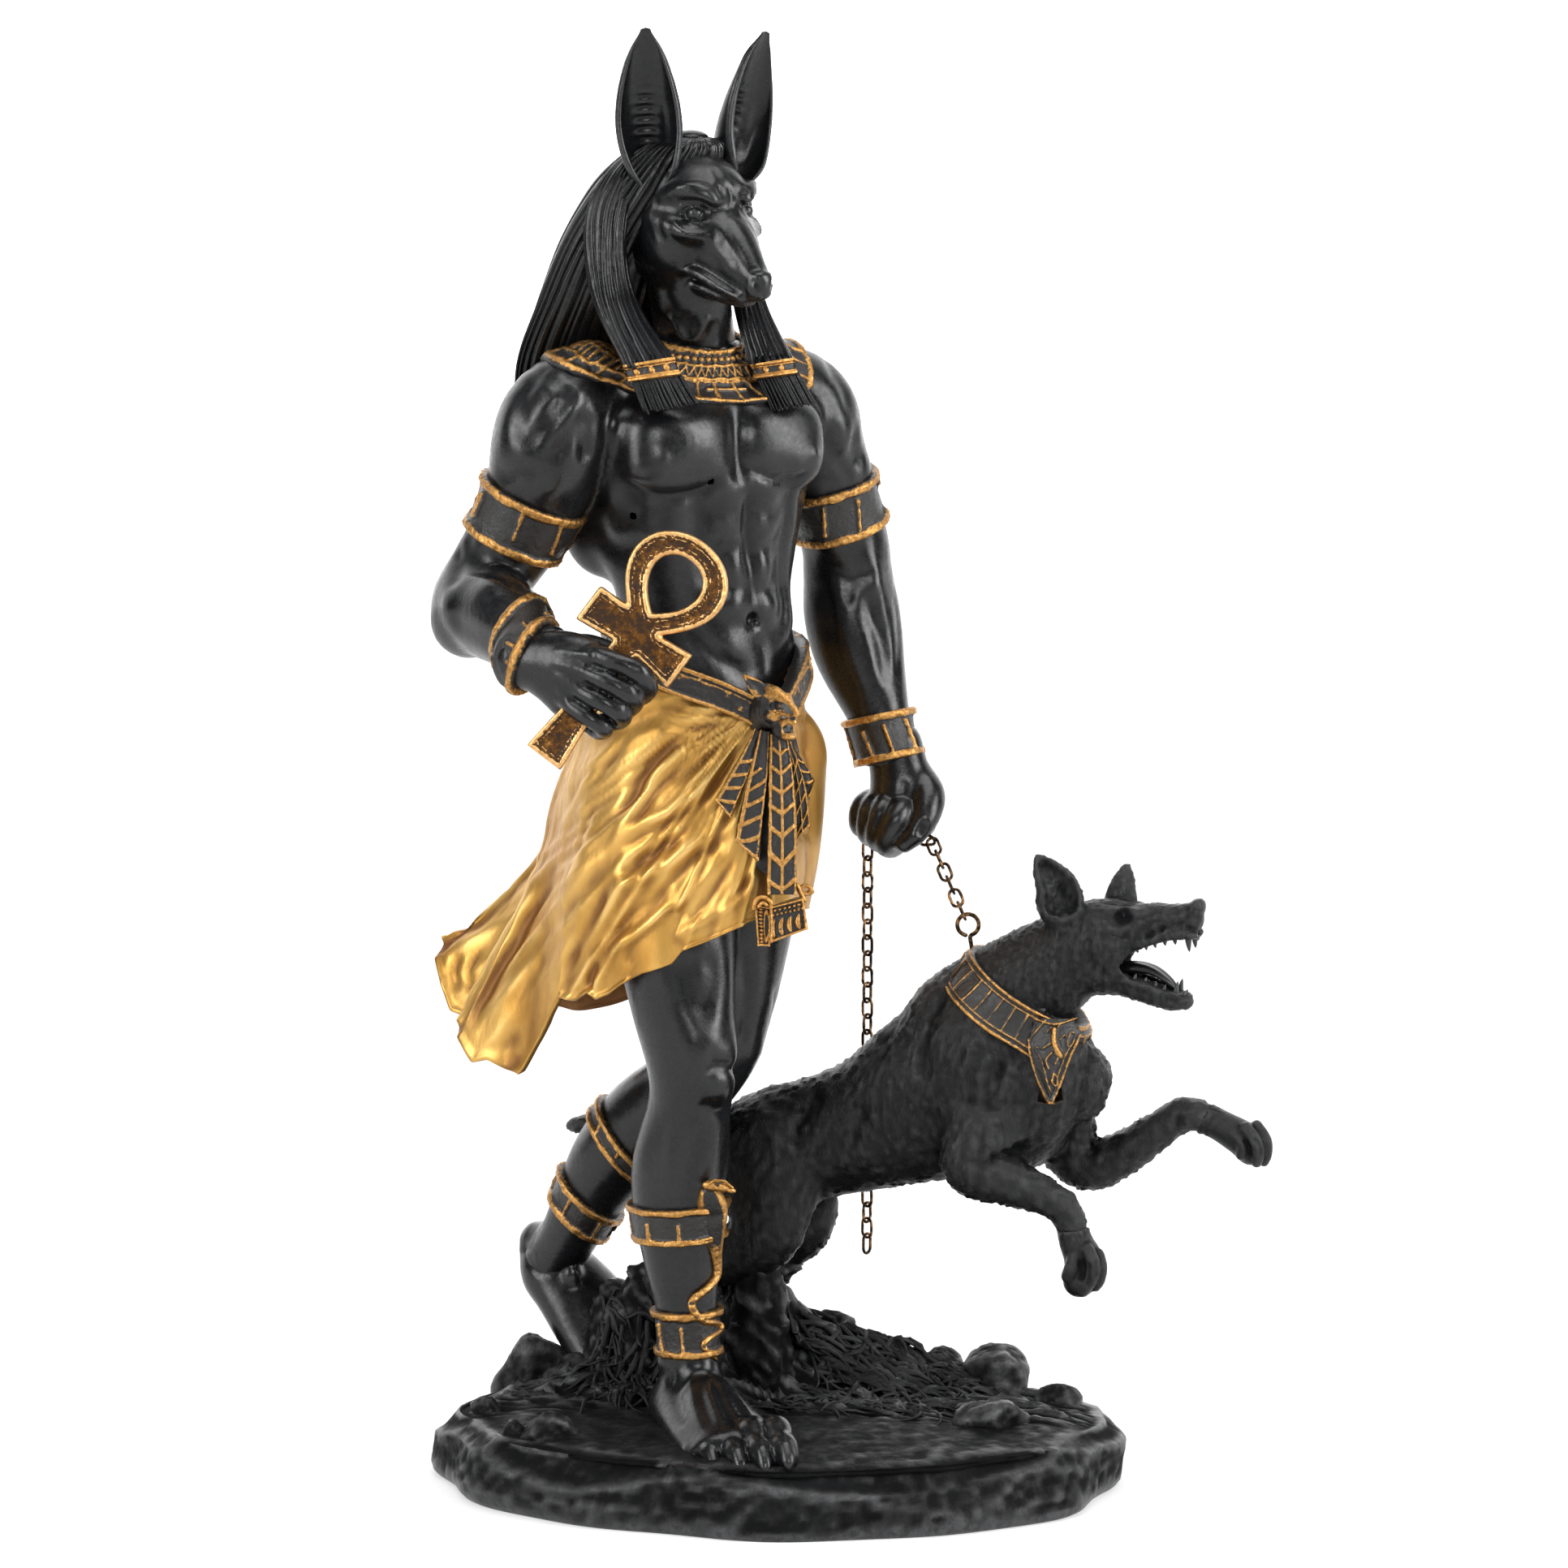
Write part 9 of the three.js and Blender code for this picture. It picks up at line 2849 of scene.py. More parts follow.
def build_hound():
    cell = 0.68
    cut = unit(vec(0.72, -0.25, 0.66))
    def apart(P):
        return np.minimum(np.linalg.norm(P - PAWS[0], axis=1), np.linalg.norm(P - PAWS[1], axis=1)) - 10.0

    V, F = HOUND.mesh(cell, keep=lambda P: np.maximum(-0.8 - apart(P), np.where(P[:, 2] < 78, -1.0, P @ cut - vec(46, -2.4, 95.0) @ cut - 5.0)))
    V = relax(V, F, 1, 0.35)
    paw = np.ones(len(V))
    for c, r in ((PAWS[0], 8.0), (PAWS[1], 8.5), (vec(-20, 12, 17), 7.0), (vec(-10, 20, 16.5), 7.0)):
        paw *= smooth(0.7, 1.2, np.linalg.norm(V - c, axis=1) / r)
    V = V + (coat(V, F, 0.4, 41, 0.7) - V) * paw[:, None]
    piece("hound_body", V, F, FUR, "black_resin", attrs={"cav": hollow(V, F) / (cell * COARSE) * 2.2})
    # the paws that hang free, on a finer net
    for k, name in enumerate(("hound_paw_near", "hound_paw_far")):
        V, F = HOUND.mesh(0.34, keep=lambda P: np.linalg.norm(P - PAWS[k], axis=1) - 10.0, lo=PAWS[k] - 10.6, hi=PAWS[k] + 10.6)
        V = relax(V, F, 1, 0.35)
        g = coat(V, F, 0.3, 41, 0.6) - V
        V = V + g * smooth(6.4, 9.6, np.linalg.norm(V - PAWS[k], axis=1))[:, None]
        piece(name, V, F, FUR, "black_resin", attrs={"cav": hollow(V, F) / (0.34 * COARSE) * 1.8})
    cell = 0.44
    base = vec(43.5, -1.2, 91.0)
    n = unit(vec(0.72, -0.25, 0.66))
    V, F = HOUND_HEAD.mesh(cell, keep=lambda P: base @ n - P @ n)
    V = relax(V, F, 1, 0.35)
    N = vnormals(V, F)
    # smooth inside the mouth and on the nose
    mouth = ((V - vec(75, -12, 104)) / vec(8.5, 7.0, 5.6)) ** 2
    soft = smooth(0.5, 1.3, mouth.sum(1)) * smooth(1.0, 4.0, np.linalg.norm(V - vec(81, -14.5, 114), axis=1))
    g = coat(V, F, 0.26, 47, 0.55) - V
    soft = soft * smooth(1.6, 3.4, np.linalg.norm((V - EYE_AT) - ((V - EYE_AT) @ HS)[:, None] * HS, axis=1))
    V = V + g * soft[:, None]
    # the eyes carry a painted glint in a disc of painted shade
    piece("hound_head", V, F, FUR, "black_resin", attrs={"cav": glare(V, hollow(V, F) / (cell * COARSE) * 2.0)})
    # teeth and tongue
    parts = []

    def tooth(p, d, length, r, lean=0.0):
        d = unit(np.array(d, float))
        s = unit(np.cross(d, vec(0.3, 0.9, 0.1)))
        t = np.linspace(0, 1, 6)
        pts = np.array(p) + d * (length * t)[:, None] + HD * (lean * t**2)[:, None]
        parts.append(tube(pts, r * (1 - t) ** 0.6 * 0.95 + 0.05, 7))

    for s in (-1, 1):
        o = HS * s
        for k, (x, y, z, w, ln) in enumerate(
            [(68.4, -9.9, 107.2, 3.4, 0.8), (70.0, -10.5, 107.9, 3.3, 0.9), (71.6, -11.1, 108.4, 3.1, 0.9), (73.4, -11.7, 108.8, 2.9, 0.8), (75.2, -12.4, 109.0, 2.6, 0.7), (77.6, -13.2, 109.0, 2.2, 2.0)]
        ):
            tooth(vec(x, y, z) + o * w, (0.05, 0, -1), ln + 0.5, 0.55 if ln < 1.5 else 0.7, 0.15)
        for k, (x, y, z, w, ln) in enumerate([(68.0, -9.8, 100.6, 3.4, 0.8), (69.8, -10.5, 100.0, 3.0, 0.8), (71.6, -11.2, 99.2, 2.6, 0.8), (73.2, -11.8, 98.8, 2.3, 0.7), (75.2, -12.5, 98.2, 1.6, 1.9)]):
            tooth(vec(x, y, z) + o * w, (0.1, 0, 1), ln + 0.5, 0.5 if ln < 1.5 else 0.62, 0.2)
    for o in (-1.0, -0.35, 0.35, 1.0):
        tooth(vec(78.6, -13.7, 109.2) + HS * o, (0.1, 0, -1), 0.9, 0.34)
        tooth(vec(76.6, -13.0, 97.8) + HS * o * 0.9, (0.15, 0, 1), 0.9, 0.34)
    V, F = merged(parts)
    # the teeth are set to a raised value of cav, so they take the grey of the painted ridge highlight
    piece("hound_teeth", V, F, BLACK, "black_resin", attrs={"cav": np.full(len(V), -0.5)})
    V, F = loft(
        [[64, -8.6, 102.0, 2.4, 1.3], [67.4, -9.8, 102.6, 2.6, 1.2], [70.6, -10.9, 102.2, 2.4, 0.9], [73.2, -11.8, 100.6, 1.9, 0.7], [74.6, -12.3, 99.2, 1.2, 0.5]],
        HS, 28, lambda Q, T: -0.35 * np.exp(-(((Q - 0.25) / 0.05) ** 2)), 26,
    )
    V, F = outside(V, F)
    piece("hound_tongue", V, F, SKIN, "black_resin", attrs={"cav": np.zeros(len(V))})


def build_hound_collar():
    """A sloping collar with a pointed front: double gold edges, crossbars, a beast in relief on the point."""
    w = W_SNARL
    cols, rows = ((330, 36))
    a = vec(47.6, -3.0, 97.6)
    b = vec(43.6, -1.4, 90.8)
    ax = unit(a - b)
    u = unit(HS - (HS @ ax) * ax)
    v = np.cross(ax, u)
    q = np.linspace(0, 2 * math.pi, cols, endpoint=False)
    t = np.linspace(0, 1, rows)
    T, Q = np.meshgrid(t, q, indexing="ij")
    D = u * np.cos(Q)[..., None] + v * np.sin(Q)[..., None]
    both = Form()
    both.ops = list(HOUND.ops) + list(HOUND_HEAD.ops[:1])
    qc = np.linspace(0, 2 * math.pi, 56, endpoint=False)
    tc = np.linspace(0, 1, 6)
    Tc, Qc = np.meshgrid(tc, qc, indexing="ij")
    Oc = a + (b - a) * Tc[..., None]
    Dc = u * np.cos(Qc)[..., None] + v * np.sin(Qc)[..., None]
    r = both.outward(Oc.reshape(-1, 3), Dc.reshape(-1, 3), 26.0, 60, first=True).reshape(Tc.shape)
    r = np.clip(r, 8.0, 13.6)
    for _ in range(3):
        r = 0.5 * r + 0.25 * np.roll(r, 1, 1) + 0.25 * np.roll(r, -1, 1)
    r = np.concatenate([r[:, -2:], r, r[:, :3]], axis=1)
    R = spline(r.T, q / (2 * math.pi) * 56 + 2)
    R = spline(R.T, t * 5)
    R = R - 0.9 * np.clip(-(D @ HD), 0, 1)
    P = a + (b - a) * T[..., None] + D * (R + 0.9)[..., None]
    N = grid_normals(P, True)
    N = N if (N * D).sum(-1).mean() > 0 else -N
    h = np.zeros_like(T)
    for at, k in ((0.05, 0.036), (0.17, 0.024), (0.83, 0.024), (0.95, 0.036)):
        h = np.maximum(h, bar(T - at, k))
    x = (Q / (2 * math.pi) * 24) % 1 - 0.5
    h = np.maximum(h, bar(x, 0.045) * (T > 0.17) * (T < 0.83) * 0.9)
    h = h * (0.9 + worn(P, 0.5, 0.8, 3)) + worn(P, 0.14, 1.4, 5)
    parts = [relief(P, N, 0.55 * h, 2.4, True, gilded(h, 0.5, 0.98))]
    # the point
    L = [(540, 905), (515, 1010), (528, 1110), (570, 1230), (618, 1325)]
    Rr = [(745, 905), (765, 985), (712, 1090), (662, 1220), (622, 1328)]
    P, N, S, T = panel(w, L, Rr, (-12.4, -13.8, -14.8, -14.8, -14.4), 84, 104, 1.8)
    uv = project(P)
    marks = [
        ([(518, 1010), (532, 1110), (574, 1230), (618, 1320)], 0.2, 1.0, 4), ([(540, 1050), (580, 1110), (600, 1190), (622, 1270)], 0.12, 0.7, 4),
        ([(762, 985), (712, 1088), (664, 1215), (622, 1322)], 0.2, 1.0, 4), ([(735, 1010), (690, 1085), (650, 1190)], 0.12, 0.7, 4),
        ([(600, 915), (560, 960), (522, 1010)], 0.13, 0.8, 4), ([(540, 905), (640, 935), (745, 905)], 0.2, 1.0, 4),
        ([(640, 960), (636, 1010), (650, 1060), (668, 1090)], 0.5, 1.1, 2.5), ([(640, 975)], 0.4, 1.3, 2.5), ([(655, 1075)], 0.5, 1.2, 2.5),
        ([(625, 950), (605, 975)], 0.12, 0.8, 4), ([(655, 950), (668, 935)], 0.12, 0.8, 4), ([(620, 1030), (580, 1055), (555, 1045)], 0.14, 0.9, 4),
        ([(625, 1075), (600, 1110), (612, 1150)], 0.14, 0.9, 4), ([(668, 1010), (690, 985), (700, 1000)], 0.12, 0.7, 4), ([(655, 1100), (640, 1130)], 0.14, 0.8, 4),
        ([(720, 970), (738, 985), (728, 1020), (708, 1045), (702, 1015), (720, 970)], 0.11, 0.8, 4), ([(634, 1175), (648, 1200), (640, 1235), (624, 1215), (634, 1175)], 0.16, 0.9, 4),
    ]
    h = strokes(uv, marks, w, "max")
    h = h * (0.9 + worn(P, 0.4, 0.9, 3)) + worn(P, 0.14, 1.4, 5)
    parts.append(relief(P, N, 0.7 * h, np.linspace(2.6, 2.6, 84), False, gilded(h, 0.5, 0.98)))
    relief_piece("hound_collar", parts, TRIM_DARK)


build_hound()
build_hound_collar()


# ---------------------------------------------------------------- the rocky ground
GROUND_A, GROUND_B, RIM_Z, GROUND_TURN = 67.4, 47.5, 12.6, -5.0


def ground_height(x, y):
    def bump(cx, cy, sx, sy, h):
        return h * np.exp(-(((x - cx) / sx) ** 2) - ((y - cy) / sy) ** 2)

    r = np.hypot(x / GROUND_A, y / GROUND_B)
    return (
        RIM_Z + 1.6 * (1 - r * r) + bump(-12, 17, 15, 10, 17) + bump(4, 18, 22, 12, 6) + bump(-34, 18, 14, 13, 6) + bump(24, 24, 18, 9, 3.4)
        + bump(0, 18.5, 9, 7, 5)
    )


def build_ground():
    nq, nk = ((420, 40))
    q = np.linspace(0, 2 * math.pi, nq, endpoint=False)
    m = 1 - 0.018 * np.cos(3 * q + 0.6) - 0.016 * np.cos(7 * q + 1.3) + 0.01 * np.cos(12 * q)
    c, d = math.cos(math.radians(GROUND_TURN)), math.sin(math.radians(GROUND_TURN))

    def ring(k):
        a, b = GROUND_A * m * k * np.cos(q), GROUND_B * m * k * np.sin(q)
        return np.stack([a * c - b * d, a * d + b * c], -1)

    # planes that knock flakes off the rim, and broad flats down the side
    rng = np.random.default_rng(12)
    flakes = []
    for i in range(104):
        a = rng.uniform(0, 2 * math.pi)
        low = i % 3 == 0
        tilt = rng.uniform(-0.05, 0.16) if low else rng.uniform(0.5, 1.12)
        z = rng.uniform(3, 8) if low else rng.uniform(8.6, 12.4)
        depth = rng.uniform(-0.9, 0.1) if low else rng.uniform(-1.2, 0.6)
        p = np.array([GROUND_A * math.cos(a), GROUND_B * math.sin(a)])
        nrm = np.array([math.cos(a) / GROUND_A, math.sin(a) / GROUND_B])
        heading = math.atan2(nrm[1], nrm[0]) + rng.normal(0, 0.07 if low else 0.2)
        p = np.array([p[0] * c - p[1] * d, p[0] * d + p[1] * c])
        heading += math.radians(GROUND_TURN)
        n = np.array([math.cos(tilt) * math.cos(heading), math.cos(tilt) * math.sin(heading), math.sin(tilt)])
        flakes.append((n, n @ np.array([p[0] * 0.985, p[1] * 0.985, z]) - depth))

    rows = []
    # the chipped side: stations up the wall as (share of the radius, height)
    for k, z in [(0.972, 0.0), (0.986, 0.45), (0.996, 1.3), (1.0, 2.4), (1.001, 3.4), (1.0, 4.4), (0.998, 5.2), (0.996, 6.0), (0.994, 6.8), (0.991, 7.5), (0.989, 8.2), (0.986, 8.9), (0.983, 9.6), (0.98, 10.2), (0.977, 10.8), (0.973, 11.4), (0.968, 12.0), (0.961, 12.5)]:
        xy = ring(k)
        P = np.concatenate([xy, np.full((nq, 1), z)], axis=1)
        out = np.linalg.norm(xy, axis=1)
        u = xy / out[:, None]
        r = out - 0.8 + noise(P * vec(1, 1, 1.5), 0.06, 3) * 1.5 * (0.35 + 0.65 * smooth(1.0, 5.0, z))
        full_ = r.copy()
        for n, e in flakes:
            f = u @ n[:2]
            r = np.where(f > 0.2, np.minimum(r, (e - n[2] * z) / np.maximum(f, 0.2)), r)
        r = np.maximum(r, full_ - 0.15 - 1.2 * smooth(0.0, 3.0, z) - 1.5 * smooth(7.5, 12.0, z))
        r = r + noise(P * vec(1, 1, 1.3), 0.5, 5) * 0.28 * smooth(0, 2, z)
        P[:, :2] = u * r[:, None]
        rows.append(P)
    for i, k in enumerate(np.linspace(0.90, 0.02, nk)):
        xy = ring(k)
        z = ground_height(xy[:, 0], xy[:, 1])
        P = np.concatenate([xy, z[:, None]], axis=1)
        front = smooth(2, -8, xy[:, 1] + 0.1 * xy[:, 0])
        rough = fbm(P, 0.10, 4, 9)
        fine = fbm(P, 0.5, 3, 10)
        a = math.radians(-20)
        along, cross_ = P[:, 0] * math.cos(a) + P[:, 1] * math.sin(a), -P[:, 0] * math.sin(a) + P[:, 1] * math.cos(a)
        warp = noise(P, 0.12, 15) * 5
        strand = 1 - 1.7 * np.abs(noise(np.stack([along * 0.12, cross_ * 0.62 + warp * 0.15, P[:, 2] * 0.2], -1), 1.0, 12))
        strand2 = 1 - 1.7 * np.abs(noise(np.stack([along * 0.2 + 7, cross_ * 1.1 + warp * 0.2, P[:, 2] * 0.2], -1), 1.0, 13))
        inner = smooth(0.93, 0.8, k)
        P[:, 2] += 1.1 * rough * (0.4 + 0.6 * inner) + (0.14 + 0.2 * (1 - front)) * fine + (1 - front) * inner * ((strand - 0.5) * 2.2 + (strand2 - 0.5) * 0.9)
        P[:, 2] += 0.5 * math.exp(-(((k - 0.91) / 0.02) ** 2)) * (0.2 + 0.8 * noise(P, 0.2, 14))
        level = P[:, 2] - 1.3 * smooth(0.8, 0.93, k)
        for n, e in flakes:
            if n[2] > 0.25 and k > 0.8:
                P[:, 2] = np.where((xy @ n[:2]) > 0.8 * e * np.hypot(n[0], n[1]), np.minimum(P[:, 2], np.maximum((e - xy @ n[:2]) / n[2], level)), P[:, 2])
        rows.append(P)
    V = np.concatenate(rows)
    n = len(rows)
    F = grid_faces(n, nq)
    a, b = len(V), len(V) + 1
    V = np.concatenate([V, [[0, 0, 0]], [rows[-1].mean(0)]])
    j = np.arange(nq)
    o = (n - 1) * nq
    T = np.concatenate([np.stack([np.full(nq, a), (j + 1) % nq, j], 1), np.stack([np.full(nq, b), o + j, o + (j + 1) % nq], 1)])
    V[:, 2] = np.maximum(V[:, 2], 0.0)
    V, F = outside(V, [F, T])
    c = hollow(V, F[0]) * 3.2
    piece("ground_slab", V, F, EARTH, "ground_resin", attrs={"cav": c})

    def rock(at, r, yaw, seed, cuts=15):
        rng = np.random.default_rng(seed)
        N = unit(rng.normal(size=(cuts, 3)) * np.array([1, 1, 0.8]) + np.array([0, 0, 0.15]))
        D = rng.uniform(0.74, 1.0, cuts)
        nu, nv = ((50, 26))
        th = np.linspace(0, math.pi, nv)[1:-1]
        ph = np.linspace(0, 2 * math.pi, nu, endpoint=False)
        dirs = np.stack([np.sin(th)[:, None] * np.cos(ph), np.sin(th)[:, None] * np.sin(ph), np.cos(th)[:, None] * np.ones(nu)], -1).reshape(-1, 3)
        dirs = np.concatenate([dirs, [[0, 0, 1], [0, 0, -1]]])
        dots = dirs @ N.T
        rad_ = np.where(dots > 0.05, D / np.maximum(dots, 0.05), 9.0)
        rad_ = -np.log(np.exp(-14 * rad_).sum(1)) / 14
        rad_ = np.minimum(rad_, 1.15)
        V = dirs * rad_[:, None]
        V = V * np.array(r) @ turn(yaw) + np.array(at)
        k = nv - 2
        F = grid_faces(k, nu, flip=True)
        j = np.arange(nu)
        o = (k - 1) * nu
        T = np.concatenate([np.stack([np.full(nu, k * nu), j, (j + 1) % nu], 1), np.stack([np.full(nu, k * nu + 1), o + (j + 1) % nu, o + j], 1)])
        V, F = outside(V, [F, T])
        Nn = vnormals(V, F[0])
        V = V + Nn * (0.55 * fbm(V, 0.35, 3, seed) + 0.16 * fbm(V, 1.4, 2, seed + 1))[:, None]
        return V, F

    rocks = [
        rock((-49.0, 25, 15.0), (8.2, 7, 7.6), 20, 1), rock((-40.5, 21, 15.4), (5.0, 5, 5.4), -30, 2), rock((41.8, 21, 15.8), (8.4, 7.0, 6.6), -15, 3),
        rock((40.2, -8, 13.4), (7.0, 5.2, 4.6), 10, 4), rock((53.6, 9, 12.6), (4.6, 3.8, 3.6), 0, 5), rock((9.8, 24, 25.4), (4.2, 3.6, 3.4), 0, 6),
        rock((-45, -18, 13.6), (5.2, 4.4, 3.8), 12, 7), rock((-51, -15, 13.2), (3.0, 2.6, 2.4), 40, 8), rock((31, 30, 16.0), (4.6, 4, 3.4), 50, 9),
        rock((-20, 36, 15.0), (6.4, 5, 4.6), 15, 10), rock((12, 39, 14.0), (5.0, 4, 3.6), -20, 11), rock((-57, 4, 12.8), (3.2, 4, 2.4), 10, 12),
    ]
    V, F = merged(rocks)
    c = np.concatenate([hollow(v, f[0]) for v, f in rocks]) * 3.0
    piece("ground_rocks", V, F, EARTH, "ground_resin", attrs={"cav": c})

    # the earth and plants that carry the hound's hind legs and the rear foot
    f = Form()
    f.add(Limb([[-4, 10, 18, 8, 7], [-4.5, 9, 28, 6.4, 5.6], [-4.6, 8.0, 36, 5.0, 4.6], [-4.4, 7.4, 43, 4.2, 4.0]], vec(1, 0, 0)))
    f.add(Limb([[-29, 13, 14, 9, 8], [-29, 13.5, 24, 6.4, 6], [-28, 14, 33, 4.6, 4.4], [-27, 14.4, 38, 3.0, 3.0]], vec(1, 0, 0)), 3)
    f.add(Limb([[-36, 22, 13, 7, 6], [-35.5, 22.6, 18, 5.4, 5.4], [-35, 23, 21.6, 4.0, 4.0]], vec(1, 0, 0)), 3)
    f.add(Limb([[-12, 20, 18, 12, 9], [-10, 20, 27, 9, 7], [-6, 19, 34, 6, 5.4], [0, 18.5, 40, 4.4, 4.4]], vec(1, 0, 0)), 4)
    f.add(Limb([[-27, 15, 18, 5, 5], [-16, 18, 21, 8, 7], [0, 19, 20.0, 9, 6.4], [13, 20, 16.5, 8, 4.6], [25, 22, 15.6, 6, 3.6]], UP), 4)
    f.add(Limb([[-34, 22, 13, 7, 6], [-33.5, 22, 24, 5.2, 5], [-32.5, 21, 32, 3.6, 3.6]], vec(1, 0, 0)), 3)
    V, F = f.mesh(0.75)
    V = relax(V, F, 1, 0.4)
    N = vnormals(V, F)
    g = fur(V, N, vec(0.75, -0.1, -0.62), 2.3, 61)
    V = V + N * (1.0 * g + 1.5 * fbm(V, 0.16, 3, 62))[:, None]
    V[:, 2] = np.maximum(V[:, 2], 9.0)
    piece("ground_mound", V, F, EARTH, "ground_resin", attrs={"cav": hollow(V, F) / (0.75 * COARSE) * 1.8})

    # bent grass and leaves
    rng = np.random.default_rng(77)
    blades = []
    top = Form()
    top.ops = list(f.ops)

    def surface(x, y):
        """Height of the ground or of the mound at loose places."""
        z = ground_height(x, y)
        P = np.stack([x, y, np.full(len(x), 46.0)], -1)
        for _ in range(26):
            D = top.at(P)
            P[:, 2] -= np.clip(D * 0.8, 0.0, 4.0)
            if (D < 0.1).all():
                break
        return np.maximum(z, np.where(P[:, 2] > 14, P[:, 2], 0))

    def spread(n, x0, x1, y0, y1, heading, turnby, long, wide, up):
        x = rng.uniform(x0, x1, n)
        y = rng.uniform(y0, y1, n)
        th = np.radians(heading + rng.normal(0, turnby, n))
        L = rng.uniform(0.7, 1.3, n) * long
        k = 5
        t = np.linspace(0, 1, k)
        bend = rng.normal(0, 0.5, n)
        X = x[:, None] + L[:, None] * (t * np.cos(th[:, None] + bend[:, None] * t))
        Y = y[:, None] + L[:, None] * (t * np.sin(th[:, None] + bend[:, None] * t))
        Z = surface(X.reshape(-1), Y.reshape(-1)).reshape(X.shape)
        Z = np.minimum(Z, Z[:, :1] + 3.0)
        Z = np.maximum(Z, Z[:, :1] - 6.0)
        lift = rng.uniform(0.5, 1.3, n)[:, None] * up * np.sin(math.pi * np.minimum(t * 1.15 + 0.06, 1))[None]
        for i in range(n):
            if Z[i, 0] > 33:
                continue
            P = np.stack([X[i], Y[i], Z[i] + lift[i] + 0.1], -1)
            w = wide * rng.uniform(0.7, 1.2) * np.array([0.75, 1.0, 0.95, 0.65, 0.2])
            blades.append(tube(P, w, 4, side=vec(-math.sin(th[i]), math.cos(th[i]), 0.001), flatten=1.0))

    n = 1.0
    spread(int(210 * n), -12, 22, 8, 26, -12, 26, 8.5, 0.62, 1.1)
    spread(int(110 * n), 14, 38, 12, 28, -20, 30, 7.0, 0.5, 1.0)
    spread(int(120 * n), -37, -22, 2, 20, 250, 38, 6.5, 0.62, 1.4)
    spread(int(110 * n), -6, 32, -4, 12, -8, 30, 6.5, 0.42, 0.8)
    spread(int(60 * n), -40, 20, 24, 36, 80, 50, 6.5, 0.5, 1.0)
    V, F = merged(blades)
    piece("ground_grass", V, F, EARTH, "ground_resin", attrs={"cav": -0.12 + 0.1 * fbm(V, 0.4, 2, 5)})


build_ground()


# ---------------------------------------------------------------- chain and eye screw
WIRE, LINK_L, LINK_W, LINK_GAP = 0.58, 3.9, 2.2, 0.2
PITCH = LINK_L - WIRE - LINK_GAP
EYE_R, EYE_WIRE = 2.06, 0.8
FIST_IN, FIST_OUT = vec(28.3, 13.6, 124.6), vec(17.6, 21.6, 121.6)
EYE, EYE_DIR, CHAIN_END = vec(35.7, 1, 108.9), unit(vec(-0.16, 0, 1)), 40.5


def about(v, axis, angle):
    c, s = math.cos(angle), math.sin(angle)
    return v * c + np.cross(axis, v) * s + axis * (axis @ v) * (1 - c)


def chain_links():
    """Centre, direction and flat of each link, from the eye screw through the fist and down."""
    out = []

    def run(a, d, count, flat, level=False):
        d = unit(d)
        p = unit(flat - (flat @ d) * d)
        q = np.cross(d, p)
        twist = 0.0
        if level:
            end = math.atan2(q[2], p[2])
            off = (end - (count - 1) * math.pi / 2) / math.pi
            near = math.floor(off + 0.5)
            twist = (off - near) * math.pi / (count - 1)
        for k in range(count):
            out.append((a + d * (LINK_L / 2 + k * PITCH), d, about(p, d, k * (math.pi / 2 + twist))))
        c = out[-1]
        return c[0] + d * LINK_L / 2, np.cross(d, c[2])

    step = WIRE + LINK_GAP
    pull = FIST_IN - EYE
    inn = unit(vec(pull[0], 0, pull[2]))
    hook = EYE + inn * EYE_R
    up = unit(FIST_IN - hook)
    start = hook + up * (-EYE_WIRE / 2 - WIRE / 2 - LINK_GAP)
    n = int(math.floor((np.linalg.norm(FIST_IN - start) - LINK_L) / PITCH + 0.5)) + 1
    tip, flat = run(start, up, n, vec(-inn[2], 0, inn[0]))
    across = unit(FIST_OUT - tip)
    a = tip - across * step - up * 0.35
    n = math.ceil((np.linalg.norm(FIST_OUT - a) - LINK_L) / PITCH) + 1
    tip, flat = run(a, across, n, flat, True)
    n = int(math.floor((tip[2] - CHAIN_END) / PITCH + 0.5))
    run(tip + vec(0, 0, step), vec(0, 0, -1), n, flat)
    return out


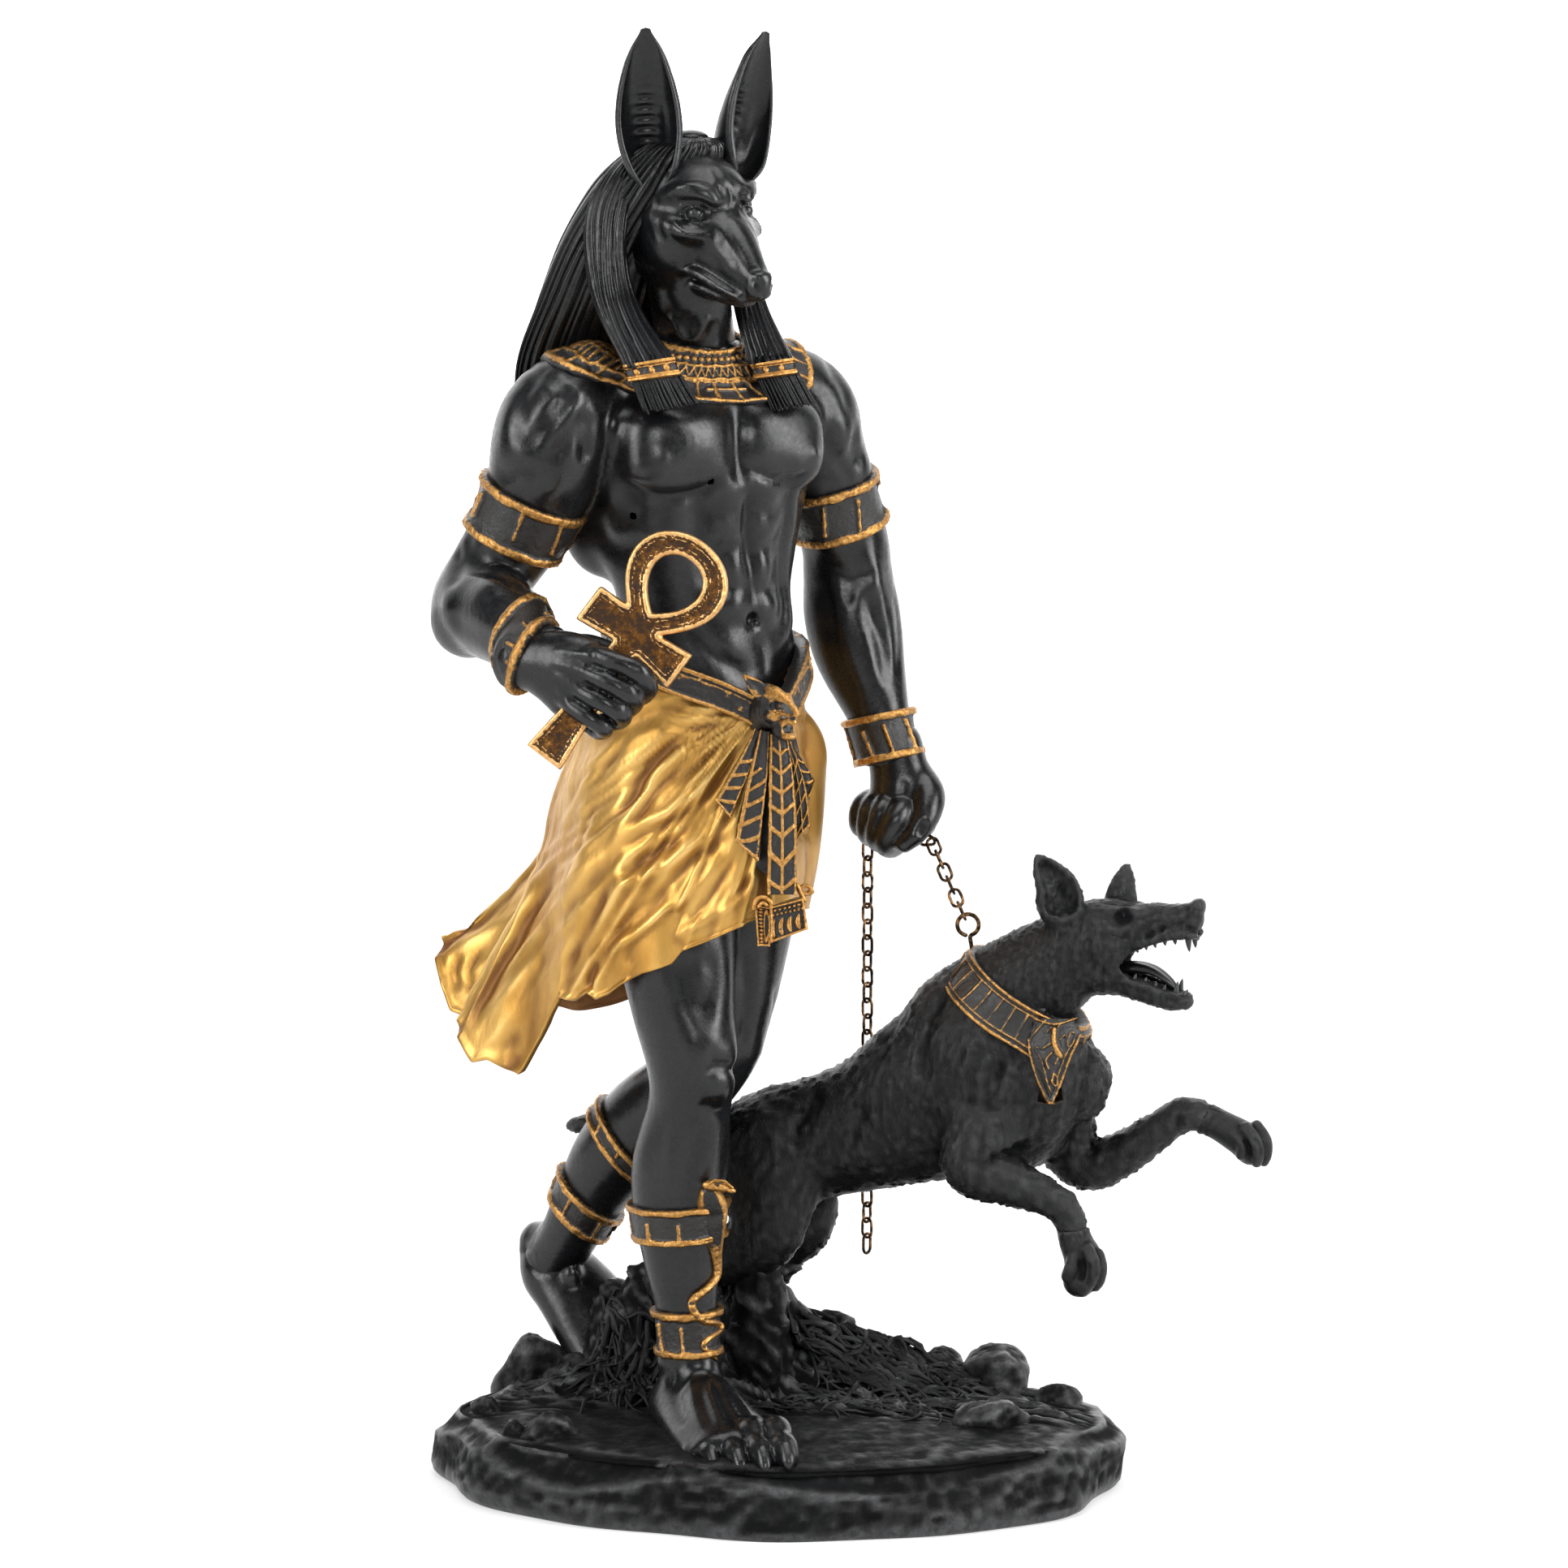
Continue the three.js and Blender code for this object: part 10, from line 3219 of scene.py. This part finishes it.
def build_chain():
    links = chain_links()
    e, w = LINK_L / 2, LINK_W / 2
    s = e - w
    k = 8
    arc = np.linspace(-math.pi / 2, math.pi / 2, k)
    path = [(s + w * math.cos(a), w * math.sin(a)) for a in arc] + [(s * f, w) for f in (0.4, -0.4)]
    path += [(-s - w * math.cos(a), -w * math.sin(a)) for a in arc] + [(s * f, -w) for f in (-0.4, 0.4)]
    path = np.array(path)
    for i, (c, d, flat) in enumerate(links):
        x = unit(d)
        z = unit(np.cross(x, flat))
        P = c + x * path[:, :1] + z * path[:, 1:]
        V, F = tube(P, WIRE / 2 * (1 + 0.05 * math.sin(i * 2.3)), 9, side=np.cross(x, z), ring=True)
        V, F = outside(V, F)
        N = vnormals(V, F[0])
        ang = np.tile(np.arange(9), len(path)) / 9 * 2 * math.pi
        along = np.repeat(np.arange(len(path)), 9)
        twist = 0.035 * np.sin(ang * 2 + along * 1.5) * (i % 3 == 1)
        V = V + N * (twist + 0.02 * fbm(V, 1.1, 2, i))[:, None]
        name = "chain_link_%02d" % (i + 1)
        piece(name + "_wire", V, F, CHAIN, "bronzed_wire", node=name, attrs={"cav": np.clip(-twist * 8, -0.5, 0.5)})
    # the eye screw: an open ring turned from the same wire as its stem
    x, y = unit(vec(1, 0, 0.16)), EYE_DIR
    a = np.radians(np.linspace(-78, 250, 40))
    ring = EYE + EYE_R * (x * np.cos(a)[:, None] + y * np.sin(a)[:, None])
    foot = EYE - y * (EYE_R + 0.55)
    stem = [EYE - y * (EYE_R + 5.6), EYE - y * (EYE_R + 2.4), foot]
    P = np.concatenate([stem, [EYE - y * (EYE_R + 0.12) + x * 0.2], ring])
    P = spline(P, np.linspace(0, len(P) - 1, 3 * len(P)))
    V, F = tube(P, EYE_WIRE / 2, 12, side=np.cross(x, y))
    V, F = outside(V, F)
    V = V + vnormals(V, F[0]) * (0.02 * fbm(V, 1.0, 2, 5))[:, None]
    piece("collar_eye_screw_wire", V, F, CHAIN, "bronzed_wire", node="collar_eye_screw", attrs={"cav": np.zeros(len(V))})


build_chain()


# ---------------------------------------------------------------- floor, backdrop, light, camera
def plane(name, corners, mat):
    me = bpy.data.meshes.new(name)
    me.from_pydata([tuple(c) for c in corners], [], [(0, 1, 2, 3)])
    me.materials.append(mat)
    ob = bpy.data.objects.new(name, me)
    bpy.context.scene.collection.objects.link(ob)
    return ob


def bright_stage(name, strength, pale=0.9, tint=(1.0, 1.0, 1.0)):
    """A pale studio surface that glows a little, so that it stays white behind the figure."""
    m = Mat(name)
    a = m.noise(0.003, 2.0, 0.5)
    m.set(
        Base_Color=m.ramp(m.remap(a, 0.3, 0.7), [(0.0, (pale, pale, pale + 0.002)), (1.0, (pale + 0.03, pale + 0.03, pale + 0.031))]),
        Roughness=m.remap(a, 0.3, 0.7, 0.75, 0.85),
        Emission_Strength=strength,
    )
    m.bsdf.inputs["Emission Color"].default_value = (*tint, 1)
    return m.m


plane("studio_floor", [(-3, -2.5, 0), (3, -2.5, 0), (3, 1.6, 0), (-3, 1.6, 0)], bright_stage("floor white", 0.5, 0.42))
plane("studio_wall", [(-3, 1.6, -0.01), (3, 1.6, -0.01), (3, 1.6, 3.2), (-3, 1.6, 3.2)], bright_stage("wall white", 1.0))


def softbox(name, at, to, size, power, tint=(1.0, 1.0, 1.0)):
    d = bpy.data.lights.new(name, "AREA")
    d.shape = "RECTANGLE"
    d.size, d.size_y = size
    d.energy = power
    d.color = tint
    ob = bpy.data.objects.new(name, d)
    from mathutils import Vector

    ob.location = at
    ob.rotation_euler = (Vector(to) - Vector(at)).to_track_quat("-Z", "Y").to_euler()
    bpy.context.scene.collection.objects.link(ob)
    return ob


softbox("softbox_left", (-1.25, -0.85, 0.75), (0, 0, 0.15), (0.8, 1.1), 22)
softbox("softbox_right", (1.35, -0.55, 0.65), (0, 0, 0.15), (0.7, 1.1), 24)
softbox("softbox_top", (0.1, -0.25, 1.5), (0, 0, 0.15), (1.2, 0.9), 15)
softbox("softbox_front", (0.35, -1.9, 0.9), (0, 0, 0.12), (0.7, 0.5), 11)

world = bpy.data.worlds.new("studio")
bpy.context.scene.world = world
world.use_nodes = True
back = world.node_tree.nodes["Background"]
back.inputs[0].default_value = (1.0, 1.0, 1.0, 1)
back.inputs[1].default_value = 0.10

cam = bpy.data.cameras.new("camera")
cam.sensor_width = 36.0
cam.lens = VIEW_F / 1932 * 36.0
cam.clip_start, cam.clip_end = 0.05, 20
camera = bpy.data.objects.new("camera", cam)
camera.location = tuple(VIEW_FROM * MM)
camera.rotation_euler = (math.radians(90) - VIEW_TILT, 0, 0)
bpy.context.scene.collection.objects.link(camera)
bpy.context.scene.camera = camera
bpy.context.scene.view_settings.view_transform = "Standard"

print("TRIANGLES", TOTAL["tris"])
